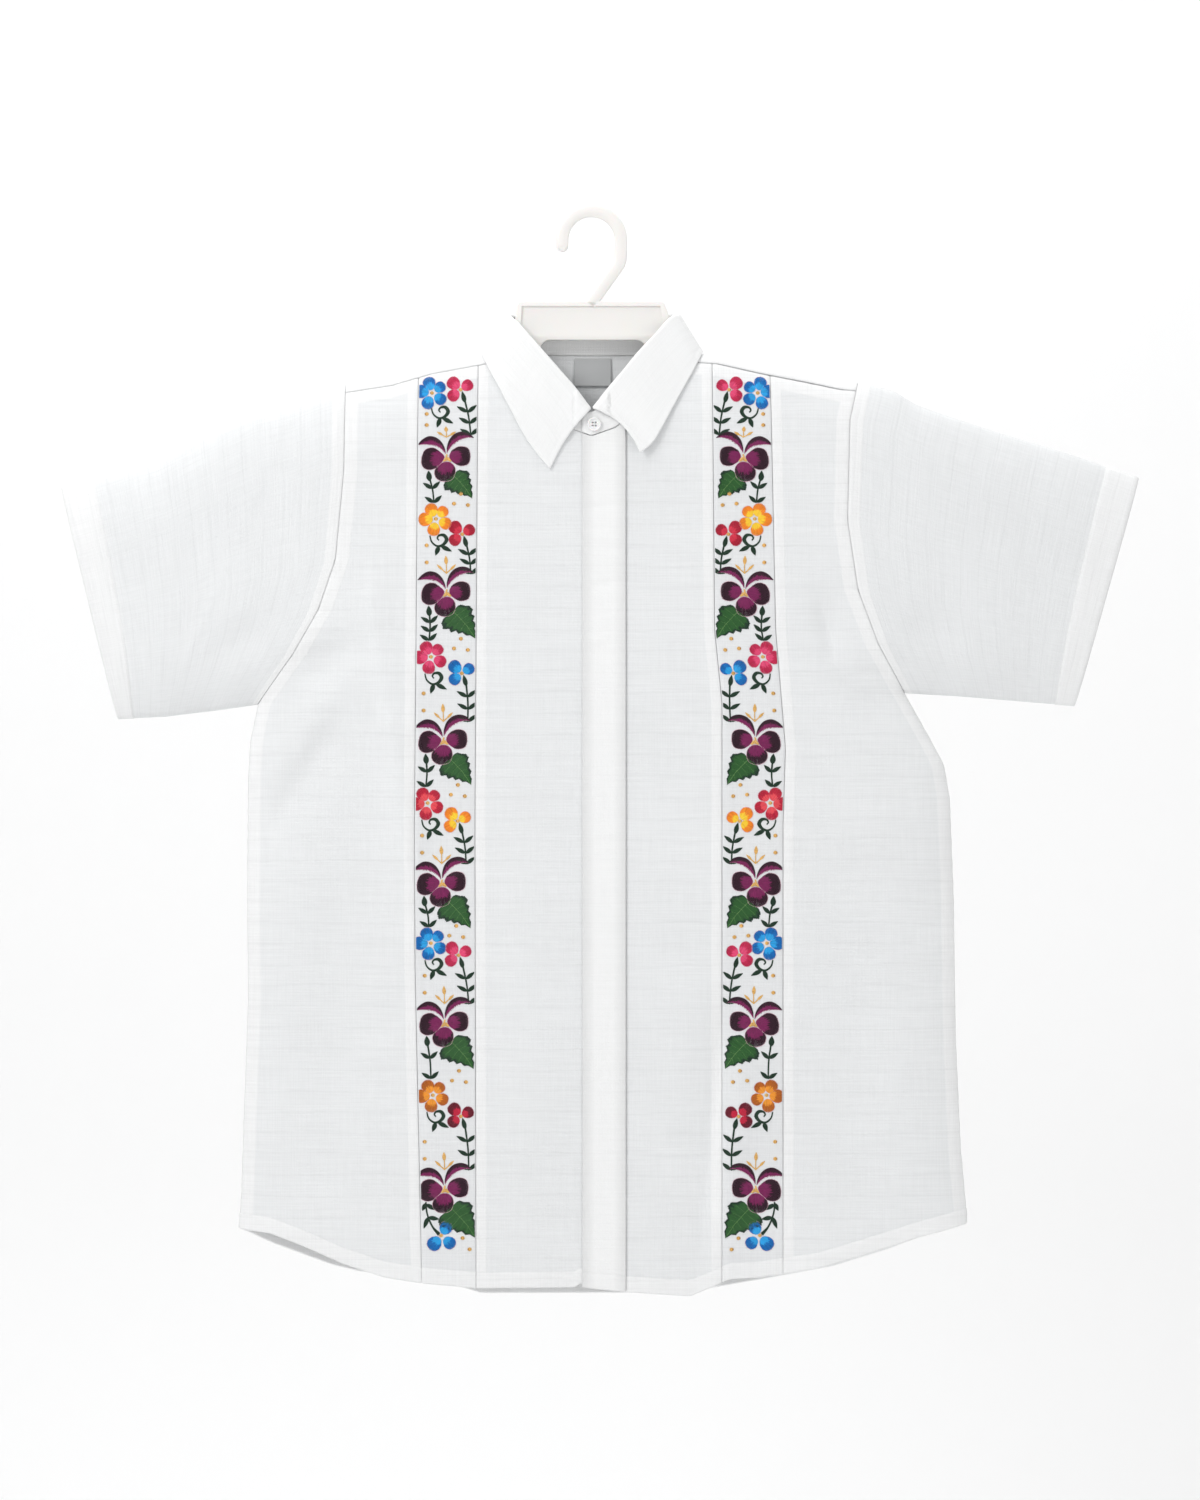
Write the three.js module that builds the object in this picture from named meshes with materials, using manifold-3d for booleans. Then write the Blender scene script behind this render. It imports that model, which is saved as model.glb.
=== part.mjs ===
// A short-sleeved guayabera shirt with two inset embroidered bands, hanging flat on a plastic hanger.
// Millimetres, +Z up. X runs to the wearer's left, the front faces -Y.
// The origin is the highest point inside the hanger's hook, where a rail carries it.

import * as THREE from 'three';
import { mergeVertices } from 'three/addons/utils/BufferGeometryUtils.js';
import Module from 'manifold-3d';

const wasm = await Module();
wasm.setup();

// Driving sizes of the cloth
const CLOTH_WALL = 1.2;
const TURNED_HEM_WALL = 2.0;
const SEAM_GAP = 0.3;
const BODY_HALF_DEPTH = 16;
const CUFF_HALF_DEPTH = 11;
const CUFF_X = 440;
const SLEEVE_START_X = 230;
const EDGE_ROUNDING = 60;
const HEM_BAND = 12.5;
const CUFF_BAND = 28;
const HEM_STEP = 1;
const SHOULDER_SEAM_DROP = 7;
const NECK_X = 76;
const NECK_SEAM_DROP = 1;
const WRAP_START_X = 80;

// Driving sizes of the front's closing edge
const PLACKET_LEFT_X = -7;
const PLACKET_RIGHT_X = 28;
const PLACKET_WALL = 1.6;
const PLACKET_LIFT = 1.75;
const UNDERLAP_X = 22;
const UNDERLAP_SHORTER = 3;
const UNDERLAP_HEM_START_X = -14;

// Driving sizes of the collar, with the room it keeps over what lies under it
const COLLAR_WALL = 1.4;
const STAND_OVERLAP_X = 10;
const LEAF_ROLL_OUT = 2.6;
const LEAF_OVER_STAND = 3.2;
const LEAF_OVER_PANEL = 1.85;
const LEAF_OVER_PLACKET = 3.8;
const LEAF_OVER_BUTTON = 6.2;
const LEAF_FREE_EDGE = 6;
const LEAF_FULL_ROOM = 14;

// Driving sizes of the hanger's hook
const HOOK_INNER_RADIUS = 19;
const HOOK_BAR = 10.2;
const HOOK_TIP_DROP = 4.5;
const HOOK_STRAIGHT_END_Z = -31;
const HOOK_BEND_Z = -37;
const HOOK_FOOT_TOP = { inset: 4, z: -42 };
const HOOK_FOOT_X = -1;
const HOOK_BEVEL = 1.2;

// Driving sizes of the hanger's plate and arms
const HANGER_THICKNESS = 6;
const PLATE_BEVEL = 0.7;
const PLATE_TOP_Z = -69.3;
const PLATE_CORNER = 4;
const PLATE_RIM = 4;
const PLATE_RECESS = 1.7;
const PLATE_RIGHT = { topX: 61.9, shoulderX: 62.8, slotX: 42.2, recessTopX: 57.4, recessLowX: 58.6 };
const PLATE_LEFT = { topX: 60.7, shoulderX: 64.9, slotX: 44.7, recessTopX: 56.4, recessLowX: 60.2 };
const PLATE_SHOULDER_Z = -84;
const ARM_ROOT = [{ x: 66, z: -104 }, { x: 70, z: -113.5 }];
const SLOT_TOP_Z = -101.3;
const SLOT_CORNER = 8;
const SLOT_END_Z = -114;
const SLOT_FLARE = { x: 2, z: -118 };
const ARM_LOW_ROOT = { x: 58, z: -124 };
const ARM_TOP_PLACES = [80, 103, 137, 173];
const ARM_LOW_PLACES = [137, 82];
const ARM_END_X = 190;
const ARM_END_CORNER = 4;
const ARM_DROP = 2.6;
const ARM_HEIGHT = 11;

// Driving sizes of the small pieces
const BUTTON_SEAT = { x: 2.3, z: -171.5 };
const BUTTON_REACH = 16;
const BUTTON_DIAMETER = 11.5;
const BUTTON_THICKNESS = 2.2;
const BUTTON_EDGE = 0.8;
const BUTTON_RIM = 1.7;
const BUTTON_DISH = 0.7;
const BUTTON_HOLE_DIAMETER = 1.5;
const BUTTON_HOLE_SPACING = 2.4;
const LABEL_WALL = 1;
const LABEL_CLEARANCE = 0.5;
const LABEL_PLACES = [-14.3, -4, 6, 16.2];
const LABEL_HEIGHTS = [-115.2, -119, -126, -132, -138];

// Steps of the surface's own arithmetic
const FOLD_SLOPE_STEP = 2;
const SEAM_SLOPE_STEP = 3;
const CORNER_SOFTNESS = 2;
const FOLD_END_SHARE = 0.35;
const FOLD_RISE_START = 0.15;
const SETTLE_START_Z = -300;
const SETTLE_ROUNDS = 8;

const COLOURS = { cotton: 0xe9edf0, collar: 0xf3f5f7, band: 0xe6e8ea, label: 0xc4c8cc, plastic: 0xf3efe8 };

// Outline of the laid-out shirt, seen from the front, as chains with the cloth on their left-hand side

const SHOULDER_LINE = [
  { x: 449.4, z: -214.9 }, { x: 392, z: -195 }, { x: 335.5, z: -178 }, { x: 290, z: -163 },
  { x: 267, z: -155 }, { x: 249, z: -144 }, { x: 226.7, z: -136.9 }, { x: 205, z: -135.4 },
  { x: 173.2, z: -128.9 }, { x: 137.4, z: -121.9 }, { x: 102.7, z: -114 }, { x: 88.7, z: -113.2 },
  { x: 75, z: -111.8 }, { x: 68.2, z: -82 }, { x: 40, z: -66 }, { x: 0, z: -60 }, { x: -40, z: -66 },
  { x: -65.3, z: -82 }, { x: -75, z: -111.8 }, { x: -87.7, z: -114.4 }, { x: -130.9, z: -122.3 },
  { x: -164.7, z: -132.1 }, { x: -202.1, z: -137.8 }, { x: -221, z: -143 }, { x: -247, z: -153 },
  { x: -277, z: -159.5 }, { x: -320.5, z: -180 }, { x: -358, z: -199 }, { x: -435.3, z: -222.4 },
];

const RIGHT_LOWER_LINE = [
  { x: -389.1, z: -412.1 }, { x: -350.6, z: -410.4 }, { x: -310, z: -405.5 }, { x: -274.3, z: -400.6 },
  { x: -280.8, z: -432 }, { x: -282.5, z: -463 }, { x: -283.3, z: -561 }, { x: -282.5, z: -643 },
  { x: -285.8, z: -733.5 }, { x: -288.2, z: -807 }, { x: -289.9, z: -831 },
];

const LEFT_LOWER_LINE = [
  { x: 308.7, z: -827 }, { x: 308.2, z: -814 }, { x: 303.8, z: -766 }, { x: 299.7, z: -676 },
  { x: 298, z: -561 }, { x: 294.8, z: -479 }, { x: 290, z: -450.6 }, { x: 278, z: -428 },
  { x: 257.4, z: -391.3 }, { x: 300, z: -393.5 }, { x: 343, z: -397 }, { x: 396.9, z: -401.4 },
];

const RIGHT_ARMPIT = { x: -274.3, z: -400.6 };
const LEFT_ARMPIT = { x: 257.4, z: -391.3 };
const ARMPIT_CORNER = 3;

// Seam lines, top to bottom

const RIGHT_ARMHOLE = [
  { z: -120, x: -202.1 }, { z: -137.8, x: -202.1 }, { z: -209, x: -203 }, { z: -282.5, x: -210 },
  { z: -323.5, x: -224 }, { z: -360, x: -245 }, { z: -400.6, x: -274.3 },
];

const LEFT_ARMHOLE = [
  { z: -120, x: 219 }, { z: -136.4, x: 219 }, { z: -168, x: 212 }, { z: -250, x: 210 },
  { z: -307, x: 218.5 }, { z: -352, x: 235.5 }, { z: -391.3, x: 257.4 },
];

const BAND_LINES = {
  rightOuter: [{ z: -125, x: -142 }, { z: -500, x: -145 }, { z: -620, x: -144.5 }, { z: -875, x: -139 }],
  rightInner: [{ z: -115, x: -93 }, { z: -500, x: -95.5 }, { z: -875, x: -94.7 }],
  leftInner: [{ z: -115, x: 99 }, { z: -340, x: 101 }, { z: -400, x: 107 }, { z: -875, x: 107 }],
  leftOuter: [{ z: -125, x: 146.5 }, { z: -340, x: 151 }, { z: -437, x: 159 }, { z: -500, x: 157 },
    { z: -875, x: 157 }],
};

const FRONT_NECKLINE = [
  { x: 0, z: -181 }, { x: 20, z: -174 }, { x: 36, z: -161 }, { x: 50, z: -146.5 }, { x: 60, z: -134.5 },
  { x: 69, z: -123.5 }, { x: 74, z: -116.5 }, { x: 76, z: -113.3 },
];

const BACK_NECKLINE = [
  { x: 0, z: -113.2 }, { x: 60, z: -113 }, { x: 72, z: -112.8 }, { x: 74, z: -112.6 },
];

const FRONT_HEM = [
  { x: -290, z: -831 }, { x: -264, z: -834 }, { x: -237, z: -844 }, { x: -203, z: -859 },
  { x: -169, z: -870 }, { x: -137, z: -875 }, { x: -91, z: -879 }, { x: -8, z: -878 }, { x: 31, z: -882 },
  { x: 81, z: -885.5 }, { x: 101, z: -877 }, { x: 113, z: -871 }, { x: 138, z: -870 },
  { x: 186, z: -862.6 }, { x: 222, z: -852 }, { x: 264.5, z: -838.5 }, { x: 308.7, z: -827 },
];

const BACK_HEM = [
  { x: -290, z: -831 }, { x: -264, z: -844 }, { x: -216, z: -862 }, { x: -192, z: -868 },
  { x: -155, z: -873 }, { x: -114, z: -879 }, { x: -91, z: -886 }, { x: 60, z: -885.6 },
  { x: 89, z: -883.6 }, { x: 138, z: -875 }, { x: 198, z: -864 }, { x: 246, z: -849 },
  { x: 274, z: -838.5 }, { x: 308.7, z: -827 },
];

// Broad folds of the hanging cloth: a soft ridge (positive height) or trough (negative) along each line

const FOLDS = [
  { face: -1, x0: -272, z0: -500, x1: -205, z1: -405, width: 22, height: -5 },
  { face: -1, x0: -262, z0: -470, x1: -200, z1: -375, width: 16, height: 3.5 },
  { face: -1, x0: -235, z0: -375, x1: -185, z1: -355, width: 18, height: -4.5 },
  { face: -1, x0: -177, z0: -305, x1: -160, z1: -420, width: 13, height: 3 },
  { face: -1, x0: -160, z0: -420, x1: -147, z1: -600, width: 14, height: 4 },
  { face: -1, x0: 190, z0: -320, x1: 203, z1: -380, width: 14, height: -4 },
  { face: -1, x0: 216, z0: -390, x1: 262, z1: -430, width: 18, height: -4.5 },
  { face: -1, x0: 107, z0: -655, x1: 84, z1: -885, width: 17, height: -4.5 },
  { face: -1, x0: 121, z0: -700, x1: 106, z1: -885, width: 15, height: 4 },
  { face: -1, x0: -50, z0: -560, x1: -55, z1: -885, width: 30, height: 2.5 },
  { face: -1, x0: 215, z0: -560, x1: 225, z1: -860, width: 34, height: -3 },
  { face: -1, x0: -215, z0: -600, x1: -225, z1: -860, width: 34, height: -3 },
  { face: 1, x0: -268, z0: -495, x1: -190, z1: -400, width: 22, height: -4 },
  { face: 1, x0: 262, z0: -480, x1: 190, z1: -395, width: 22, height: -4 },
  { face: 1, x0: -105, z0: -240, x1: -120, z1: -880, width: 30, height: 3.5 },
  { face: 1, x0: 90, z0: -230, x1: 110, z1: -880, width: 32, height: 3.5 },
  { face: 1, x0: -10, z0: -420, x1: 5, z1: -885, width: 34, height: -3.5 },
  { face: -1, x0: -300, z0: -360, x1: -262, z1: -330, width: 16, height: -3.5 },
  { face: -1, x0: 290, z0: -352, x1: 250, z1: -322, width: 16, height: -3.5 },
  { face: 1, x0: -302, z0: -360, x1: -262, z1: -325, width: 17, height: -3.5 },
  { face: 1, x0: 292, z0: -352, x1: 250, z1: -318, width: 17, height: -3.5 },
];

// Small helpers

const lerp = THREE.MathUtils.lerp;

/** Value of column `to` at `value` of column `from`, straight between the rows and flat past the ends. */
function along(rows, from, to, value) {
  const sign = rows[rows.length - 1][from] > rows[0][from] ? 1 : -1;
  if (sign * value <= sign * rows[0][from]) return rows[0][to];
  for (let i = 1; i < rows.length; i += 1) {
    const before = rows[i - 1];
    const after = rows[i];
    if (sign * value <= sign * after[from]) {
      return lerp(before[to], after[to], (value - before[from]) / (after[from] - before[from]));
    }
  }
  return rows[rows.length - 1][to];
}

/** Point on a smooth curve through the rows' 3-D points, at parameter 0 to 1. */
function smoothCurve(points) {
  return new THREE.CatmullRomCurve3(points, false, 'centripetal');
}

const leftNormal = (a, b) => new THREE.Vector2(a.z - b.z, b.x - a.x).normalize();

/** A chain with the averaged inward direction at each of its points. */
function makeChain(rows) {
  const normals = rows.map((row, i) => {
    const sum = new THREE.Vector2();
    if (i > 0) sum.add(leftNormal(rows[i - 1], row));
    if (i < rows.length - 1) sum.add(leftNormal(row, rows[i + 1]));
    return sum.normalize();
  });
  return { rows, normals };
}

const OUTLINE = [SHOULDER_LINE, RIGHT_LOWER_LINE, LEFT_LOWER_LINE].map(makeChain);

/** Distance from the nearest edge of the laid-out shirt, and the direction away from that edge. */
function nearestEdge(x, z) {
  let best = { distance: Infinity };
  for (const { rows, normals } of OUTLINE) {
    for (let i = 1; i < rows.length; i += 1) {
      const a = rows[i - 1];
      const dx = rows[i].x - a.x;
      const dz = rows[i].z - a.z;
      const t = THREE.MathUtils.clamp(((x - a.x) * dx + (z - a.z) * dz) / (dx * dx + dz * dz), 0, 1);
      const away = new THREE.Vector2(x - a.x - t * dx, z - a.z - t * dz);
      const distance = away.length();
      if (distance < best.distance) {
        best = { distance, away, edgeNormal: normals[i - 1].clone().lerp(normals[i], t).normalize() };
      }
    }
  }
  const outside = best.away.dot(best.edgeNormal) < 0 && best.distance < EDGE_ROUNDING;
  const inward = best.away.clone().addScaledVector(best.edgeNormal, CORNER_SOFTNESS).normalize();
  return { distance: outside ? 0 : best.distance, inward: outside ? best.edgeNormal : inward };
}

/** Height of the broad folds above the plain cloth, outward. */
function foldHeight(x, z, face) {
  let height = 0;
  for (const fold of FOLDS) {
    if (fold.face !== face) continue;
    const dx = fold.x1 - fold.x0;
    const dz = fold.z1 - fold.z0;
    const t = THREE.MathUtils.clamp(((x - fold.x0) * dx + (z - fold.z0) * dz) / (dx * dx + dz * dz), 0, 1);
    const off = Math.hypot(x - fold.x0 - t * dx, z - fold.z0 - t * dz) / fold.width;
    const swell = Math.sin(Math.PI * Math.min(1, FOLD_RISE_START + t));
    height += fold.height * lerp(FOLD_END_SHARE, 1, swell) * Math.exp(-off * off);
  }
  return height;
}

/** Half of the shirt's thickness where it hangs fullest: less towards the cuffs. */
function fullDepth(x) {
  const out = THREE.MathUtils.clamp((Math.abs(x) - SLEEVE_START_X) / (CUFF_X - SLEEVE_START_X), 0, 1);
  return lerp(BODY_HALF_DEPTH, CUFF_HALF_DEPTH, out);
}

/** A point of the cloth's middle surface, moved out by `lift`, with its outward normal. */
function clothPoint(x, z, face, lift = 0, leastDepth = SEAM_GAP / 2) {
  const edge = nearestEdge(x, z);
  const inside = Math.min(edge.distance / EDGE_ROUNDING, 1);
  const rise = Math.sqrt(Math.max(0, 1 - (1 - inside) ** 2));
  const slope = (fullDepth(x) / EDGE_ROUNDING) * (1 - inside) / Math.max(rise, 1e-5);
  const step = FOLD_SLOPE_STEP;
  const foldX = (foldHeight(x + step, z, face) - foldHeight(x - step, z, face)) / (2 * step);
  const foldZ = (foldHeight(x, z + step, face) - foldHeight(x, z - step, face)) / (2 * step);
  const depth = Math.max(fullDepth(x) * rise + foldHeight(x, z, face) * rise ** 2, leastDepth);
  const normal = new THREE.Vector3(
    -edge.inward.x * slope - foldX * rise ** 2,
    face,
    -edge.inward.y * slope - foldZ * rise ** 2,
  ).normalize();
  const point = new THREE.Vector3(x, face * depth, z).addScaledVector(normal, lift);
  return { point, normal };
}

/** Closed wall round a grid of { point, normal, wall }, open as a sheet or joined into a ring of columns. */
function wallGeometry(grid, ring = false) {
  const rows = grid.length;
  const columns = grid[0].length;
  const positions = [];
  for (const side of [0.5, -0.5]) {
    for (const row of grid) {
      for (const { point, normal, wall } of row) {
        const corner = point.clone().addScaledVector(normal, side * wall);
        positions.push(corner.x, corner.y, corner.z);
      }
    }
  }
  const outer = (r, c) => r * columns + (c % columns);
  const inner = (r, c) => rows * columns + outer(r, c);
  const faces = [];
  const quad = (a, b, c, d) => faces.push(a, b, c, a, c, d);
  const spans = ring ? columns : columns - 1;
  for (let r = 0; r < rows - 1; r += 1) {
    for (let c = 0; c < spans; c += 1) {
      quad(outer(r, c), outer(r + 1, c), outer(r + 1, c + 1), outer(r, c + 1));
      quad(inner(r, c), inner(r, c + 1), inner(r + 1, c + 1), inner(r + 1, c));
    }
  }
  for (let c = 0; c < spans; c += 1) {
    quad(outer(0, c), outer(0, c + 1), inner(0, c + 1), inner(0, c));
    quad(outer(rows - 1, c), inner(rows - 1, c), inner(rows - 1, c + 1), outer(rows - 1, c + 1));
  }
  if (!ring) {
    for (let r = 0; r < rows - 1; r += 1) {
      quad(outer(r, 0), inner(r, 0), inner(r + 1, 0), outer(r + 1, 0));
      quad(outer(r, columns - 1), outer(r + 1, columns - 1), inner(r + 1, columns - 1), inner(r, columns - 1));
    }
  }
  return facedOut(positions, faces);
}

/** Geometry from positions and triangles, turned round where its volume comes out negative. */
function facedOut(positions, faces) {
  const at = (i) => new THREE.Vector3(positions[3 * i], positions[3 * i + 1], positions[3 * i + 2]);
  let volume = 0;
  for (let i = 0; i < faces.length; i += 3) {
    volume += at(faces[i]).dot(at(faces[i + 1]).cross(at(faces[i + 2])));
  }
  if (volume < 0) {
    for (let i = 0; i < faces.length; i += 3) {
      const swap = faces[i + 1];
      faces[i + 1] = faces[i + 2];
      faces[i + 2] = swap;
    }
  }
  const geometry = new THREE.BufferGeometry();
  geometry.setAttribute('position', new THREE.Float32BufferAttribute(positions, 3));
  geometry.setIndex(faces);
  return geometry;
}

// Body panels: rows follow the top edge, then the armpits' level, then the hem

const UPPER_SHARES = [0.25, 0.5, 0.72, 0.87, 0.95, 0.985, 1];
const LOWER_SHARES = [0.1, 0.22, 0.38, 0.58, 0.8, 1];
const FRONT_DROPS = [0, 4, 11, 24, 44];
const BACK_DROPS = [1.2, 4, 10, 22, 42];
const WRAP_SHARES = [1, 0.5, 0.17, 0];
const NECK_ROW_DROP = 0.9;
const RIDGE_ROW = WRAP_SHARES.length - 1;
const FRONT_ARMPIT_ROW = FRONT_DROPS.length + UPPER_SHARES.length - 1;
const BACK_ARMPIT_ROW = WRAP_SHARES.length + BACK_DROPS.length + UPPER_SHARES.length - 1;

const armpitLevel = (x) => lerp(RIGHT_ARMPIT.z, LEFT_ARMPIT.z,
  (x - RIGHT_ARMPIT.x) / (LEFT_ARMPIT.x - RIGHT_ARMPIT.x));

/** Heights of all rows at one place across, from the rows near the top down to the hem. */
function rowHeights(x, topRows, bottomZ) {
  const heights = [...topRows];
  const start = topRows[topRows.length - 1];
  const level = armpitLevel(x);
  const hemTop = bottomZ + HEM_BAND;
  for (const share of UPPER_SHARES) heights.push(lerp(start, level, share));
  for (const share of LOWER_SHARES) heights.push(lerp(level, hemTop, share));
  heights.push(hemTop - HEM_STEP, bottomZ);
  return heights;
}

/** The x of a seam line at height z, moved sideways so that two panels keep the seam's gap. */
function seamX(rows, z, shift) {
  const step = SEAM_SLOPE_STEP;
  const slope = (along(rows, 'z', 'x', z + step) - along(rows, 'z', 'x', z - step)) / (2 * step);
  return along(rows, 'z', 'x', z) + shift * Math.hypot(1, slope);
}

/** The side of the body: the armhole above the armpit, the side seam below it. */
function bodySide(armhole, below, armpit, shift) {
  return (z) => {
    if (z > armpit.z + ARMPIT_CORNER) return seamX(armhole, z, shift);
    if (z > armpit.z) {
      const share = (z - armpit.z) / ARMPIT_CORNER;
      return lerp(armpit.x + shift, seamX(armhole, armpit.z + ARMPIT_CORNER, shift), share);
    }
    return along(below, 'z', 'x', z) + shift * Math.exp((z - armpit.z) / ARMPIT_CORNER);
  };
}

const RIGHT_SIDE_SEAM = RIGHT_LOWER_LINE.slice(3);
const LEFT_SIDE_SEAM = LEFT_LOWER_LINE.slice(0, 9).reverse();
const rightBodySide = bodySide(RIGHT_ARMHOLE, RIGHT_SIDE_SEAM, RIGHT_ARMPIT, SEAM_GAP / 2);
const leftBodySide = bodySide(LEFT_ARMHOLE, LEFT_SIDE_SEAM, LEFT_ARMPIT, -SEAM_GAP / 2);

const ridgeRows = [...SHOULDER_LINE].reverse();
const ridgeZ = (x) => along(ridgeRows, 'x', 'z', x);
const seamDrop = (x) => THREE.MathUtils.clamp(
  THREE.MathUtils.mapLinear(Math.abs(x), NECK_X, WRAP_START_X, NECK_SEAM_DROP, SHOULDER_SEAM_DROP),
  NECK_SEAM_DROP,
  SHOULDER_SEAM_DROP,
);

/** Top edge of the front: the shoulder seam, or the neckline between the neck points. */
function frontTop(x) {
  if (Math.abs(x) >= NECK_X) return ridgeZ(x) - seamDrop(x) - SEAM_GAP;
  return along(FRONT_NECKLINE, 'x', 'z', Math.abs(x));
}

/** Grid of a front panel between two side lines, each a function of height. */
function frontGrid(panel) {
  const { left, right, columns, lift = 0, wall = CLOTH_WALL, hemWall = TURNED_HEM_WALL } = panel;
  const { top = frontTop, bottom = (x) => along(FRONT_HEM, 'x', 'z', x), hemUntil = Infinity } = panel;
  const heights = (x) => rowHeights(x, FRONT_DROPS.map((drop) => top(x) - drop), bottom(x));
  const count = heights(0).length;
  return Array.from({ length: count }, (_, row) => {
    const leftX = settle(left, (x) => heights(x)[row]);
    const rightX = settle(right, (x) => heights(x)[row]);
    return columns.map((share) => {
      const x = lerp(leftX, rightX, share);
      const { point, normal } = clothPoint(x, heights(x)[row], -1, lift);
      const turned = row >= count - 2 && x < hemUntil;
      return { point, normal, wall: turned ? hemWall : wall };
    });
  });
}

/** The x where a side line meets a row whose height changes across. */
function settle(side, height) {
  let x = side(SETTLE_START_Z);
  for (let i = 0; i < SETTLE_ROUNDS; i += 1) x = side(height(x));
  return x;
}

/** Rows of the back at one column: `place` is its x at the shoulder or neck, `x` its x at the row asked for. */
function backHeights(place, x) {
  const shoulder = Math.abs(place) >= NECK_X;
  const neck = along(BACK_NECKLINE, 'x', 'z', Math.abs(place));
  const wrap = WRAP_SHARES.map((share) => (shoulder
    ? ridgeZ(place) - share * seamDrop(place)
    : neck - (1 - share) * NECK_ROW_DROP));
  const from = wrap[RIDGE_ROW];
  return [...wrap, ...rowHeights(x, BACK_DROPS.map((drop) => from - drop), along(BACK_HEM, 'x', 'z', x))];
}

/** Grid of the back: from the front shoulder seam over the ridge, or from the neck, down to its hem. */
function backGrid(places) {
  const edges = [places[0], places[places.length - 1]];
  const count = backHeights(0, 0).length;
  return Array.from({ length: count }, (_, row) => {
    const leftX = settle(rightBodySide, (x) => backHeights(edges[0], x)[row]);
    const rightX = settle(leftBodySide, (x) => backHeights(edges[1], x)[row]);
    return places.map((place) => {
      const x = place < 0 ? leftX * place / edges[0] : rightX * place / edges[1];
      const shoulder = Math.abs(place) >= NECK_X;
      const face = shoulder && row < RIDGE_ROW ? -1 : 1;
      const least = shoulder && row === RIDGE_ROW ? 0 : SEAM_GAP / 2;
      const { point, normal } = clothPoint(x, backHeights(place, x)[row], face, 0, least);
      if (least === 0) {
        point.setY(0);
        normal.setY(0).normalize();
      }
      return { point, normal, wall: row >= count - 2 ? TURNED_HEM_WALL : CLOTH_WALL };
    });
  });
}

// Sleeves: one ring of cloth each, from the armhole to the turned cuff

const SLEEVE_STEPS = [0.14, 0.34, 0.54, 0.74];
const SLEEVE_EDGE = 55;

/** A path along a chain of rows, by share of its length. */
function chainPath(rows) {
  const path = new THREE.CurvePath();
  for (let i = 1; i < rows.length; i += 1) {
    path.add(new THREE.LineCurve(new THREE.Vector2(rows[i - 1].x, rows[i - 1].z),
      new THREE.Vector2(rows[i].x, rows[i].z)));
  }
  return path;
}

/** Moves each point of an edge across the seam's gap, within the cloth's surface. */
function acrossSeam(edge, towards, closed) {
  const last = edge.length - 1;
  return edge.map(({ point, normal }, i) => {
    const before = edge[i > 0 ? i - 1 : (closed ? last : 0)].point;
    const after = edge[i < last ? i + 1 : (closed ? 0 : last)].point;
    const across = after.clone().sub(before).cross(normal).normalize();
    if (across.dot(towards(point)) < 0) across.negate();
    return { point: point.clone().addScaledVector(across, SEAM_GAP), normal: normal.clone() };
  });
}

/** The armhole as one ring: from the ridge down the front, and up the back. */
function armholeRing(front, back, column) {
  const edge = (grid, row) => (column === 'first' ? grid[row][0] : grid[row][grid[row].length - 1]);
  const ring = [];
  for (let row = RIDGE_ROW; row >= 1; row -= 1) ring.push({ ...edge(back, row), face: -1 });
  for (let row = 0; row < FRONT_ARMPIT_ROW; row += 1) ring.push({ ...edge(front, row), face: -1 });
  const low = edge(front, FRONT_ARMPIT_ROW);
  ring.push({ point: low.point.clone().setY(0), normal: low.normal.clone().setY(0).normalize(), face: 0 });
  for (let row = BACK_ARMPIT_ROW - 1; row > RIDGE_ROW; row -= 1) ring.push({ ...edge(back, row), face: 1 });
  ring[0].face = 0;
  return ring;
}

/** Sleeve grid: rings from the armhole to the cuff, each following the sleeve's own outline. */
function sleeveGrid({ top, bottom, cuff, ring, outward }) {
  const paths = { top: chainPath(top), bottom: chainPath(bottom), cuff: chainPath(cuff) };
  const start = acrossSeam(ring, () => outward, true);
  const topZ = ring[0].point.z;
  const drop = topZ - Math.min(...ring.map(({ point }) => point.z));
  const cuffWidth = paths.cuff.getLength();
  const length = paths.top.getLength();
  const flat = (point) => new THREE.Vector2(point.x, point.z);
  const low = start[ring.findIndex(({ face }, i) => i > 0 && face === 0)];
  const steps = [...SLEEVE_STEPS, 1 - (CUFF_BAND + HEM_STEP) / length, 1 - CUFF_BAND / length, 1];
  const rings = steps.map((u, row) => ring.map(({ point, face }, i) => {
    const fallen = topZ - point.z;
    const startShare = fallen / drop;
    const cuffShare = fallen < SLEEVE_EDGE ? fallen / cuffWidth
      : (SLEEVE_EDGE + (cuffWidth - SLEEVE_EDGE) * (fallen - SLEEVE_EDGE) / (drop - SLEEVE_EDGE)) / cuffWidth;
    const v = lerp(startShare, cuffShare, u);
    const across = flat(start[i].point).multiplyScalar(1 - u)
      .add(paths.cuff.getPoint(Math.min(1, cuffShare)).multiplyScalar(u));
    const lengthwise = paths.top.getPoint(u).multiplyScalar(1 - v)
      .add(paths.bottom.getPoint(u).multiplyScalar(v));
    const corners = flat(start[0].point).multiplyScalar((1 - u) * (1 - v))
      .add(paths.cuff.getPoint(0).multiplyScalar(u * (1 - v)))
      .add(flat(low.point).multiplyScalar((1 - u) * v))
      .add(paths.cuff.getPoint(1).multiplyScalar(u * v));
    const place = across.add(lengthwise).sub(corners);
    const cloth = clothPoint(place.x, place.y, face || -1, 0, face === 0 ? 0 : SEAM_GAP / 2);
    if (face === 0) {
      cloth.point.setY(0);
      cloth.normal.setY(0).normalize();
    }
    return { ...cloth, wall: row >= steps.length - 2 ? TURNED_HEM_WALL : CLOTH_WALL };
  }));
  return [start.map((place) => ({ ...place, wall: CLOTH_WALL })), ...rings];
}

// Collar: every station gives the fold line and the free edge, from the front opening to the back

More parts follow.
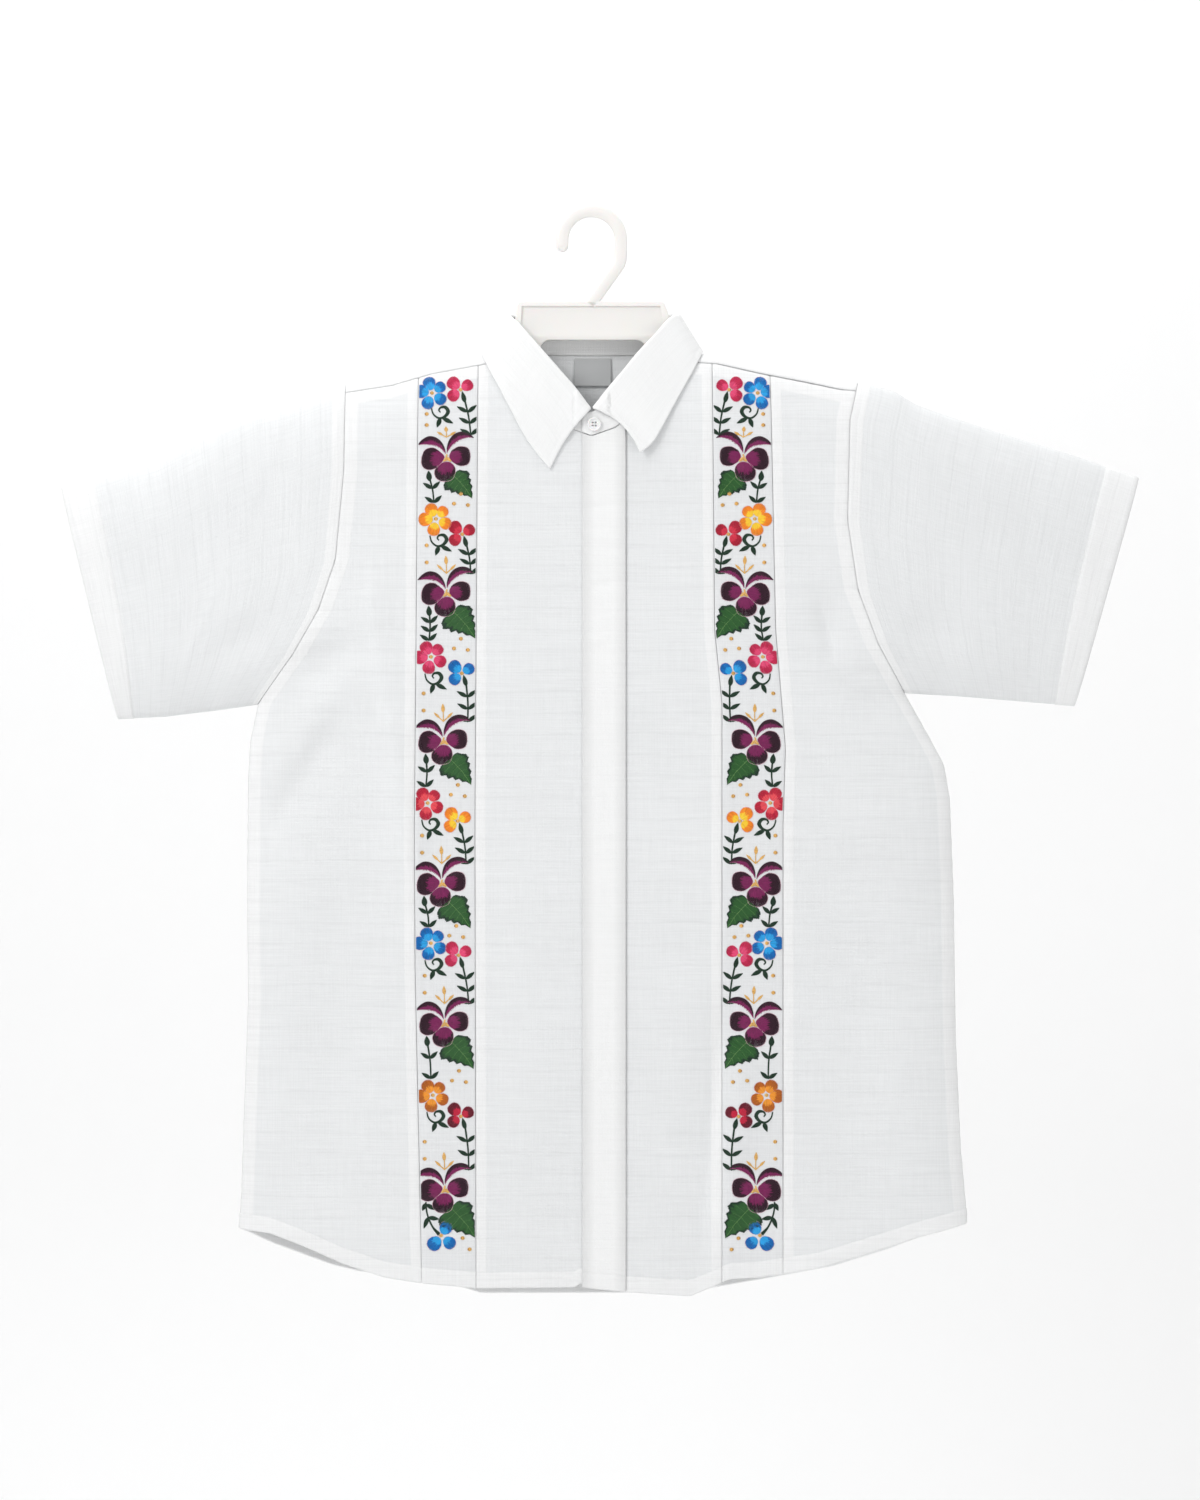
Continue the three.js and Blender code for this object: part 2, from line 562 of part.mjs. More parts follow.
const LEAF_STATIONS = {
  right: [
    { place: 'front', foldX: -0.8, foldZ: -158.5, foldLift: 0, edgeX: -34, edgeZ: -207.5, edgeLift: 2, bow: 3 },
    { place: 'front', foldX: -14.1, foldZ: -140.9, foldLift: 0, edgeX: -45, edgeZ: -194.5, edgeLift: 2, bow: 0 },
    { place: 'front', foldX: -26, foldZ: -127.2, foldLift: 0, edgeX: -55, edgeZ: -180, edgeLift: 2, bow: 0 },
    { place: 'front', foldX: -37.6, foldZ: -113.8, foldLift: 0, edgeX: -65, edgeZ: -161, edgeLift: 2, bow: 0 },
    { place: 'front', foldX: -49, foldZ: -100.6, foldLift: 0, edgeX: -75, edgeZ: -142, edgeLift: 2, bow: 0 },
    { place: 'front', foldX: -59.5, foldZ: -88.2, foldLift: 0, edgeX: -85, edgeZ: -123.5, edgeLift: 2.2, bow: 0 },
    { place: 'ridge', foldX: -66, foldZ: -81.5, foldLift: 0, edgeX: -89.8, edgeZ: -111.5, edgeLift: 0, bow: 0 },
    { place: 'back', foldX: -58, foldZ: -81.5, foldLift: 0, edgeX: -83, edgeZ: -121, edgeLift: 2.2, bow: 0 },
    { place: 'back', foldX: -34, foldZ: -82.3, foldLift: 0, edgeX: -48, edgeZ: -126, edgeLift: 2, bow: 0 },
    { place: 'back', foldX: 0, foldZ: -82.8, foldLift: 0, edgeX: 0, edgeZ: -127.5, edgeLift: 2, bow: 0 },
  ],
  left: [
    { place: 'back', foldX: 34, foldZ: -82.3, foldLift: 0, edgeX: 48, edgeZ: -126, edgeLift: 2, bow: 0 },
    { place: 'back', foldX: 60, foldZ: -81.5, foldLift: 0, edgeX: 84, edgeZ: -120, edgeLift: 2.2, bow: 0 },
    { place: 'ridge', foldX: 69.8, foldZ: -81.5, foldLift: 0, edgeX: 91, edgeZ: -110.6, edgeLift: 0, bow: 0 },
    { place: 'front', foldX: 64.5, foldZ: -84, foldLift: 0.2, edgeX: 86, edgeZ: -122, edgeLift: 2.2, bow: 0 },
    { place: 'front', foldX: 51, foldZ: -98.5, foldLift: 0.5, edgeX: 76.5, edgeZ: -139, edgeLift: 2.4, bow: 0 },
    { place: 'front', foldX: 38.5, foldZ: -112, foldLift: 0.9, edgeX: 66.5, edgeZ: -157, edgeLift: 3, bow: 0 },
    { place: 'front', foldX: 26, foldZ: -127.5, foldLift: 1.3, edgeX: 57.5, edgeZ: -173.5, edgeLift: 4, bow: 0 },
    { place: 'front', foldX: 13, foldZ: -143, foldLift: 1.6, edgeX: 49, edgeZ: -187, edgeLift: 5.5, bow: 2 },
    { place: 'front', foldX: 1.4, foldZ: -157.8, foldLift: 1.75, edgeX: 40.1, edgeZ: -194.3, edgeLift: 7, bow: -6 },
  ],
};

const FACES = { front: -1, ridge: 0, back: 1 };
const RIGHT_STAND_PEAK = { x: -65.9, z: -84 };
const LEFT_STAND_PEAK = { x: 68.7, z: -84 };
const LEAF_COLUMNS = 36;
const LEAF_ROWS = [
  { down: 1.7, out: 0 }, { down: 0.5, out: 0.6 }, { down: 0, out: 1.5 }, { down: 0.8, out: LEAF_ROLL_OUT },
];
const LEAF_SHARES = [0.12, 0.38, 0.68, 1];
const STAND_UNDER_SHARE = 0.7;
const STAND_END = { x: 14, z: -180 };

/** The station's point on the cloth's surface, or on the outline itself over the shoulder. */
function collarPoint(place, x, z, lift) {
  const face = FACES[place];
  if (face !== 0) return clothPoint(x, z, face, lift);
  const outward = nearestEdge(x, z).inward.clone().negate();
  const normal = new THREE.Vector3(outward.x, 0, outward.y).normalize();
  return { point: new THREE.Vector3(x, 0, z).addScaledVector(normal, lift), normal };
}

const leafTable = [...LEAF_STATIONS.right, ...LEAF_STATIONS.left];
const leafCurves = {
  fold: smoothCurve(leafTable.map((s) => collarPoint(s.place, s.foldX, s.foldZ, s.foldLift).point)),
  foldNormal: smoothCurve(leafTable.map((s) => collarPoint(s.place, s.foldX, s.foldZ, 0).normal)),
  edge: smoothCurve(leafTable.map((s) => collarPoint(s.place, s.edgeX, s.edgeZ, s.edgeLift).point)),
  bow: leafTable.map((s) => s.bow),
};

/** How far out the leaf must stay of the stand, the button and the panels under it. */
function leafRoom(point, share) {
  const nearButton = Math.hypot(point.x - BUTTON_SEAT.x, point.z - BUTTON_SEAT.z) < BUTTON_REACH;
  const overStandEnd = Math.abs(point.x) < STAND_END.x && point.z > STAND_END.z;
  if (nearButton || overStandEnd) return LEAF_OVER_BUTTON;
  const overPlacket = point.x > PLACKET_LEFT_X - LEAF_OVER_PLACKET && point.x < PLACKET_RIGHT_X + LEAF_ROLL_OUT;
  if (overPlacket) return LEAF_OVER_PLACKET;
  return share < STAND_UNDER_SHARE ? LEAF_OVER_STAND : LEAF_OVER_PANEL;
}

/** The leaf's point kept clear of what lies under it on the front or the back. */
function clearOf(point, share) {
  const z = Math.min(point.z, 0);
  const edge = nearestEdge(point.x, z);
  if (edge.distance < LEAF_FREE_EDGE) return point;
  const face = point.y < 0 ? -1 : 1;
  const depth = Math.abs(clothPoint(point.x, z, face, 0).point.y) + leafRoom(point, share);
  const room = THREE.MathUtils.smoothstep(edge.distance, LEAF_FREE_EDGE, LEAF_FULL_ROOM);
  const y = face * Math.max(Math.abs(point.y), depth);
  return point.clone().setY(lerp(point.y, y, room));
}

function bowAt(t) {
  const place = t * (leafCurves.bow.length - 1);
  const from = Math.min(Math.floor(place), leafCurves.bow.length - 2);
  return lerp(leafCurves.bow[from], leafCurves.bow[from + 1], place - from);
}

/** The leaf's middle surface: a roll over the fold line, then straight to its edge. */
function leafGrid() {
  const columns = Array.from({ length: LEAF_COLUMNS + 1 }, (_, i) => {
    const t = i / LEAF_COLUMNS;
    const fold = curveAt(leafCurves.fold, t);
    const out = curveAt(leafCurves.foldNormal, t).normalize();
    const edge = curveAt(leafCurves.edge, t);
    const down = edge.clone().sub(fold);
    down.addScaledVector(out, -down.dot(out)).normalize();
    const rolled = LEAF_ROWS.map((row) => fold.clone().addScaledVector(down, row.down)
      .addScaledVector(out, row.out));
    const start = rolled[rolled.length - 1];
    const sideways = down.clone().cross(out).normalize();
    const rest = LEAF_SHARES.map((share) => {
      const point = start.clone().lerp(edge, share);
      point.addScaledVector(sideways, bowAt(t) * Math.sin(Math.PI * share));
      return clearOf(point, share);
    });
    return [...rolled, ...rest];
  });
  return gridFromColumns(columns, COLLAR_WALL);
}

const curveAt = (curve, t) => curve.getPoint(t);

/** Turns columns of points into a grid with normals taken from their neighbours. */
function gridFromColumns(columns, wall) {
  const rows = columns[0].length;
  return Array.from({ length: rows }, (_, r) => columns.map((column, c) => {
    const before = columns[Math.max(c - 1, 0)][r];
    const after = columns[Math.min(c + 1, columns.length - 1)][r];
    const above = column[Math.max(r - 1, 0)];
    const below = column[Math.min(r + 1, rows - 1)];
    const normal = after.clone().sub(before).cross(below.clone().sub(above)).normalize();
    return { point: column[r], normal, wall };
  }));
}

// The stand follows the neck seam, from its outer front end round the back to its inner front end

const STAND_SHARES = [0, 0.3, 0.65, 1];

/** Top edge of the stand above each place on the neck seam, for both halves of the front and for the back. */
const STAND_TOPS = {
  left: [
    { seamX: -7, topX: -8, topZ: -161.7, lift: 1.75 }, { seamX: 4.6, topX: 1.9, topZ: -161.1, lift: 1.75 },
    { seamX: 16, topX: 7.9, topZ: -153.6, lift: 1.75 }, { seamX: 28, topX: 16, topZ: -143.3, lift: 1.5 },
    { seamX: 36, topX: 23, topZ: -134.9, lift: 0.3 }, { seamX: 46, topX: 31.9, topZ: -124.3, lift: 0 },
    { seamX: 56, topX: 42.3, topZ: -111.5, lift: 0 }, { seamX: 64, topX: 51.3, topZ: -101.8, lift: 0 },
    { seamX: 70, topX: 58.2, topZ: -94.1, lift: 0 }, { seamX: 74, topX: 63.9, topZ: -87.7, lift: 0 },
  ],
  right: [
    { seamX: -74, topX: -60.2, topZ: -90.8, lift: 0 }, { seamX: -70, topX: -55.8, topZ: -96.4, lift: 0 },
    { seamX: -64, topX: -49.3, topZ: -103.9, lift: 0 }, { seamX: -56, topX: -41.3, topZ: -113.1, lift: 0 },
    { seamX: -46, topX: -31.8, topZ: -124.1, lift: 0 }, { seamX: -34, topX: -20.9, topZ: -136.9, lift: 0 },
    { seamX: -20, topX: -10.4, topZ: -150, lift: 0 }, { seamX: -8, topX: -2.4, topZ: -160.7, lift: 0 },
    { seamX: 0, topX: 3, topZ: -163.2, lift: 0 }, { seamX: STAND_OVERLAP_X, topX: 9, topZ: -165.5, lift: 0 },
  ],
  back: [
    { seamX: -74, topX: -62.5, topZ: -84.2, lift: 0 }, { seamX: -50, topX: -45, topZ: -84.2, lift: 0 },
    { seamX: 0, topX: 0, topZ: -84.8, lift: 0 }, { seamX: 50, topX: 46, topZ: -84.2, lift: 0 },
    { seamX: 74, topX: 65.5, topZ: -84.2, lift: 0 },
  ],
};

/** Top of the stand above a point of the neck seam. */
function standTop(half, x) {
  const rows = STAND_TOPS[half];
  const value = (column) => along(rows, 'seamX', column, x);
  return clothPoint(value('topX'), value('topZ'), half === 'back' ? 1 : -1, value('lift')).point;
}

/** Stand grid: its lower edge keeps the seam's gap above the panels' own neck edges. */
function standGrid(fronts, placket, back) {
  const topRow = (grid) => grid[0];
  const raised = new THREE.Vector3(0, 0, SEAM_GAP);
  const mean = (a, b) => ({ point: a.point.clone().lerp(b.point, 0.5).add(raised), normal: a.normal.clone() });
  const atNeck = (row, sign) => row.find(({ point }) => Math.abs(point.x - sign * NECK_X) < 0.5);
  const inside = (row, low, high) => row.filter(({ point }) => point.x > low && point.x < high);
  const seam = [];
  const add = (half, rows) => rows.forEach((row) => seam.push({ ...row, half }));
  const neckEdge = NECK_X - 1;
  add('left', topRow(placket));
  add('left', inside(topRow(fronts.left), PLACKET_RIGHT_X + 2, neckEdge));
  add('leftPeak', [mean(atNeck(topRow(fronts.left), 1), atNeck(topRow(back), 1))]);
  add('back', inside(topRow(back), -neckEdge, neckEdge).reverse());
  add('rightPeak', [mean(atNeck(topRow(fronts.right), -1), atNeck(topRow(back), -1))]);
  add('right', inside(topRow(fronts.right), -neckEdge, STAND_OVERLAP_X + 1));
  const low = acrossSeam(seam, ({ x }) => new THREE.Vector3(-0.5 * Math.sign(x), 0, 1), false);
  const columns = seam.map(({ point, half }, i) => {
    const peak = { leftPeak: LEFT_STAND_PEAK, rightPeak: RIGHT_STAND_PEAK }[half];
    const high = peak ? new THREE.Vector3(peak.x, 0, peak.z) : standTop(half, point.x);
    return STAND_SHARES.map((share) => low[i].point.clone().lerp(high, share));
  });
  const grid = gridFromColumns(columns, COLLAR_WALL);
  return grid.map((row, r) => row.map((place, i) => {
    const facing = place.normal.dot(low[i].normal) < 0 ? place.normal.clone().negate() : place.normal;
    return { ...place, normal: r === 0 ? low[i].normal : facing, wall: r === 0 ? CLOTH_WALL : COLLAR_WALL };
  }));
}

// Hard pieces

/** A boolean solid from any closed geometry. */
function solidOf(geometry) {
  const bare = geometry.clone();
  bare.deleteAttribute('normal');
  bare.deleteAttribute('uv');
  const merged = mergeVertices(bare, 1e-3);
  return new wasm.Manifold(new wasm.Mesh({
    numProp: 3,
    vertProperties: new Float32Array(merged.attributes.position.array),
    triVerts: new Uint32Array(merged.index.array),
  }));
}

function geometryOf(solid) {
  const mesh = solid.getMesh();
  const geometry = new THREE.BufferGeometry();
  geometry.setAttribute('position', new THREE.Float32BufferAttribute(Array.from(mesh.vertProperties), 3));
  geometry.setIndex(Array.from(mesh.triVerts));
  return geometry;
}

/** A shape drawn in X and Z, given a thickness along Y about its middle. */
function slab(shape, thickness, bevel = 0, curveSegments = 12) {
  const geometry = new THREE.ExtrudeGeometry(shape, {
    depth: thickness - 2 * bevel,
    bevelEnabled: bevel > 0,
    bevelThickness: bevel,
    bevelSize: bevel,
    bevelOffset: -bevel,
    bevelSegments: 1,
    curveSegments,
  });
  geometry.translate(0, 0, -(thickness / 2 - bevel));
  geometry.rotateX(Math.PI / 2);
  return geometry;
}

/** Hook: a bar of even width along an open ring, a short straight and a slanted foot. */
function hookShape() {
  const middle = HOOK_INNER_RADIUS + HOOK_BAR / 2;
  const centreZ = -HOOK_INNER_RADIUS;
  const line = new THREE.CurvePath();
  const tip = new THREE.Vector2(-middle, centreZ - HOOK_TIP_DROP);
  const straightEnd = new THREE.Vector2(middle, HOOK_STRAIGHT_END_Z);
  const footTop = new THREE.Vector2(middle - HOOK_FOOT_TOP.inset, HOOK_FOOT_TOP.z);
  line.add(new THREE.LineCurve(tip, new THREE.Vector2(-middle, centreZ)));
  line.add(new THREE.EllipseCurve(0, centreZ, middle, middle, Math.PI, 0, true));
  line.add(new THREE.LineCurve(new THREE.Vector2(middle, centreZ), straightEnd));
  line.add(new THREE.QuadraticBezierCurve(straightEnd, new THREE.Vector2(middle, HOOK_BEND_Z), footTop));
  line.add(new THREE.LineCurve(footTop, new THREE.Vector2(HOOK_FOOT_X, PLATE_TOP_Z - PLATE_RIM / 2)));
  const centre = line.curves.flatMap((curve, i) => {
    const divisions = [1, 18, 1, 3, 1][i];
    return curve.getPoints(divisions).slice(i === 0 ? 0 : 1);
  });
  const sides = [1, -1].map((side) => centre.map((point, i) => {
    const before = centre[Math.max(i - 1, 0)];
    const after = centre[Math.min(i + 1, centre.length - 1)];
    const ahead = after.clone().sub(before).normalize();
    return new THREE.Vector2(point.x - side * ahead.y * HOOK_BAR / 2, point.y + side * ahead.x * HOOK_BAR / 2);
  }));
  const roundTip = new THREE.EllipseCurve(tip.x, tip.y, HOOK_BAR / 2, HOOK_BAR / 2, 0, Math.PI, true)
    .getPoints(8).slice(1, -1);
  return new THREE.Shape([...sides[0], ...sides[1].reverse(), ...roundTip]);
}

/** Plate with its two arms and the slot's arch between them, as one outline. */
function hangerShape() {
  const bevelled = 0.3;
  const half = (side, plate) => {
    const armZ = (x, drop) => ({ x, z: ridgeZ(side * x) - ARM_DROP - drop });
    const shoulderEnd = ARM_END_X - ARM_END_CORNER;
    return [
      { x: plate.topX - PLATE_CORNER, z: PLATE_TOP_Z },
      { x: plate.topX - PLATE_CORNER * bevelled, z: PLATE_TOP_Z - PLATE_CORNER * bevelled },
      { x: plate.topX, z: PLATE_TOP_Z - PLATE_CORNER },
      { x: plate.shoulderX, z: PLATE_SHOULDER_Z },
      ...ARM_ROOT,
      ...[...ARM_TOP_PLACES, shoulderEnd].map((x) => armZ(x, 0)),
      armZ(ARM_END_X, ARM_END_CORNER),
      armZ(ARM_END_X, 2 * ARM_END_CORNER),
      ...[shoulderEnd, ...ARM_LOW_PLACES].map((x) => armZ(x, ARM_HEIGHT)),
      ARM_LOW_ROOT,
      { x: plate.slotX + SLOT_FLARE.x, z: SLOT_FLARE.z },
      { x: plate.slotX, z: SLOT_END_Z },
      { x: plate.slotX, z: SLOT_TOP_Z - SLOT_CORNER },
      { x: plate.slotX - SLOT_CORNER * bevelled, z: SLOT_TOP_Z - SLOT_CORNER * bevelled },
      { x: plate.slotX - SLOT_CORNER, z: SLOT_TOP_Z },
    ].map(({ x, z }) => new THREE.Vector2(side * x, z));
  };
  return new THREE.Shape([...half(1, PLATE_LEFT), ...half(-1, PLATE_RIGHT).reverse()]);
}

/** The recess in each face of the plate, inside its rim. */
function recessShape() {
  const topZ = PLATE_TOP_Z - PLATE_RIM;
  const lowZ = SLOT_TOP_Z + PLATE_RIM;
  return new THREE.Shape([
    new THREE.Vector2(-PLATE_RIGHT.recessTopX, topZ), new THREE.Vector2(PLATE_LEFT.recessTopX, topZ),
    new THREE.Vector2(PLATE_LEFT.recessLowX, lowZ), new THREE.Vector2(-PLATE_RIGHT.recessLowX, lowZ),
  ]);
}

function hangerGeometry() {
  const body = solidOf(slab(hangerShape(), HANGER_THICKNESS, PLATE_BEVEL));
  const hook = solidOf(slab(hookShape(), HANGER_THICKNESS, HOOK_BEVEL));
  let hanger = body.add(hook);
  for (const face of [-1, 1]) {
    const pocket = slab(recessShape(), 2 * PLATE_RECESS);
    pocket.translate(0, face * HANGER_THICKNESS / 2, 0);
    hanger = hanger.subtract(solidOf(pocket));
  }
  return geometryOf(hanger);
}

/** Collar button: a turned disc with a dished face and four holes, its axis along Y. */
function buttonGeometry() {
  const radius = BUTTON_DIAMETER / 2;
  const dishZ = BUTTON_THICKNESS - BUTTON_DISH;
  const profile = [
    [0, 0], [radius - BUTTON_EDGE, 0], [radius, BUTTON_EDGE], [radius, BUTTON_THICKNESS - BUTTON_EDGE],
    [radius - BUTTON_EDGE, BUTTON_THICKNESS], [radius - BUTTON_RIM, BUTTON_THICKNESS],
    [radius - BUTTON_RIM - BUTTON_DISH, dishZ], [0, dishZ],
  ].map(([across, high]) => new THREE.Vector2(across, high));
  const disc = new THREE.LatheGeometry(profile, 24);
  const drillRadius = BUTTON_HOLE_DIAMETER / 2;
  const drillLength = 4 * BUTTON_THICKNESS;
  let button = solidOf(disc);
  for (const [right, up] of [[-1, -1], [1, -1], [-1, 1], [1, 1]]) {
    const drill = new THREE.CylinderGeometry(drillRadius, drillRadius, drillLength, 8);
    drill.translate(right * BUTTON_HOLE_SPACING / 2, 0, up * BUTTON_HOLE_SPACING / 2);
    button = button.subtract(solidOf(drill));
  }
  const geometry = geometryOf(button);
  geometry.rotateX(Math.PI);
  return geometry;
}

/** Neck label: a small rectangle inside the back, below the neck seam. */
function labelGrid() {
  const lift = -(CLOTH_WALL / 2 + SEAM_GAP + LABEL_CLEARANCE);
  return LABEL_HEIGHTS.map((z) => LABEL_PLACES.map((x) => ({ ...clothPoint(x, z, 1, lift), wall: LABEL_WALL })));
}

// Putting the shirt together

const shirt = new THREE.Group();

function addPiece(name, geometry, colour, roughness = 0.9) {
  const material = new THREE.MeshStandardMaterial({ color: colour, roughness, metalness: 0 });
  const mesh = new THREE.Mesh(geometry, material);
  mesh.name = name;
  shirt.add(mesh);
  return mesh;
}

const evenly = (count) => Array.from({ length: count + 1 }, (_, i) => i / count);
const SIDE_COLUMNS = [0, 0.01, 0.045, 0.13, 0.28, 0.5, 0.75, 1];
const bandLine = (name, shift) => (z) => seamX(BAND_LINES[name], z, shift);
const toRight = SEAM_GAP / 2;
const toLeft = -SEAM_GAP / 2;

/** Shares across a panel that put its columns at the given x along its top edge. */
function columnsAt(places, left, right) {
  const from = settle(left, frontTop);
  const to = settle(right, frontTop);
  return [0, ...places.map((x) => (x - from) / (to - from)), 1];
}

const rightCentreSides = [bandLine('rightInner', toRight), () => UNDERLAP_X];
const leftCentreSides = [() => PLACKET_RIGHT_X, bandLine('leftInner', toLeft)];

const grids = {
  sideRight: frontGrid({
    left: rightBodySide, right: bandLine('rightOuter', toLeft), columns: SIDE_COLUMNS,
  }),
  bandRight: frontGrid({
    left: bandLine('rightOuter', toRight), right: bandLine('rightInner', toLeft), columns: evenly(3),
  }),
  centreRight: frontGrid({
    left: rightCentreSides[0],
    right: rightCentreSides[1],
    columns: columnsAt([-WRAP_START_X, -NECK_X, -74, -70, -64, -56, -46, -34, -20, -8, STAND_OVERLAP_X],
      ...rightCentreSides),
    bottom: (x) => along(FRONT_HEM, 'x', 'z', x)
      + UNDERLAP_SHORTER * THREE.MathUtils.smoothstep(x, UNDERLAP_HEM_START_X, PLACKET_LEFT_X - 1),
    hemUntil: PLACKET_LEFT_X - UNDERLAP_SHORTER,
  }),
  centreLeft: frontGrid({
    left: leftCentreSides[0],
    right: leftCentreSides[1],
    columns: columnsAt([36, 46, 56, 64, 70, 74, NECK_X, WRAP_START_X], ...leftCentreSides),
  }),
  bandLeft: frontGrid({
    left: bandLine('leftInner', toRight), right: bandLine('leftOuter', toLeft), columns: evenly(3),
  }),
  sideLeft: frontGrid({
    left: bandLine('leftOuter', toRight), right: leftBodySide, columns: SIDE_COLUMNS.map((c) => 1 - c).reverse(),
  }),
  placket: frontGrid({
    left: () => PLACKET_LEFT_X,
    right: () => PLACKET_RIGHT_X - SEAM_GAP,
    columns: evenly(3),
    lift: PLACKET_LIFT,
    wall: PLACKET_WALL,
    hemWall: PLACKET_WALL,
    top: (x) => frontTop(x) - SEAM_GAP,
  }),
};

/** The back's columns stand at the fronts' columns along the shoulders, and on its own across the neck. */
function backPlaces() {
  const shoulder = (names) => names.flatMap((name, i) => {
    const row = grids[name][0].map(({ point }) => point.x);
    return i === 0 ? row : row.slice(1);
  });
  const onShoulder = (x) => Math.abs(x) > NECK_X - 0.5;
  const exact = (x) => (Math.abs(Math.abs(x) - NECK_X) < 0.5 ? Math.sign(x) * NECK_X : x);
  const right = shoulder(['sideRight', 'bandRight', 'centreRight']).filter(onShoulder).map(exact);
  const left = shoulder(['centreLeft', 'bandLeft', 'sideLeft']).filter(onShoulder).map(exact);
  return [...right, -74, -64, -44, -22, 0, 22, 44, 64, 74, ...left];
}

grids.back = backGrid(backPlaces());
grids.stand = standGrid({ left: grids.centreLeft, right: grids.centreRight }, grids.placket, grids.back);

grids.sleeveRight = sleeveGrid({
  top: SHOULDER_LINE.filter(({ x }) => x < RIGHT_ARMHOLE[0].x + 1),
  bottom: RIGHT_LOWER_LINE.slice(0, 4).reverse(),
  cuff: [SHOULDER_LINE[SHOULDER_LINE.length - 1], RIGHT_LOWER_LINE[0]],
  ring: armholeRing(grids.sideRight, grids.back, 'first'),
  outward: new THREE.Vector3(-1, 0, 0),
});
grids.sleeveLeft = sleeveGrid({
  top: [{ x: LEFT_ARMHOLE[0].x, z: ridgeZ(LEFT_ARMHOLE[0].x) },
    ...SHOULDER_LINE.filter(({ x }) => x > LEFT_ARMHOLE[0].x).reverse()],
  bottom: LEFT_LOWER_LINE.slice(8),
  cuff: [SHOULDER_LINE[0], LEFT_LOWER_LINE[LEFT_LOWER_LINE.length - 1]],
  ring: armholeRing(grids.sideLeft, grids.back, 'last'),
  outward: new THREE.Vector3(1, 0, 0),
});

addPiece('front_side_right', wallGeometry(grids.sideRight), COLOURS.cotton);
addPiece('front_side_left', wallGeometry(grids.sideLeft), COLOURS.cotton);
addPiece('front_band_right', wallGeometry(grids.bandRight), COLOURS.band);
addPiece('front_band_left', wallGeometry(grids.bandLeft), COLOURS.band);
addPiece('front_centre_right', wallGeometry(grids.centreRight), COLOURS.cotton);
addPiece('front_centre_left', wallGeometry(grids.centreLeft), COLOURS.cotton);
addPiece('placket', wallGeometry(grids.placket), COLOURS.collar);
addPiece('back', wallGeometry(grids.back), COLOURS.cotton);
addPiece('sleeve_right', wallGeometry(grids.sleeveRight, true), COLOURS.cotton);
addPiece('sleeve_left', wallGeometry(grids.sleeveLeft, true), COLOURS.cotton);
addPiece('collar_stand', wallGeometry(grids.stand), COLOURS.collar);
addPiece('collar_leaf', wallGeometry(leafGrid()), COLOURS.collar);
addPiece('neck_label', wallGeometry(labelGrid()), COLOURS.label, 0.5);

const button = addPiece('collar_button', buttonGeometry(), COLOURS.plastic, 0.3);
const buttonLift = PLACKET_LIFT + COLLAR_WALL / 2 + SEAM_GAP;
button.position.copy(clothPoint(BUTTON_SEAT.x, BUTTON_SEAT.z, -1, buttonLift).point);

addPiece('hanger', hangerGeometry(), COLOURS.plastic, 0.35);

export default shirt;
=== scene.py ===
"""A white guayabera shirt with two embroidered bands on its plastic hanger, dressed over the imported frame.

Tables are in millimetres on the front view: x runs to the wearer's left, z up, the front faces -Y.
"""

import logging
import math
from dataclasses import dataclass
from enum import Enum
from typing import Callable, NamedTuple, Sequence

import bmesh
import bpy
import numpy as np
from mathutils import Matrix, Vector


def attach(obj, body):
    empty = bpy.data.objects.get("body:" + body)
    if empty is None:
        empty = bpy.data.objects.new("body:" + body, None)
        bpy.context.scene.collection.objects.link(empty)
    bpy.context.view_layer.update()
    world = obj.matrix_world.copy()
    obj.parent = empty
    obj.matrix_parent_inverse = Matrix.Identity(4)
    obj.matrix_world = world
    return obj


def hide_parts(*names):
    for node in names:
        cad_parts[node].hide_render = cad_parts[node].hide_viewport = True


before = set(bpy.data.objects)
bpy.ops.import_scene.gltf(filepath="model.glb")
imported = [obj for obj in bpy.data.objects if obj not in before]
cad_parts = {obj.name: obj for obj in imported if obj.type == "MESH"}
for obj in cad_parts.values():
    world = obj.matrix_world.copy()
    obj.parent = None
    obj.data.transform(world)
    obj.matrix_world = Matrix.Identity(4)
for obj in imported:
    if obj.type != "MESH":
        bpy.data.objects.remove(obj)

LOG = logging.getLogger("guayabera")
MM = 0.001
SEAM_GAP = 0.3
CLOTH_WALL = 1.1
HEM_WALL = 1.9
HEM_BAND = 12.5
CUFF_BAND = 28.0
BODY_HALF_DEPTH = 16.0
CUFF_HALF_DEPTH = 11.0
SLEEVE_START_X = 230.0
CUFF_X = 440.0
EDGE_ROUNDING = 60.0
NECK_X = 76.0
WRAP_START_X = 80.0
NECK_SEAM_DROP = 1.0
SHOULDER_SEAM_DROP = 7.0
ARMPIT_CORNER = 3.0
PLACKET_LEFT_X = -7.0
PLACKET_RIGHT_X = 28.0
PLACKET_LIFT = 1.75
UNDERLAP_X = 22.0
COLLAR_WALL = 1.4
SIDE_STRIP = 11.0
BAND_STRIP = 8.5
SHOULDER_STRIP = 10.5
WRAP_STRIP = 8.0
NO_STRIP = 9.0
FAR = 99.0
HEM_ROWS = (0.06, 0.25, 0.5, 0.75, 0.94, 1.0)
CHEST_Z = -500.0
PANEL_LENGTH = 690.0
BACK_LENGTH = 700.0
GROOVE_DEPTH = 0.55
GROOVE_WIDTH = 0.9
PUCKER_HEIGHT = 0.17
PUCKER_REACH = 7.0
HEM_STITCH_SOFTNESS = 0.8
ARMHOLE_HALF_GIRTH = 250.0
SLEEVE_HALF_GIRTH = 220.0
CUFF_HALF_GIRTH = 210.0

Scalars = np.ndarray
LineOf = Callable[[Scalars], Scalars]


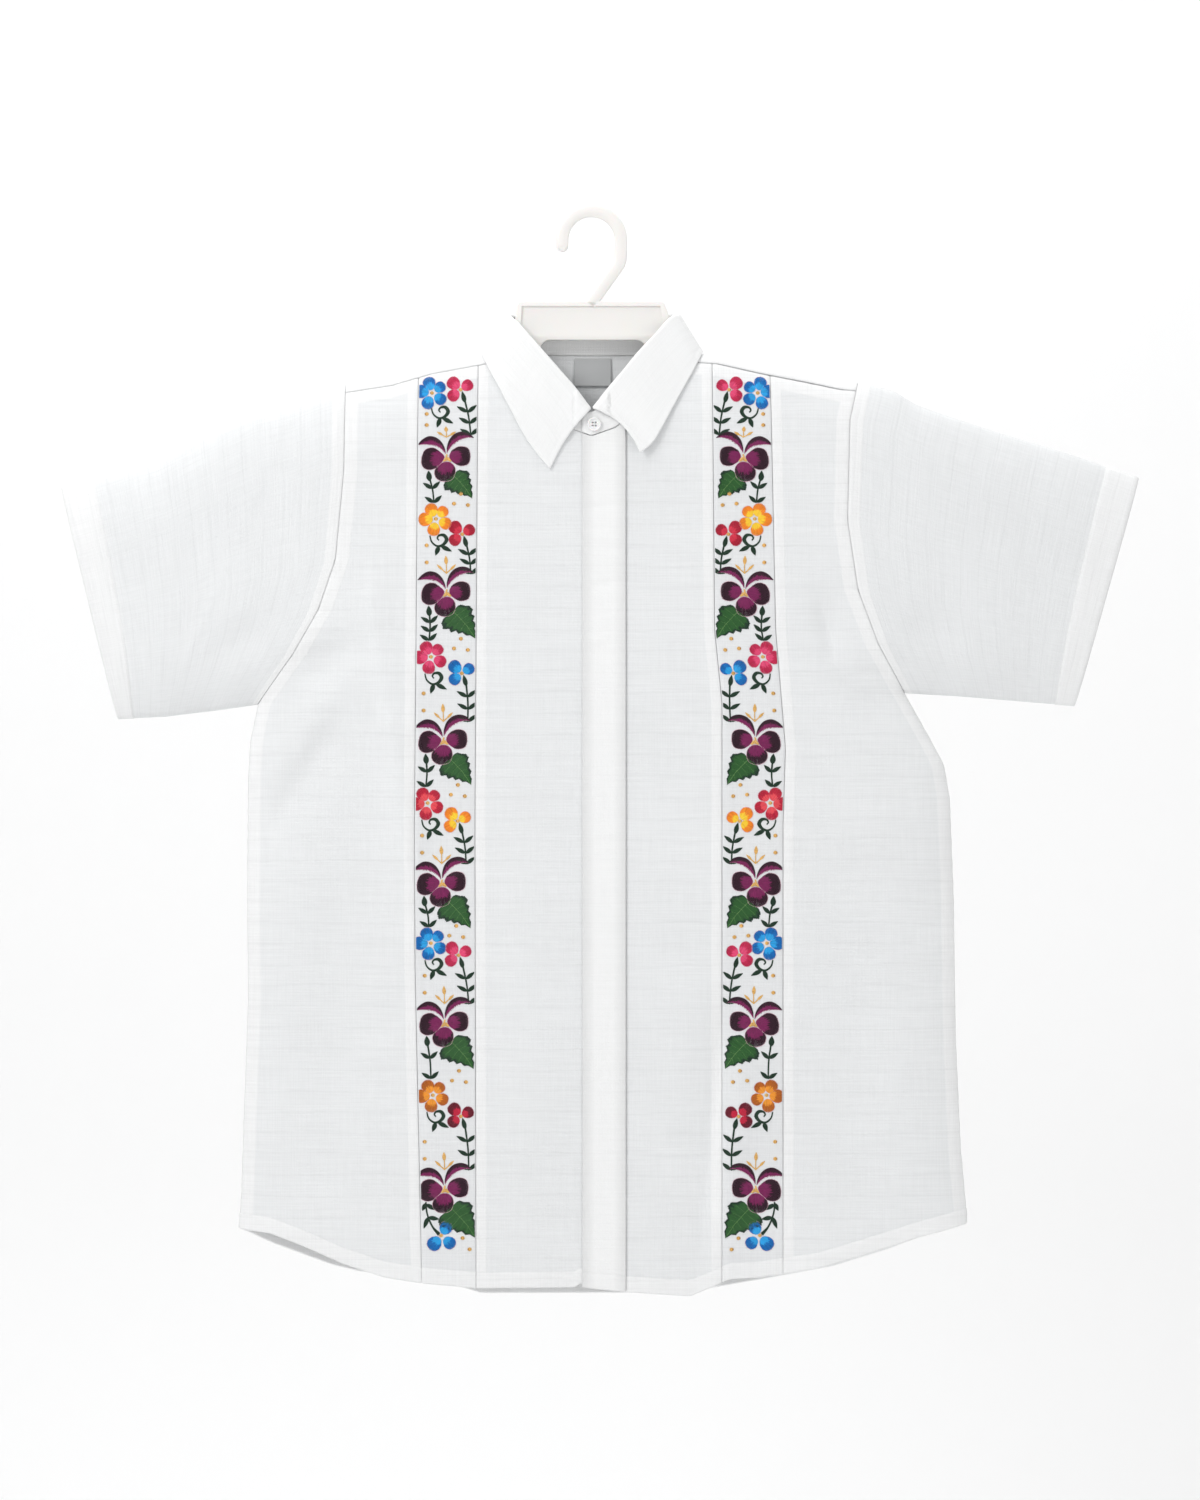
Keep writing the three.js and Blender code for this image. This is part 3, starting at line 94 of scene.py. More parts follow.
class Side(Enum):
    """The face of the flat garment that a point lies on."""

    FRONT = -1
    BACK = 1


class At(NamedTuple):
    """A place on the front view."""

    x: float
    z: float


class Fold(NamedTuple):
    """A soft ridge (positive height) or trough (negative) along a straight line."""

    side: Side
    x0: float
    z0: float
    x1: float
    z1: float
    width: float
    height: float


SHOULDER_LINE = (
    At(449.4, -214.9), At(392, -195), At(335.5, -178), At(290, -163), At(267, -155), At(249, -144),
    At(226.7, -136.9), At(205, -135.4), At(173.2, -128.9), At(137.4, -121.9), At(102.7, -114),
    At(88.7, -113.2), At(75, -111.8), At(68.2, -82), At(40, -66), At(0, -60), At(-40, -66),
    At(-65.3, -82), At(-75, -111.8), At(-87.7, -114.4), At(-130.9, -122.3), At(-164.7, -132.1),
    At(-202.1, -137.8), At(-221, -143), At(-247, -153), At(-277, -159.5), At(-320.5, -180),
    At(-358, -199), At(-435.3, -222.4),
)
RIGHT_LOWER_LINE = (
    At(-389.1, -412.1), At(-350.6, -410.4), At(-310, -405.5), At(-274.3, -400.6), At(-280.8, -432),
    At(-282.5, -463), At(-283.3, -561), At(-282.5, -643), At(-285.8, -733.5), At(-288.2, -807),
    At(-289.9, -831),
)
LEFT_LOWER_LINE = (
    At(308.7, -827), At(308.2, -814), At(303.8, -766), At(299.7, -676), At(298, -561), At(294.8, -479),
    At(290, -450.6), At(278, -428), At(257.4, -391.3), At(300, -393.5), At(343, -397), At(396.9, -401.4),
)
RIGHT_ARMPIT = At(-274.3, -400.6)
LEFT_ARMPIT = At(257.4, -391.3)
RIGHT_ARMHOLE = (
    At(-202.1, -120), At(-202.1, -137.8), At(-203, -209), At(-210, -282.5), At(-224, -323.5),
    At(-245, -360), At(-274.3, -400.6),
)
LEFT_ARMHOLE = (
    At(219, -120), At(219, -136.4), At(212, -168), At(210, -250), At(218.5, -307), At(235.5, -352),
    At(257.4, -391.3),
)
RIGHT_BAND_OUTER = (At(-142, -125), At(-145, -500), At(-144.5, -620), At(-139, -875))
RIGHT_BAND_INNER = (At(-93, -115), At(-95.5, -500), At(-94.7, -875))
LEFT_BAND_INNER = (At(99, -115), At(101, -340), At(107, -400), At(107, -875))
LEFT_BAND_OUTER = (At(146.5, -125), At(151, -340), At(159, -437), At(157, -500), At(157, -875))
FRONT_NECKLINE = (
    At(0, -181), At(20, -174), At(36, -161), At(50, -146.5), At(60, -134.5), At(69, -123.5),
    At(74, -116.5), At(76, -113.3),
)
BACK_NECKLINE = (At(0, -113.2), At(60, -113), At(72, -112.8), At(74, -112.6))
FRONT_HEM = (
    At(-290, -831), At(-264, -834), At(-237, -844), At(-203, -859), At(-169, -870), At(-137, -875),
    At(-91, -879), At(-8, -878), At(31, -882), At(81, -885.5), At(101, -877), At(113, -871),
    At(138, -870), At(186, -862.6), At(222, -852), At(264.5, -838.5), At(308.7, -827),
)
BACK_HEM = (
    At(-290, -831), At(-264, -844), At(-216, -862), At(-192, -868), At(-155, -873), At(-114, -879),
    At(-91, -886), At(60, -885.6), At(89, -883.6), At(138, -875), At(198, -864), At(246, -849),
    At(274, -838.5), At(308.7, -827),
)

BROAD_FOLDS = (
    Fold(Side.FRONT, -272, -500, -205, -405, 22, -5), Fold(Side.FRONT, -262, -470, -200, -375, 16, 3.5),
    Fold(Side.FRONT, -235, -375, -185, -355, 18, -4.5), Fold(Side.FRONT, -177, -305, -160, -420, 13, 3),
    Fold(Side.FRONT, -160, -420, -147, -600, 14, 4), Fold(Side.FRONT, 190, -320, 203, -380, 14, -4),
    Fold(Side.FRONT, 216, -390, 262, -430, 18, -4.5), Fold(Side.FRONT, 107, -655, 84, -885, 17, -4.5),
    Fold(Side.FRONT, 121, -700, 106, -885, 15, 4), Fold(Side.FRONT, -50, -560, -55, -885, 30, 2.5),
    Fold(Side.FRONT, 215, -560, 225, -860, 34, -3), Fold(Side.FRONT, -215, -600, -225, -860, 34, -3),
    Fold(Side.BACK, -268, -495, -190, -400, 22, -4), Fold(Side.BACK, 262, -480, 190, -395, 22, -4),
    Fold(Side.BACK, -105, -240, -120, -880, 30, 3.5), Fold(Side.BACK, 90, -230, 110, -880, 32, 3.5),
    Fold(Side.BACK, -10, -420, 5, -885, 34, -3.5), Fold(Side.FRONT, -300, -360, -262, -330, 16, -3.5),
    Fold(Side.FRONT, 290, -352, 250, -322, 16, -3.5), Fold(Side.BACK, -302, -360, -262, -325, 17, -3.5),
    Fold(Side.BACK, 292, -352, 250, -318, 17, -3.5),
)

FINE_CREASES = (
    Fold(Side.FRONT, -247, -153, -297, -280, 2.6, 0.9), Fold(Side.FRONT, -297, -280, -350, -408, 2.2, 0.8),
    Fold(Side.FRONT, 250, -144, 284, -240, 2.4, 0.9), Fold(Side.FRONT, 284, -240, 356, -398, 2.4, 0.9),
    Fold(Side.FRONT, -181, -305, -179, -336, 3.2, 1.1), Fold(Side.FRONT, -179, -336, -168, -393, 3.4, 1.2),
    Fold(Side.FRONT, -168, -393, -156, -474, 3.8, 1.3), Fold(Side.FRONT, -156, -474, -147, -560, 3.8, 1.2),
    Fold(Side.FRONT, -177, -339, -150, -342, 3.0, -0.8), Fold(Side.FRONT, -262, -500, -206, -408, 7, -1.3),
    Fold(Side.FRONT, -240, -362, -186, -350, 6, -1.2), Fold(Side.FRONT, 189, -323, 200, -371, 4.2, -1.3),
    Fold(Side.FRONT, 218, -392, 253, -407, 5, -1.2), Fold(Side.FRONT, 268, -420, 291, -470, 6, -1.0),
    Fold(Side.FRONT, 107, -656, 84, -880, 4.5, -1.6), Fold(Side.FRONT, 97, -700, 78, -884, 6, 1.2),
    Fold(Side.FRONT, -4, -240, 22, -237, 3.2, -0.6), Fold(Side.FRONT, -3, -262, 18, -266, 3.0, 0.6),
    Fold(Side.FRONT, 2, -304, 24, -300, 3.4, -0.6), Fold(Side.FRONT, -2, -349, 20, -345, 3.2, 0.5),
    Fold(Side.BACK, -262, -490, -196, -404, 7, -1.2), Fold(Side.BACK, 258, -476, 196, -398, 7, -1.2),
    Fold(Side.BACK, -100, -260, -112, -640, 6, 0.9), Fold(Side.BACK, 92, -250, 104, -700, 6, 0.9),
    Fold(Side.BACK, -247, -153, -350, -408, 2.6, 0.9), Fold(Side.BACK, 250, -144, 356, -398, 2.6, 0.9),
)


def x_on(rows: Sequence[At], z: Scalars) -> Scalars:
    """The x of a line of places, which run down the garment, at each height.

    Args:
        rows: Places from the top down.
        z: Heights.

    Returns:
        The x at each height.
    """
    return np.interp(-np.asarray(z, float), [-row.z for row in rows], [row.x for row in rows])


def z_on(rows: Sequence[At], x: Scalars) -> Scalars:
    """The height of a line of places, which run from low to high x, at each x.

    Args:
        rows: Places in the order of their x.
        x: Places across.

    Returns:
        The height at each x.
    """
    return np.interp(x, [row.x for row in rows], [row.z for row in rows])


def seam_x(rows: Sequence[At], z: Scalars, shift: float) -> Scalars:
    """The x of a seam at each height, moved sideways to leave the seam's gap.

    Args:
        rows: The seam from the top down.
        z: Heights.
        shift: Distance to move square to the seam.

    Returns:
        The moved x.
    """
    slope = (x_on(rows, z + 3) - x_on(rows, z - 3)) / 6
    return x_on(rows, z) + shift * np.hypot(1, slope)


def ridge_z(x: Scalars) -> Scalars:
    """The height of the shoulder's ridge at each x.

    Args:
        x: Places across.

    Returns:
        Heights.
    """
    return z_on(SHOULDER_LINE[::-1], x)


def seam_drop(x: Scalars) -> Scalars:
    """How far the shoulder seam lies under the ridge.

    Args:
        x: Places across.

    Returns:
        Drops, small at the neck point.
    """
    share = (np.abs(x) - NECK_X) / (WRAP_START_X - NECK_X)
    return NECK_SEAM_DROP + (SHOULDER_SEAM_DROP - NECK_SEAM_DROP) * np.clip(share, 0, 1)


def front_top(x: Scalars) -> Scalars:
    """The top edge of the front: the shoulder seam, or the neckline between the neck points.

    Args:
        x: Places across.

    Returns:
        Heights.
    """
    shoulder = ridge_z(x) - seam_drop(x) - SEAM_GAP
    return np.where(np.abs(x) >= NECK_X, shoulder, z_on(FRONT_NECKLINE, np.abs(x)))


def body_side(armhole: Sequence[At], below: Sequence[At], armpit: At, shift: float) -> LineOf:
    """The side of the body: the armhole above the armpit and the side seam below it.

    Args:
        armhole: Armhole seam from the top down.
        below: Side seam from the armpit down.
        armpit: The armpit's corner.
        shift: Half of the seam's gap, with its sign.

    Returns:
        A function from height to x.
    """

    def line(z: Scalars) -> Scalars:
        z = np.asarray(z, float)
        above = seam_x(armhole, np.maximum(z, armpit.z + ARMPIT_CORNER), shift)
        share = np.clip((z - armpit.z) / ARMPIT_CORNER, 0, 1)
        under = x_on(below, z) + shift * np.exp(np.minimum(0, z - armpit.z) / ARMPIT_CORNER)
        return np.where(z > armpit.z, (1 - share) * (armpit.x + shift) + share * above, under)

    return line


right_body_side = body_side(RIGHT_ARMHOLE, RIGHT_LOWER_LINE[3:], RIGHT_ARMPIT, SEAM_GAP / 2)
left_body_side = body_side(LEFT_ARMHOLE, LEFT_LOWER_LINE[8::-1], LEFT_ARMPIT, -SEAM_GAP / 2)


class Cloth:
    """The hanging cloth as a height field over the front view: outline, folds, creases and slight waves."""

    def __init__(self) -> None:
        """Prepares the outline's segments with their averaged inward directions."""
        starts, ends, start_normals, end_normals = [], [], [], []
        for chain in (SHOULDER_LINE, RIGHT_LOWER_LINE, LEFT_LOWER_LINE):
            rows = np.array(chain, float)
            along = np.diff(rows, axis=0)
            square = np.stack([-along[:, 1], along[:, 0]], axis=1)
            square /= np.linalg.norm(square, axis=1, keepdims=True)
            corners = np.vstack([square[:1], square[:-1] + square[1:], square[-1:]])
            corners /= np.linalg.norm(corners, axis=1, keepdims=True)
            starts.append(rows[:-1])
            ends.append(rows[1:])
            start_normals.append(corners[:-1])
            end_normals.append(corners[1:])
        self.start = np.vstack(starts)
        self.run = np.vstack(ends) - self.start
        self.start_normal = np.vstack(start_normals)
        self.end_normal = np.vstack(end_normals)

    def nearest_edge(self, x: Scalars, z: Scalars) -> tuple[Scalars, Scalars]:
        """Distance from the nearest edge of the garment, and the direction away from it.

        Args:
            x: Places across, flat array.
            z: Heights, flat array.

        Returns:
            Distances, and inward directions as an array of (x, z) pairs.
        """
        here = np.stack([x, z], axis=1)
        apart = here[:, None, :] - self.start[None]
        share = np.clip((apart * self.run).sum(2) / (self.run**2).sum(1), 0, 1)
        away = apart - share[..., None] * self.run
        length = np.linalg.norm(away, axis=2)
        best = length.argmin(axis=1)
        rows = np.arange(len(x))
        away, distance, share = away[rows, best], length[rows, best], share[rows, best][:, None]
        normal = (1 - share) * self.start_normal[best] + share * self.end_normal[best]
        normal /= np.linalg.norm(normal, axis=1, keepdims=True)
        outside = ((away * normal).sum(1) < 0) & (distance < EDGE_ROUNDING)
        inward = away + 2 * normal
        inward /= np.linalg.norm(inward, axis=1, keepdims=True)
        inward[outside] = normal[outside]
        return np.where(outside, 0, distance), inward

    @staticmethod
    def fold_height(x: Scalars, z: Scalars, side: Side) -> Scalars:
        """Height of folds, creases and waves above the plain cloth, outward.

        Args:
            x: Places across.
            z: Heights.
            side: Front or back.

        Returns:
            Heights.
        """
        height = np.zeros_like(x)
        for fold in (*BROAD_FOLDS, *FINE_CREASES):
            if fold.side is not side:
                continue
            dx, dz = fold.x1 - fold.x0, fold.z1 - fold.z0
            share = np.clip(((x - fold.x0) * dx + (z - fold.z0) * dz) / (dx * dx + dz * dz), 0, 1)
            off = np.hypot(x - fold.x0 - share * dx, z - fold.z0 - share * dz) / fold.width
            fade = 0.35 + 0.65 * np.sin(np.pi * np.minimum(1, 0.15 + share))
            height += fold.height * fade * np.exp(-off * off)
        phase = 1.7 * side.value
        height += 0.5 * np.sin(x / 31 + 0.35 * np.sin(z / 57) + phase) * np.sin(z / 143 + phase)
        height += 0.35 * np.sin(z / 26 + x / 71 + 2.1 * phase) * np.sin(x / 88 - 0.4 * phase)
        height += 0.16 * np.sin(x / 8.7 + z / 37 + phase) * np.sin(z / 61 + x / 43)
        return height

    def points(
        self, x: Scalars, z: Scalars, side: Side, lift: float | Scalars = 0.0, least: float = SEAM_GAP / 2
    ) -> tuple[np.ndarray, np.ndarray]:
        """Points of the cloth's middle surface, moved out by a lift, and their outward normals.

        Args:
            x: Places across, any shape.
            z: Heights, the same shape.
            side: Front or back.
            lift: Distance out along the normals.
            least: Smallest distance from the middle plane.

        Returns:
            Points and normals, shape (..., 3).
        """
        x, z = np.broadcast_arrays(np.asarray(x, float), np.asarray(z, float))
        shape = x.shape
        x, z = x.ravel(), z.ravel()
        distance, inward = self.nearest_edge(x, z)
        inside = np.minimum(distance / EDGE_ROUNDING, 1)
        rise = np.sqrt(np.maximum(0, 1 - (1 - inside) ** 2))
        out = np.clip((np.abs(x) - SLEEVE_START_X) / (CUFF_X - SLEEVE_START_X), 0, 1)
        full = BODY_HALF_DEPTH + (CUFF_HALF_DEPTH - BODY_HALF_DEPTH) * out
        slope = (full / EDGE_ROUNDING) * (1 - inside) / np.maximum(rise, 1e-5)
        step = 1.5
        fold_x = (self.fold_height(x + step, z, side) - self.fold_height(x - step, z, side)) / (2 * step)
        fold_z = (self.fold_height(x, z + step, side) - self.fold_height(x, z - step, side)) / (2 * step)
        depth = np.maximum(full * rise + self.fold_height(x, z, side) * rise**2, least)
        normal = np.stack(
            [
                -inward[:, 0] * slope - fold_x * rise**2,
                np.full_like(x, side.value),
                -inward[:, 1] * slope - fold_z * rise**2,
            ],
            axis=1,
        )
        normal /= np.linalg.norm(normal, axis=1, keepdims=True)
        point = np.stack([x, side.value * depth, z], axis=1)
        point += normal * np.broadcast_to(np.asarray(lift, float), shape).reshape(-1, 1)
        return point.reshape(*shape, 3), normal.reshape(*shape, 3)


CLOTH = Cloth()


class EdgeKind(Enum):
    """How an edge of a cloth piece ends."""

    FREE = "folded and rounded"
    SEAM = "sewn to its neighbour"


@dataclass
class Grid:
    """A cloth piece as rows and columns of points.

    Attributes:
        points: Middle surface, (rows, columns, 3), millimetres.
        normals: Outward normals, same shape.
        wall: Wall thickness, (rows, columns).
        weave: Cloth coordinates in metres, (rows, columns, 2).
        strip: Distances from the edges in strip widths, (rows, columns, 3).
        ring: Whether the columns close into a ring.
        edges: Kind of the top, bottom, left and right edge.
    """

    points: np.ndarray
    normals: np.ndarray
    wall: np.ndarray
    weave: np.ndarray
    strip: np.ndarray
    ring: bool = False
    edges: tuple[EdgeKind, EdgeKind, EdgeKind, EdgeKind] = (EdgeKind.FREE,) * 4


class Shell:
    """Turns a grid into a closed, thin-walled mesh with softly rounded free edges."""

    BULGE = 0.42

    def __init__(self, grid: Grid) -> None:
        """Keeps the grid.

        Args:
            grid: The cloth piece.
        """
        self.grid = grid
        self.rows, self.columns = grid.wall.shape

    def _borders(self) -> list[list[tuple[int, int, int, int]]]:
        """Border loops as (row, column, inner row, inner column), in order round the piece."""
        last_row, last_column = self.rows - 1, self.columns - 1
        top = [(0, c, 1, c) for c in range(self.columns)]
        bottom = [(last_row, c, last_row - 1, c) for c in range(last_column, -1, -1)]
        if self.grid.ring:
            return [top, bottom]
        right = [(r, last_column, r, last_column - 1) for r in range(1, last_row)]
        left = [(r, 0, r, 1) for r in range(last_row - 1, 0, -1)]
        return [top + right + bottom + left]

    def _kind(self, row: int, column: int) -> EdgeKind:
        """The kind of edge that a border point lies on.

        Args:
            row: Row of the point.
            column: Column of the point.

        Returns:
            SEAM if any of its edges is sewn.
        """
        top, bottom, left, right = self.grid.edges
        on = [top] * (row == 0) + [bottom] * (row == self.rows - 1)
        if not self.grid.ring:
            on += [left] * (column == 0) + [right] * (column == self.columns - 1)
        return EdgeKind.SEAM if EdgeKind.SEAM in on else EdgeKind.FREE

    def build(self, name: str, material: bpy.types.Material) -> bpy.types.Object:
        """Makes the mesh object.

        Args:
            name: Name of the object.
            material: Its material.

        Returns:
            The object, at the origin.
        """
        grid = self.grid
        half = grid.normals * grid.wall[..., None] / 2
        outer = (grid.points + half).reshape(-1, 3)
        inner = (grid.points - half).reshape(-1, 3)
        count = self.rows * self.columns
        index = np.arange(count).reshape(self.rows, self.columns)
        if grid.ring:
            index = np.hstack([index, index[:, :1]])
        a, b = index[:-1, :-1].ravel(), index[1:, :-1].ravel()
        c, d = index[1:, 1:].ravel(), index[:-1, 1:].ravel()
        quads = [np.stack([a, b, c, d], axis=1), np.stack([a, d, c, b], axis=1) + count]
        middle, sources, total = [], [], 2 * count
        for border in self._borders():
            ids = []
            for row, column, inner_row, inner_column in border:
                out = grid.points[row, column] - grid.points[inner_row, inner_column]
                out /= max(np.linalg.norm(out), 1e-9)
                bulge = self.BULGE * grid.wall[row, column] * (self._kind(row, column) is EdgeKind.FREE)
                middle.append(grid.points[row, column] + out * bulge)
                sources.append(row * self.columns + column)
                ids.append((sources[-1], total))
                total += 1
            outs = np.array([i for i, _ in ids])
            mids = np.array([m for _, m in ids])
            next_out, next_mid = np.roll(outs, -1), np.roll(mids, -1)
            quads.append(np.stack([outs, next_out, next_mid, mids], axis=1))
            quads.append(np.stack([mids, next_mid, next_out + count, outs + count], axis=1))
        vertices = np.vstack([outer, inner, np.array(middle)]) * MM
        faces = np.vstack(quads)
        corners = vertices[faces]
        volume = np.einsum("ij,ij->i", corners[:, 0], np.cross(corners[:, 1], corners[:, 2])).sum()
        volume += np.einsum("ij,ij->i", corners[:, 0], np.cross(corners[:, 2], corners[:, 3])).sum()
        if volume < 0:
            faces = faces[:, ::-1]
        piece = mesh_object(name, vertices, faces, material)
        source = np.concatenate([np.arange(count), np.arange(count), np.array(sources)])
        weave = grid.weave.reshape(-1, 2)[source]
        layer = piece.data.uv_layers.new(name="weave")
        layer.data.foreach_set("uv", weave[faces.ravel()].astype(np.float32).ravel())
        strip = piece.data.attributes.new("strip", "FLOAT_VECTOR", "POINT")
        strip.data.foreach_set("vector", grid.strip.reshape(-1, 3)[source].astype(np.float32).ravel())
        return piece


def mesh_object(
    name: str, vertices: np.ndarray, faces: Sequence, material: bpy.types.Material | None, smooth: bool = True
) -> bpy.types.Object:
    """Makes a mesh object in the scene.

    Args:
        name: Name of the object.
        vertices: Points in metres.
        faces: Vertex numbers of each face.
        material: Its material, or None.
        smooth: Whether its faces are shaded smooth.

    Returns:
        The object.
    """
    mesh = bpy.data.meshes.new(name)
    mesh.from_pydata(np.asarray(vertices).tolist(), [], np.asarray(faces).tolist())
    mesh.polygons.foreach_set("use_smooth", [smooth] * len(mesh.polygons))
    if material is not None:
        mesh.materials.append(material)
    piece = bpy.data.objects.new(name, mesh)
    bpy.context.scene.collection.objects.link(piece)
    return piece


def spaced(length: float, step: float, near: Sequence[float] = (0.5, 1.3, 2.8)) -> np.ndarray:
    """Places along a length, close together near both ends.

    Args:
        length: The whole length.
        step: Spacing in the middle.
        near: Distances of the close places from each end.

    Returns:
        Shares from 0 to 1.
    """
    near = [d for d in near if d < length / 3]
    start = near[-1]
    count = max(2, round((length - 2 * start) / step))
    middle = np.linspace(start, length - start, count + 1)
    places = np.concatenate([[0], near[:-1], middle, [length - d for d in near[-2::-1]], [length]])
    return places / length


def settle(place: Callable[[Scalars], Scalars], start: Scalars) -> Scalars:
    """Repeats a rule until its value settles.

    Args:
        place: The rule.
        start: First values.

    Returns:
        Settled values.
    """
    for _ in range(8):
        start = place(start)
    return start


def sewn(points: np.ndarray, normals: np.ndarray, distance: Scalars, along: Scalars) -> np.ndarray:
    """Sinks the cloth into a seam and puckers it a little beside it.

    Args:
        points: Points of the cloth.
        normals: Their normals.
        distance: Distance of each point from the seam.
        along: Place of each point along the seam.

    Returns:
        The moved points.
    """
    groove = -GROOVE_DEPTH * np.exp(-((distance / GROOVE_WIDTH) ** 2))
    uneven = 0.6 + 0.4 * np.sin(along / 41 + 1.3)
    wave = np.sin(along / 2.3 + 1.4 * np.sin(along / 13))
    pucker = PUCKER_HEIGHT * uneven * wave * np.exp(-((distance / PUCKER_REACH) ** 2))
    return points + normals * (groove + pucker * (distance < 30))[..., None]


def along_line(points: np.ndarray, share: Scalars) -> np.ndarray:
    """Places along a line by share of its length.

    Args:
        points: The line's points, (count, 2).
        share: Shares from 0 to 1.

    Returns:
        Places, with x and z last.
    """
    lengths = np.concatenate([[0], np.cumsum(np.linalg.norm(np.diff(points, axis=0), axis=1))])
    at = np.asarray(share) * lengths[-1]
    return np.stack([np.interp(at, lengths, points[:, k]) for k in range(2)], axis=-1)


@dataclass(frozen=True)
class Panel:
    """One front panel between two seam lines.

    Attributes:
        name: CAD node it stands for.
        left: x of its left edge at each height.
        right: x of its right edge at each height.
        strips: Widths of the doubled strips at its left and right edge.
        kinds: Kinds of its left and right edge.
        lift: Distance out from the body's surface.
        top: Height of its top edge at each x.
        bottom: Height of its bottom edge at each x.
        wall: Wall thickness, and the hem's.
        step: Spacing of its points.
    """

    name: str
    left: LineOf
    right: LineOf
    strips: tuple[float, float]
    kinds: tuple[EdgeKind, EdgeKind] = (EdgeKind.SEAM, EdgeKind.SEAM)
    lift: float = 0.0
    top: LineOf = front_top
    bottom: LineOf = lambda x: z_on(FRONT_HEM, x)
    wall: tuple[float, float] = (CLOTH_WALL, HEM_WALL)
    step: float = 4.2

    def grid(self) -> Grid:
        """Lays the panel's points out.

        Returns:
            The panel's grid.
        """
        chest = np.full((1, 1), CHEST_Z)
        width = (self.right(chest) - self.left(chest)).item()
        across = spaced(width, self.step)[None, :]
        rows = spaced(PANEL_LENGTH, self.step)
        body = np.append(rows, np.ones(len(HEM_ROWS)))[:, None]
        hem_rows = np.append(np.zeros(len(rows)), HEM_ROWS)[:, None]

        def heights(x: Scalars) -> Scalars:
            top, low = self.top(x), self.bottom(x)
            return top + (low + HEM_BAND - top) * body - HEM_BAND * hem_rows

        def sideways(x: Scalars) -> Scalars:
            z = heights(x)
            return self.left(z) * (1 - across) + self.right(z) * across

        first = self.left(chest) * (1 - across) + self.right(chest) * across
        x = settle(sideways, np.broadcast_to(first, (len(body), across.shape[1])))
        z = heights(x)
        points, normals = CLOTH.points(x, z, Side.FRONT, self.lift)
        from_left, from_right = x - self.left(z), self.right(z) - x
        from_top, from_hem = self.top(x) - z, z - self.bottom(x)
        for distance, kind, place in ((from_left, self.kinds[0], z), (from_right, self.kinds[1], z)):
            if kind is EdgeKind.SEAM:
                points = sewn(points, normals, distance, place)
        points = sewn(points, normals, np.where(np.abs(x) > NECK_X, from_top, FAR), x)
        points = sewn(points, normals, HEM_STITCH_SOFTNESS + np.abs(from_hem - HEM_BAND), x)
        wall = np.where(hem_rows > 0, self.wall[1], self.wall[0]) * np.ones_like(x)
        strips = [distance / max(broad, 0.01) for distance, broad in zip((from_left, from_right), self.strips)]
        shoulder = np.where(np.abs(x) > NECK_X, from_top / SHOULDER_STRIP, NO_STRIP)
        strip = np.stack([np.minimum(*strips), from_hem / HEM_BAND, shoulder], axis=2)
        weave = np.stack([x, z], axis=2) * MM
        edges = (EdgeKind.SEAM, EdgeKind.FREE, *self.kinds)
        return Grid(points, normals, wall, weave, strip, edges=edges)


def band(rows: Sequence[At], shift: float) -> LineOf:
    """An edge along one of the bands' seams.

    Args:
        rows: The seam.
        shift: Half of the seam's gap, with its sign.

    Returns:
        A function from height to x.
    """
    return lambda z: seam_x(rows, np.asarray(z, float), shift)


def level(x: float) -> LineOf:
    """An upright edge.

    Args:
        x: Its place across.

    Returns:
        A function from height to x.
    """
    return lambda z: np.full_like(np.asarray(z, float), x)


def underlap_hem(x: Scalars) -> Scalars:
    """The bottom edge of the right centre front, shorter where it lies under the placket.

    Args:
        x: Places across.

    Returns:
        Heights.
    """
    share = np.clip((x + 14) / 6, 0, 1)
    return z_on(FRONT_HEM, x) + 3 * share * share * (3 - 2 * share)


PANELS = (
    Panel("front_side_right", right_body_side, band(RIGHT_BAND_OUTER, -SEAM_GAP / 2), (SIDE_STRIP, BAND_STRIP)),
    Panel("front_band_right", band(RIGHT_BAND_OUTER, SEAM_GAP / 2), band(RIGHT_BAND_INNER, -SEAM_GAP / 2), (0, 0)),
    Panel(
        "front_centre_right", band(RIGHT_BAND_INNER, SEAM_GAP / 2), level(UNDERLAP_X), (BAND_STRIP, 0),
        kinds=(EdgeKind.SEAM, EdgeKind.FREE), bottom=underlap_hem, wall=(CLOTH_WALL, CLOTH_WALL),
    ),
    Panel("front_centre_left", level(PLACKET_RIGHT_X), band(LEFT_BAND_INNER, -SEAM_GAP / 2), (0, BAND_STRIP)),
    Panel("front_band_left", band(LEFT_BAND_INNER, SEAM_GAP / 2), band(LEFT_BAND_OUTER, -SEAM_GAP / 2), (0, 0)),
    Panel("front_side_left", band(LEFT_BAND_OUTER, SEAM_GAP / 2), left_body_side, (BAND_STRIP, SIDE_STRIP)),
)
PLACKET = Panel(
    "placket", level(PLACKET_LEFT_X), level(PLACKET_RIGHT_X - SEAM_GAP), (FAR, FAR),
    kinds=(EdgeKind.FREE, EdgeKind.FREE), lift=PLACKET_LIFT, top=lambda x: front_top(x) - SEAM_GAP,
    wall=(1.5, 1.5), step=2.6,
)


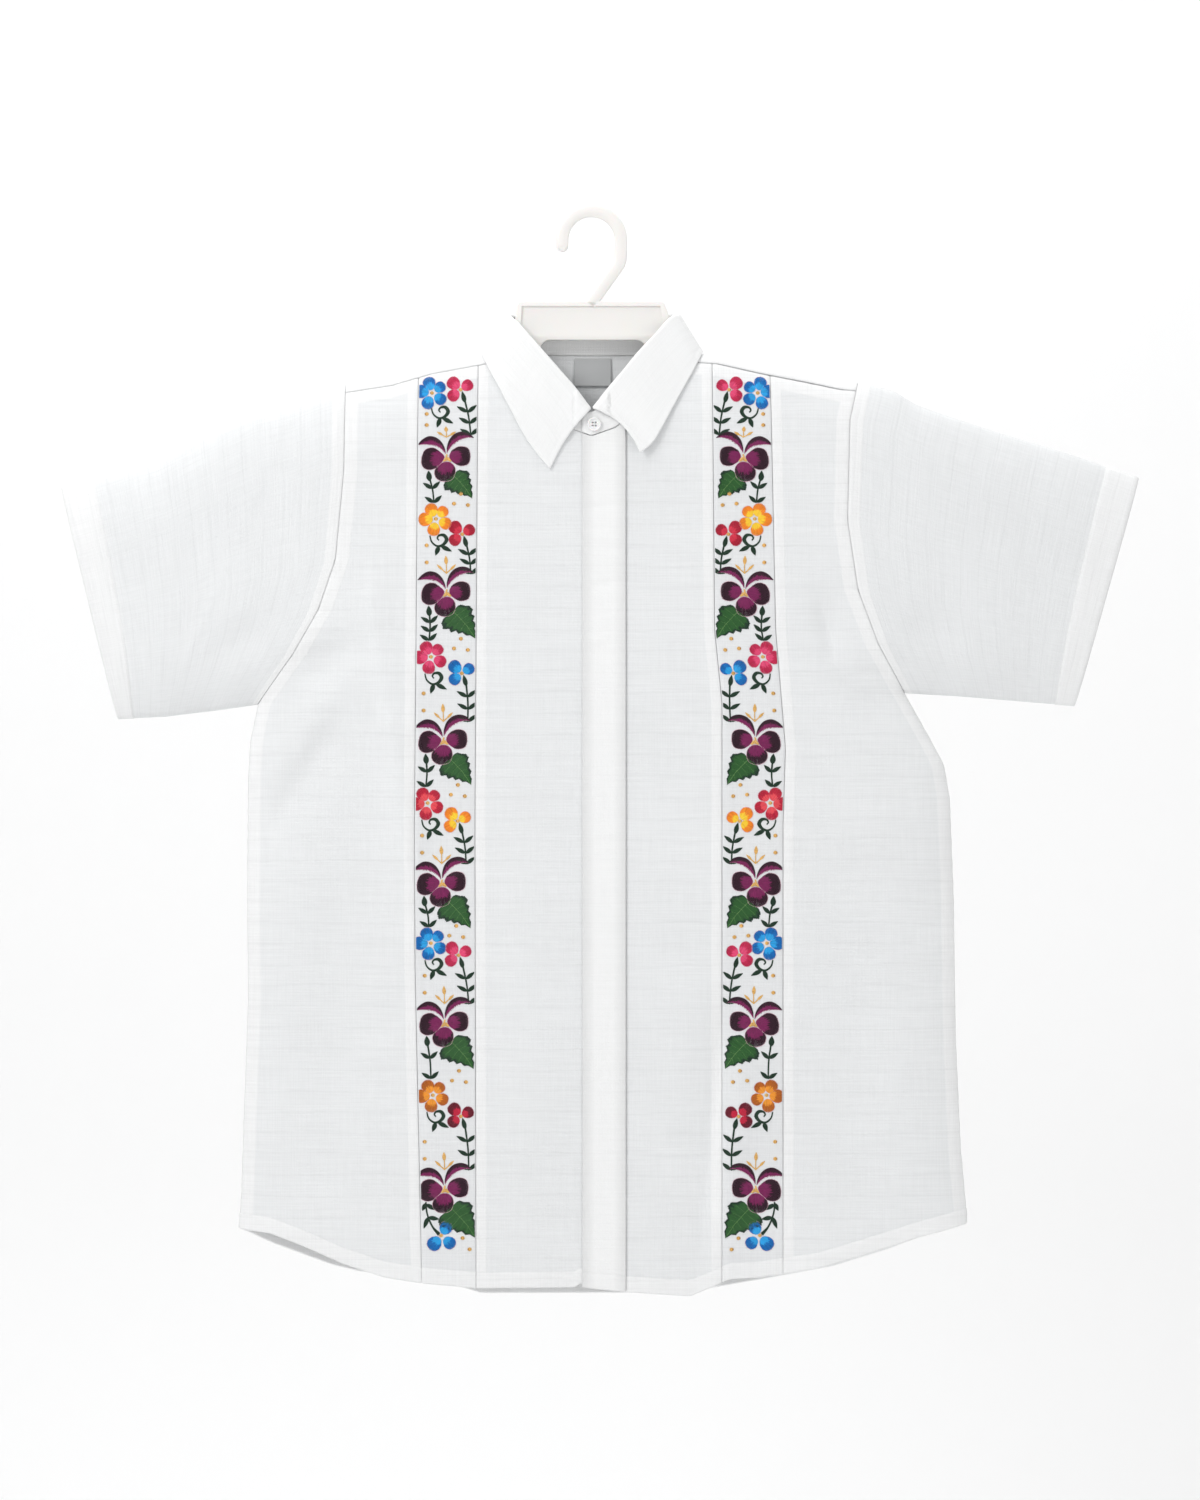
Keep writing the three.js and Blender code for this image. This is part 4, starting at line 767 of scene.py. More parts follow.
class Back:
    """The back, from the front shoulder seam over the ridge down to its hem."""

    NAME = "back"
    STEP = 5.5
    WRAP = (1, 0.86, 0.7, 0.54, 0.4, 0.28, 0.17, 0.09, 0.03, 0)

    def grid(self) -> Grid:
        """Lays the back's points out.

        Returns:
            The back's grid.
        """
        edge_right, edge_left = float(right_body_side(np.array(-150.0))), float(left_body_side(np.array(-150.0)))
        right = edge_right + (-NECK_X - edge_right) * spaced(-NECK_X - edge_right, self.STEP)
        left = NECK_X + (edge_left - NECK_X) * spaced(edge_left - NECK_X, self.STEP)
        neck = np.linspace(-74, 74, 30)
        place = np.concatenate([right, neck, left])[None, :]
        shoulder = np.abs(place) >= NECK_X - 1e-6
        ridge, drop = ridge_z(place), seam_drop(place)
        neck_z = z_on(BACK_NECKLINE, np.abs(place))
        wrap = np.array(self.WRAP)[:, None]
        wrap_z = np.where(shoulder, ridge - wrap * drop, neck_z - (1 - wrap) * 0.9)
        start = wrap_z[-1:]
        rows = spaced(BACK_LENGTH, self.STEP, (0.6, 1.6, 3.2))[1:, None]
        hem = np.array(HEM_ROWS)[:, None]

        def heights(x: Scalars) -> Scalars:
            low = z_on(BACK_HEM, x)
            body = start + (low[len(wrap):-len(hem)] + HEM_BAND - start) * rows
            return np.vstack([wrap_z, body, low[-len(hem):] + HEM_BAND * (1 - hem)])

        def sideways(x: Scalars) -> Scalars:
            z = heights(x)
            right_x, left_x = right_body_side(z), left_body_side(z)
            return np.where(place < 0, right_x * place / edge_right, left_x * place / edge_left)

        total = len(wrap) + len(rows) + len(hem)
        x = settle(sideways, np.broadcast_to(place, (total, place.shape[1])))
        z = heights(x)
        front = (np.arange(total) < len(wrap) - 1)[:, None] & shoulder
        crest = (np.arange(total) == len(wrap) - 1)[:, None] & shoulder
        back_points, back_normals = CLOTH.points(x, z, Side.BACK)
        front_points, front_normals = CLOTH.points(x, z, Side.FRONT)
        points = np.where(front[..., None], front_points, back_points)
        normals = np.where(front[..., None], front_normals, back_normals)
        points[..., 1] = np.where(crest, 0, points[..., 1])
        normals[..., 1] = np.where(crest, 0, normals[..., 1])
        normals /= np.linalg.norm(normals, axis=2, keepdims=True)
        from_left, from_right = x - right_body_side(z), left_body_side(z) - x
        from_hem = z - z_on(BACK_HEM, x)
        points = sewn(points, normals, np.minimum(from_left, from_right), z)
        points = sewn(points, normals, HEM_STITCH_SOFTNESS + np.abs(from_hem - HEM_BAND), x)
        fallen = np.where(front, drop - (ridge - z), FAR)
        points = sewn(points, normals, fallen, x)
        wall = np.where(np.arange(total)[:, None] >= total - len(hem), HEM_WALL, CLOTH_WALL) * np.ones_like(x)
        side = np.minimum(from_left, from_right) / SIDE_STRIP
        strip = np.stack([side, from_hem / HEM_BAND, np.where(front, fallen / WRAP_STRIP, NO_STRIP)], axis=2)
        weave = np.stack([x, z], axis=2) * MM
        edges = (EdgeKind.SEAM, EdgeKind.FREE, EdgeKind.SEAM, EdgeKind.SEAM)
        return Grid(points, normals, wall, weave, strip, edges=edges)


@dataclass(frozen=True)
class Sleeve:
    """One sleeve: a ring of cloth from the armhole to the turned cuff.

    Attributes:
        name: CAD node it stands for.
        armhole: Armhole seam from the top down.
        armpit: The armpit.
        top: Upper outline from the armhole out.
        bottom: Underside's outline from the armpit out.
        cuff: Top and bottom of the cuff.
        outward: Direction out along X.
    """

    name: str
    armhole: tuple[At, ...]
    armpit: At
    top: tuple[At, ...]
    bottom: tuple[At, ...]
    cuff: tuple[At, At]
    outward: float

    def place(self, u: Scalars, v: Scalars) -> np.ndarray:
        """The front view's place at a share out along the sleeve and a share down it.

        Args:
            u: Shares from the armhole to the cuff.
            v: Shares from the ridge to the underside.

        Returns:
            (x, z) pairs.
        """
        u, v = np.broadcast_arrays(u, v)
        top_z = float(ridge_z(np.array(self.armhole[1].x)))
        drop = top_z - self.armpit.z
        cuff_width = math.dist(*self.cuff)
        z = top_z - drop * v
        shift = self.outward * SEAM_GAP / 2
        armhole = np.stack([seam_x(self.armhole, z, shift), z], axis=-1)
        fallen = drop * v
        rest = 55 + (cuff_width - 55) * (fallen - 55) / (drop - 55)
        cuff_share = np.where(fallen < 55, fallen, rest) / cuff_width
        down = v + (cuff_share - v) * u
        start = np.array([float(seam_x(self.armhole, np.array(top_z), shift)), top_z])
        low = np.array([self.armpit.x + shift, self.armpit.z])
        u3, d3 = u[..., None], down[..., None]
        across = armhole * (1 - u3) + along_line(np.array(self.cuff), np.minimum(1, cuff_share)) * u3
        length = along_line(np.array(self.top), u) * (1 - d3) + along_line(np.array(self.bottom), u) * d3
        corners = start * (1 - u3) * (1 - d3) + np.array(self.cuff[0]) * u3 * (1 - d3)
        corners = corners + low * (1 - u3) * d3 + np.array(self.cuff[1]) * u3 * d3
        return across + length - corners

    def grid(self) -> Grid:
        """Lays the sleeve's points out.

        Returns:
            The sleeve's grid.
        """
        length = sum(math.dist(a, b) for a, b in zip(self.top, self.top[1:]))
        cuff_share = CUFF_BAND / length
        body = spaced(length - CUFF_BAND, 4.6) * (1 - cuff_share)
        u = np.concatenate([body, 1 - cuff_share * np.linspace(0.97, 0, 8)])[:, None]
        down = (1 - np.cos(np.linspace(0, np.pi, 54))) / 2
        front = self.place(u, down[None, :])
        back = self.place(u, down[None, -2:0:-1])
        front_points, front_normals = CLOTH.points(front[..., 0], front[..., 1], Side.FRONT)
        back_points, back_normals = CLOTH.points(back[..., 0], back[..., 1], Side.BACK)
        for edge in (0, -1):
            front_points[:, edge, 1] = 0
            front_normals[:, edge, 1] = 0
        front_normals /= np.linalg.norm(front_normals, axis=2, keepdims=True)
        points, normals = np.hstack([front_points, back_points]), np.hstack([front_normals, back_normals])
        run = u * length * np.ones((1, points.shape[1]))
        around = np.concatenate([down, 2 - down[-2:0:-1]])[None, :] * np.ones_like(u)
        from_cuff = length - run
        points = sewn(points, normals, run, around * ARMHOLE_HALF_GIRTH)
        from_stitches = HEM_STITCH_SOFTNESS + np.abs(from_cuff - CUFF_BAND)
        points = sewn(points, normals, from_stitches, around * CUFF_HALF_GIRTH)
        wall = np.where(from_cuff < CUFF_BAND, HEM_WALL, CLOTH_WALL)
        strip = np.stack([run / SIDE_STRIP, from_cuff / CUFF_BAND, np.full_like(run, NO_STRIP)], axis=2)
        weave = np.stack([around * SLEEVE_HALF_GIRTH, run], axis=2) * MM
        edges = (EdgeKind.SEAM, EdgeKind.FREE, EdgeKind.FREE, EdgeKind.FREE)
        return Grid(points, normals, wall, weave, strip, ring=True, edges=edges)


RIGHT_SLEEVE = Sleeve(
    "sleeve_right", RIGHT_ARMHOLE, RIGHT_ARMPIT,
    top=SHOULDER_LINE[22:], bottom=RIGHT_LOWER_LINE[3::-1],
    cuff=(SHOULDER_LINE[-1], RIGHT_LOWER_LINE[0]), outward=-1,
)
LEFT_SLEEVE = Sleeve(
    "sleeve_left", LEFT_ARMHOLE, LEFT_ARMPIT,
    top=(At(219, float(ridge_z(np.array(219.0)))), *SHOULDER_LINE[6::-1]), bottom=LEFT_LOWER_LINE[8:],
    cuff=(SHOULDER_LINE[0], LEFT_LOWER_LINE[-1]), outward=1,
)


class Station(NamedTuple):
    """The collar leaf at one place: its fold line and its free edge."""

    part: str
    fold_x: float
    fold_z: float
    fold_lift: float
    edge_x: float
    edge_z: float
    edge_lift: float
    bow: float


LEAF_STATIONS = (
    Station("front", -0.8, -158.5, 0, -34, -207.5, 2, 3), Station("front", -14.1, -140.9, 0, -45, -194.5, 2, 0),
    Station("front", -26, -127.2, 0, -55, -180, 2, 0), Station("front", -37.6, -113.8, 0, -65, -161, 2, 0),
    Station("front", -49, -100.6, 0, -75, -142, 2, 0), Station("front", -59.5, -88.2, 0, -85, -123.5, 2.2, 0),
    Station("ridge", -66, -81.5, 0, -89.8, -111.5, 0, 0), Station("back", -58, -81.5, 0, -83, -121, 2.2, 0),
    Station("back", -34, -82.3, 0, -48, -126, 2, 0), Station("back", 0, -82.8, 0, 0, -127.5, 2, 0),
    Station("back", 34, -82.3, 0, 48, -126, 2, 0), Station("back", 60, -81.5, 0, 84, -120, 2.2, 0),
    Station("ridge", 69.8, -81.5, 0, 91, -110.6, 0, 0), Station("front", 64.5, -84, 0.2, 86, -122, 2.2, 0),
    Station("front", 51, -98.5, 0.5, 76.5, -139, 2.4, 0), Station("front", 38.5, -112, 0.9, 66.5, -157, 3, 0),
    Station("front", 26, -127.5, 1.3, 57.5, -173.5, 4, 0), Station("front", 13, -143, 1.6, 49, -187, 5.5, 2),
    Station("front", 1.4, -157.8, 1.75, 40.1, -194.3, 7, -6),
)


class StandTop(NamedTuple):
    """The stand's top edge above one place on the neck seam."""

    seam_x: float
    top_x: float
    top_z: float
    lift: float


STAND_LEFT = (
    StandTop(-7, -8, -161.7, 1.75), StandTop(4.6, 1.9, -161.1, 1.75), StandTop(16, 7.9, -153.6, 1.75),
    StandTop(28, 16, -143.3, 1.5), StandTop(36, 23, -134.9, 0.3), StandTop(46, 31.9, -124.3, 0),
    StandTop(56, 42.3, -111.5, 0), StandTop(64, 51.3, -101.8, 0), StandTop(70, 58.2, -94.1, 0),
    StandTop(74, 63.9, -87.7, 0),
)
STAND_RIGHT = (
    StandTop(-74, -60.2, -90.8, 0), StandTop(-70, -55.8, -96.4, 0), StandTop(-64, -49.3, -103.9, 0),
    StandTop(-56, -41.3, -113.1, 0), StandTop(-46, -31.8, -124.1, 0), StandTop(-34, -20.9, -136.9, 0),
    StandTop(-20, -10.4, -150, 0), StandTop(-8, -2.4, -160.7, 0), StandTop(0, 3, -163.2, 0),
    StandTop(10, 9, -165.5, 0),
)
STAND_BACK = (
    StandTop(-74, -62.5, -84.2, 0), StandTop(-50, -45, -84.2, 0), StandTop(0, 0, -84.8, 0),
    StandTop(50, 46, -84.2, 0), StandTop(74, 65.5, -84.2, 0),
)


def smooth_curve(points: np.ndarray, share: Scalars) -> np.ndarray:
    """A centripetal curve through points.

    Args:
        points: The points, (count, 3).
        share: Shares from 0 to 1 of the way through the points' order.

    Returns:
        Places on the curve.
    """
    ends = np.vstack([2 * points[0] - points[1], points, 2 * points[-1] - points[-2]])
    at = np.asarray(share, float) * (len(points) - 1)
    first = np.minimum(at.astype(int), len(points) - 2)
    t = (at - first)[:, None]
    p0, p1, p2, p3 = (ends[first + k] for k in range(4))
    d0, d1, d2 = (np.maximum(np.linalg.norm(b - a, axis=1, keepdims=True), 1e-6) ** 0.5
                  for a, b in ((p0, p1), (p1, p2), (p2, p3)))
    t1 = ((p1 - p0) / d0 - (p2 - p0) / (d0 + d1) + (p2 - p1) / d1) * d1
    t2 = ((p2 - p1) / d1 - (p3 - p1) / (d1 + d2) + (p3 - p2) / d2) * d1
    c2, c3 = -3 * p1 + 3 * p2 - 2 * t1 - t2, 2 * p1 - 2 * p2 + t1 + t2
    return p1 + t1 * t + c2 * t**2 + c3 * t**3


def grid_normals(points: np.ndarray) -> np.ndarray:
    """Normals of a grid from its neighbours.

    Args:
        points: (rows, columns, 3).

    Returns:
        Unit normals.
    """
    across = np.gradient(points, axis=1)
    down = np.gradient(points, axis=0)
    normals = np.cross(across, down)
    return normals / np.maximum(np.linalg.norm(normals, axis=2, keepdims=True), 1e-9)


class Collar:
    """The collar's leaf and the stand under it."""

    LEAF_ROLL = ((1.7, 0.0), (1.1, 0.25), (0.5, 0.6), (0.1, 1.05), (0.0, 1.5), (0.1, 2.0), (0.8, 2.6))
    COLUMNS = 260

    @staticmethod
    def _place(part: str, x: float, z: float, lift: float) -> tuple[np.ndarray, np.ndarray]:
        """A place on the cloth or on the outline over the shoulder.

        Args:
            part: front, ridge or back.
            x: Place across.
            z: Height.
            lift: Distance out.

        Returns:
            Point and outward direction.
        """
        if part != "ridge":
            point, normal = CLOTH.points(x, z, Side.FRONT if part == "front" else Side.BACK, lift)
            return point, normal
        _, inward = CLOTH.nearest_edge(np.array([float(x)]), np.array([float(z)]))
        normal = np.array([-inward[0, 0], 0, -inward[0, 1]])
        return np.array([x, 0, z]) + normal * lift, normal

    @staticmethod
    def _clear(points: np.ndarray, share: Scalars) -> np.ndarray:
        """Keeps the leaf clear of the stand, the button and the panels under it.

        Args:
            points: Points of the leaf.
            share: Their shares from the fold to the edge.

        Returns:
            The moved points.
        """
        x, z = points[..., 0].ravel(), np.minimum(points[..., 2].ravel(), 0)
        face = np.where(points[..., 1].ravel() < 0, -1.0, 1.0)
        distance, _ = CLOTH.nearest_edge(x, z)
        near_button = (np.hypot(x - 2, z + 172) < 16) | ((np.abs(x) < 14) & (z > -180))
        on_placket = (x > PLACKET_LEFT_X - 4) & (x < PLACKET_RIGHT_X + 2)
        share = np.broadcast_to(share, points.shape[:-1]).ravel()
        room = np.where(share < 0.7, 3.2 - 1.35 * np.clip((share - 0.5) / 0.2, 0, 1), 1.85)
        room = np.where(on_placket, PLACKET_LIFT + 2.05, room)
        room = np.where(near_button, 6.2, room)
        front, _ = CLOTH.points(x, z, Side.FRONT)
        back, _ = CLOTH.points(x, z, Side.BACK)
        depth = np.where(face < 0, -front[:, 1], back[:, 1]) + room
        blend = np.clip((distance - 6) / 8, 0, 1)
        blend = blend * blend * (3 - 2 * blend)
        y = points[..., 1].ravel()
        wanted = face * np.maximum(np.abs(y), depth)
        moved = points.copy()
        moved[..., 1] = np.where(distance < 6, y, y + (wanted - y) * blend).reshape(points.shape[:-1])
        return moved

    def leaf(self) -> Grid:
        """Lays out the leaf: a roll over the fold line, then down to its edge.

        Returns:
            The leaf's grid.
        """
        folds = [self._place(s.part, s.fold_x, s.fold_z, s.fold_lift) for s in LEAF_STATIONS]
        outs = [self._place(s.part, s.fold_x, s.fold_z, 0)[1] for s in LEAF_STATIONS]
        edges = [self._place(s.part, s.edge_x, s.edge_z, s.edge_lift)[0] for s in LEAF_STATIONS]
        share = np.linspace(0, 1, self.COLUMNS + 1)
        fold = smooth_curve(np.array([p for p, _ in folds]), share)
        out = smooth_curve(np.array(outs), share)
        out /= np.linalg.norm(out, axis=1, keepdims=True)
        edge = smooth_curve(np.array(edges), share)
        down = edge - fold
        down -= (down * out).sum(1, keepdims=True) * out
        down /= np.linalg.norm(down, axis=1, keepdims=True)
        bow = np.interp(share * (len(LEAF_STATIONS) - 1), range(len(LEAF_STATIONS)), [s.bow for s in LEAF_STATIONS])
        sideways = np.cross(down, out)
        rolled = np.array([fold + down * low + out * far for low, far in self.LEAF_ROLL])
        rest = np.concatenate([np.linspace(0.03, 0.94, 26), [0.97, 0.99, 1.0]])[:, None, None]
        body = rolled[-1] + (edge - rolled[-1]) * rest + sideways * (bow[:, None] * np.sin(np.pi * rest))
        body = self._clear(body, rest[..., 0] * np.ones(len(share)))
        points = np.concatenate([rolled, body])
        normals = grid_normals(points)
        if (normals[len(points) // 2] * out).sum() < 0:
            normals = -normals
        width = np.linalg.norm(edge - fold, axis=1)
        from_edge = np.linalg.norm(points - points[-1], axis=2)
        along = np.cumsum(np.linalg.norm(np.diff(edge, axis=0, prepend=edge[:1]), axis=1))
        from_start = np.minimum(along, along[-1] - along)[None, :] * np.ones((len(points), 1))
        stitched = np.minimum(from_edge, from_start)
        puff = -0.22 * np.exp(-(((stitched - 5) / 0.8) ** 2))
        points = points + normals * puff[..., None]
        weave = np.stack([along[None, :] + 0 * from_edge, width[None, :] - from_edge], axis=2) * MM
        strip = np.full((*points.shape[:2], 3), 0.4)
        wall = np.full(points.shape[:2], COLLAR_WALL)
        return Grid(points, normals, wall, weave, strip)

    def stand(self) -> Grid:
        """Lays out the stand, from its outer front end round the neck to its inner front end.

        Returns:
            The stand's grid.
        """
        spans = (
            (np.linspace(-7, 27.7, 12), "left", PLACKET_LIFT), (np.linspace(30, 75, 24), "left", 0.0),
            (np.linspace(74, -74, 44), "back", 0.0), (np.linspace(-75, 10, 44), "right", 0.0),
        )
        tables = {"left": STAND_LEFT, "right": STAND_RIGHT, "back": STAND_BACK}
        lows, highs, outs = [], [], []
        for x, half, lift in spans:
            side = Side.BACK if half == "back" else Side.FRONT
            seam_z = z_on(BACK_NECKLINE, np.abs(x)) if half == "back" else front_top(x)
            slope = np.gradient(seam_z, x)
            low_z = seam_z + (SEAM_GAP + 0.1) * np.hypot(1, slope)
            low, out = CLOTH.points(x, low_z, side, lift)
            rows = sorted(tables[half], key=lambda row: row.seam_x)
            value = {k: np.interp(x, [r.seam_x for r in rows], [getattr(r, k) for r in rows])
                     for k in ("top_x", "top_z", "lift")}
            high, _ = CLOTH.points(value["top_x"], value["top_z"], side, value["lift"])
            lows.append(low)
            highs.append(high)
            outs.append(out)
        low, high, out = np.vstack(lows), np.vstack(highs), np.vstack(outs)
        share = np.array([0, 0.05, 0.15, 0.3, 0.45, 0.6, 0.75, 0.9, 1])[:, None, None]
        points = low[None] * (1 - share) + high[None] * share
        normals = grid_normals(points)
        normals *= np.where((normals * out[None]).sum(2, keepdims=True) < 0, -1, 1)
        along = np.cumsum(np.linalg.norm(np.diff(low, axis=0, prepend=low[:1]), axis=1))
        height = np.linalg.norm(points - points[0], axis=2)
        weave = np.stack([along[None, :] + 0 * height, height], axis=2) * MM
        wall = np.full(points.shape[:2], COLLAR_WALL - 0.2)
        edges = (EdgeKind.SEAM, EdgeKind.SEAM, EdgeKind.FREE, EdgeKind.FREE)
        return Grid(points, normals, wall, weave, np.full((*points.shape[:2], 3), 0.4), edges=edges)


class Nodes:
    """A small helper that adds and links the nodes of one node tree."""

    def __init__(self, tree: bpy.types.NodeTree) -> None:
        """Keeps the tree.

        Args:
            tree: Shader or geometry node tree.
        """
        self.tree = tree

    def add(self, kind: str, settings: dict | None = None, **inputs: object) -> bpy.types.Node:
        """Adds a node and sets or links its inputs.

        Args:
            kind: Blender's name of the node type.
            settings: Properties of the node itself.
            **inputs: Values or output sockets, by input name with spaces as underscores.

        Returns:
            The node.
        """
        node = self.tree.nodes.new(kind)
        for key, value in (settings or {}).items():
            setattr(node, key, value)
        for key, value in inputs.items():
            self.feed(self.socket(node, key), value)
        return node

    @staticmethod
    def socket(node: bpy.types.Node, key: str) -> bpy.types.NodeSocket:
        """Finds an input by name or, as in_0, by number.

        Args:
            node: The node.
            key: Its input's name with underscores, or in_ and a number.

        Returns:
            The input socket.
        """
        if key.startswith("in_"):
            return node.inputs[int(key[3:])]
        return node.inputs[key.replace("_", " ")]

    def feed(self, target: bpy.types.NodeSocket, value: object) -> None:
        """Links a socket or sets its value.

        Args:
            target: Input socket.
            value: Output socket or plain value.
        """
        if isinstance(value, bpy.types.NodeSocket):
            self.tree.links.new(value, target)
        else:
            target.default_value = value

    def math(self, operation: str, a: object, b: object = 0.0) -> bpy.types.NodeSocket:
        """A math node.

        Args:
            operation: Blender's name of the operation.
            a: First value.
            b: Second value.

        Returns:
            Its result.
        """
        return self.add("ShaderNodeMath", {"operation": operation}, in_0=a, in_1=b).outputs[0]


def weave_group() -> bpy.types.NodeTree:
    """The slubby plain weave: uneven warp and weft threads and a fine grid, as tone and height.

    Returns:
        The shader node group.
    """
    tree = bpy.data.node_groups.new("SlubWeave", "ShaderNodeTree")
    tree.interface.new_socket("Cloth", in_out="INPUT", socket_type="NodeSocketVector")
    tree.interface.new_socket("Bars", in_out="INPUT", socket_type="NodeSocketFloat")
    tree.interface.new_socket("Tone", in_out="OUTPUT", socket_type="NodeSocketFloat")
    tree.interface.new_socket("Height", in_out="OUTPUT", socket_type="NodeSocketFloat")
    nodes = Nodes(tree)
    cloth = tree.nodes.new("NodeGroupInput")
    out = tree.nodes.new("NodeGroupOutput")

    def threads(scale: tuple[float, float, float], detail: float) -> bpy.types.NodeSocket:
        mapped = nodes.add("ShaderNodeMapping", Vector=cloth.outputs["Cloth"], Scale=scale)
        noise = nodes.add("ShaderNodeTexNoise", {"noise_dimensions": "2D"}, Vector=mapped.outputs[0],
                          Scale=1.0, Detail=detail, Roughness=0.6)
        return nodes.math("SUBTRACT", noise.outputs["Fac"], 0.5)

    warp, weft = threads((900, 26, 1), 3), threads((20, 820, 1), 3)
    slub = threads((55, 300, 1), 2)
    cloud = threads((11, 16, 1), 3)
    split = nodes.add("ShaderNodeSeparateXYZ", Vector=cloth.outputs["Cloth"])
    wander = nodes.math("MULTIPLY", cloud, 3.0)
    phase = nodes.math("ADD", nodes.math("MULTIPLY", split.outputs["Y"], 2 * math.pi / 0.0172), wander)
    bar = nodes.math("POWER", nodes.math("MAXIMUM", nodes.math("SINE", phase), 0.0), 16.0)
    bar = nodes.math("MULTIPLY", nodes.math("MULTIPLY", bar, nodes.math("ADD", slub, 0.55)), cloth.outputs["Bars"])
    tone = nodes.math("ADD", nodes.math("MULTIPLY", warp, 0.9), nodes.math("MULTIPLY", weft, 1.25))
    tone = nodes.math("ADD", tone, nodes.math("MULTIPLY", cloud, 0.55))
    tone = nodes.math("SUBTRACT", tone, bar)
    fine_u = nodes.math("SINE", nodes.math("MULTIPLY", split.outputs["X"], 2 * math.pi / 0.00062))
    fine_v = nodes.math("SINE", nodes.math("MULTIPLY", split.outputs["Y"], 2 * math.pi / 0.00066))
    fine = nodes.math("MULTIPLY", nodes.math("MULTIPLY", fine_u, fine_v), 0.22)
    nodes.feed(out.inputs["Tone"], tone)
    nodes.feed(out.inputs["Height"], nodes.math("ADD", tone, fine))
    return tree


def strip_group() -> bpy.types.NodeTree:
    """Where the cloth lies double along seams and hems, and where its seam lines run, with painted shade along them.

    Returns:
        The shader node group.
    """
    tree = bpy.data.node_groups.new("DoubledStrips", "ShaderNodeTree")
    tree.interface.new_socket("Strip", in_out="INPUT", socket_type="NodeSocketVector")
    tree.interface.new_socket("Doubled", in_out="OUTPUT", socket_type="NodeSocketFloat")
    tree.interface.new_socket("Seam", in_out="OUTPUT", socket_type="NodeSocketFloat")
    nodes = Nodes(tree)
    source = tree.nodes.new("NodeGroupInput")
    out = tree.nodes.new("NodeGroupOutput")
    split = nodes.add("ShaderNodeSeparateXYZ", Vector=source.outputs["Strip"])

    def below(value: bpy.types.NodeSocket, edge: float, soft: float) -> bpy.types.NodeSocket:
        mapped = nodes.add("ShaderNodeMapRange", {"clamp": True}, Value=value, From_Min=edge + soft,
                           From_Max=edge - soft, To_Min=0.0, To_Max=1.0)
        return mapped.outputs[0]

    doubled = nodes.math("MAXIMUM", below(split.outputs[0], 1.0, 0.07), below(split.outputs[1], 1.0, 0.05))
    doubled = nodes.math("MAXIMUM", doubled, below(split.outputs[2], 1.0, 0.07))
    # Painted shade: a thin dark line along the side, band and shoulder seams, where their grooves lie.
    seam = nodes.math("MAXIMUM", below(split.outputs[0], 0.05, 0.05), below(split.outputs[2], 0.05, 0.05))
    nodes.feed(out.inputs["Doubled"], doubled)
    nodes.feed(out.inputs["Seam"], seam)
    return tree


Colour = tuple[float, float, float, float]


@dataclass(frozen=True)
class ClothFinish:
    """The shirt's cloth, single or doubled.

    Attributes:
        name: Name of the material.
        single: Colour of one layer.
        doubled: Colour of two layers.
        bars: Strength of the heavier weft bars.
        contrast: Strength of the weave's tone.
    """

    name: str
    single: Colour
    doubled: Colour
    bars: float
    contrast: float

    def material(self, weave: bpy.types.NodeTree, strips: bpy.types.NodeTree) -> bpy.types.Material:
        """Builds the material.

        Args:
            weave: The weave's node group.
            strips: The strips' node group.

        Returns:
            The material.
        """
        made = bpy.data.materials.new(self.name)
        made.use_nodes = True
        nodes = Nodes(made.node_tree)
        shader = made.node_tree.nodes["Principled BSDF"]
        cloth = nodes.add("ShaderNodeUVMap", {"uv_map": "weave"})
        strip = nodes.add("ShaderNodeAttribute", {"attribute_name": "strip"})
        woven = nodes.add("ShaderNodeGroup", {"node_tree": weave})
        nodes.feed(woven.inputs["Cloth"], cloth.outputs[0])
        woven.inputs["Bars"].default_value = self.bars
        layers = nodes.add("ShaderNodeGroup", {"node_tree": strips})
        nodes.feed(layers.inputs["Strip"], strip.outputs["Vector"])
        base = nodes.add("ShaderNodeMix", {"data_type": "RGBA"})
        nodes.feed(base.inputs["Factor"], layers.outputs["Doubled"])
        nodes.feed(base.inputs[6], self.single)
        nodes.feed(base.inputs[7], self.doubled)
        tone = nodes.math("MULTIPLY", woven.outputs["Tone"], self.contrast)
        tone = nodes.math("ADD", tone, 1.0)
        # Painted shade along the seam grooves: the base colour is darkened there.
        tone = nodes.math("SUBTRACT", tone, nodes.math("MULTIPLY", layers.outputs["Seam"], 0.16))
        shade = nodes.add("ShaderNodeVectorMath", {"operation": "SCALE"}, Vector=base.outputs[2], Scale=tone)
        nodes.feed(shader.inputs["Base Color"], shade.outputs[0])
        shader.inputs["Roughness"].default_value = 0.82
        shader.inputs["Specular IOR Level"].default_value = 0.25
        shader.inputs["Sheen Weight"].default_value = 0.12
        shader.inputs["Sheen Roughness"].default_value = 0.5
        bump = nodes.add("ShaderNodeBump", Strength=0.6, Distance=0.0003)
        raised = nodes.math("ADD", woven.outputs["Height"], nodes.math("MULTIPLY", layers.outputs["Doubled"], 1.1))
        nodes.feed(bump.inputs["Height"], raised)
        nodes.feed(shader.inputs["Normal"], bump.outputs[0])
        return made


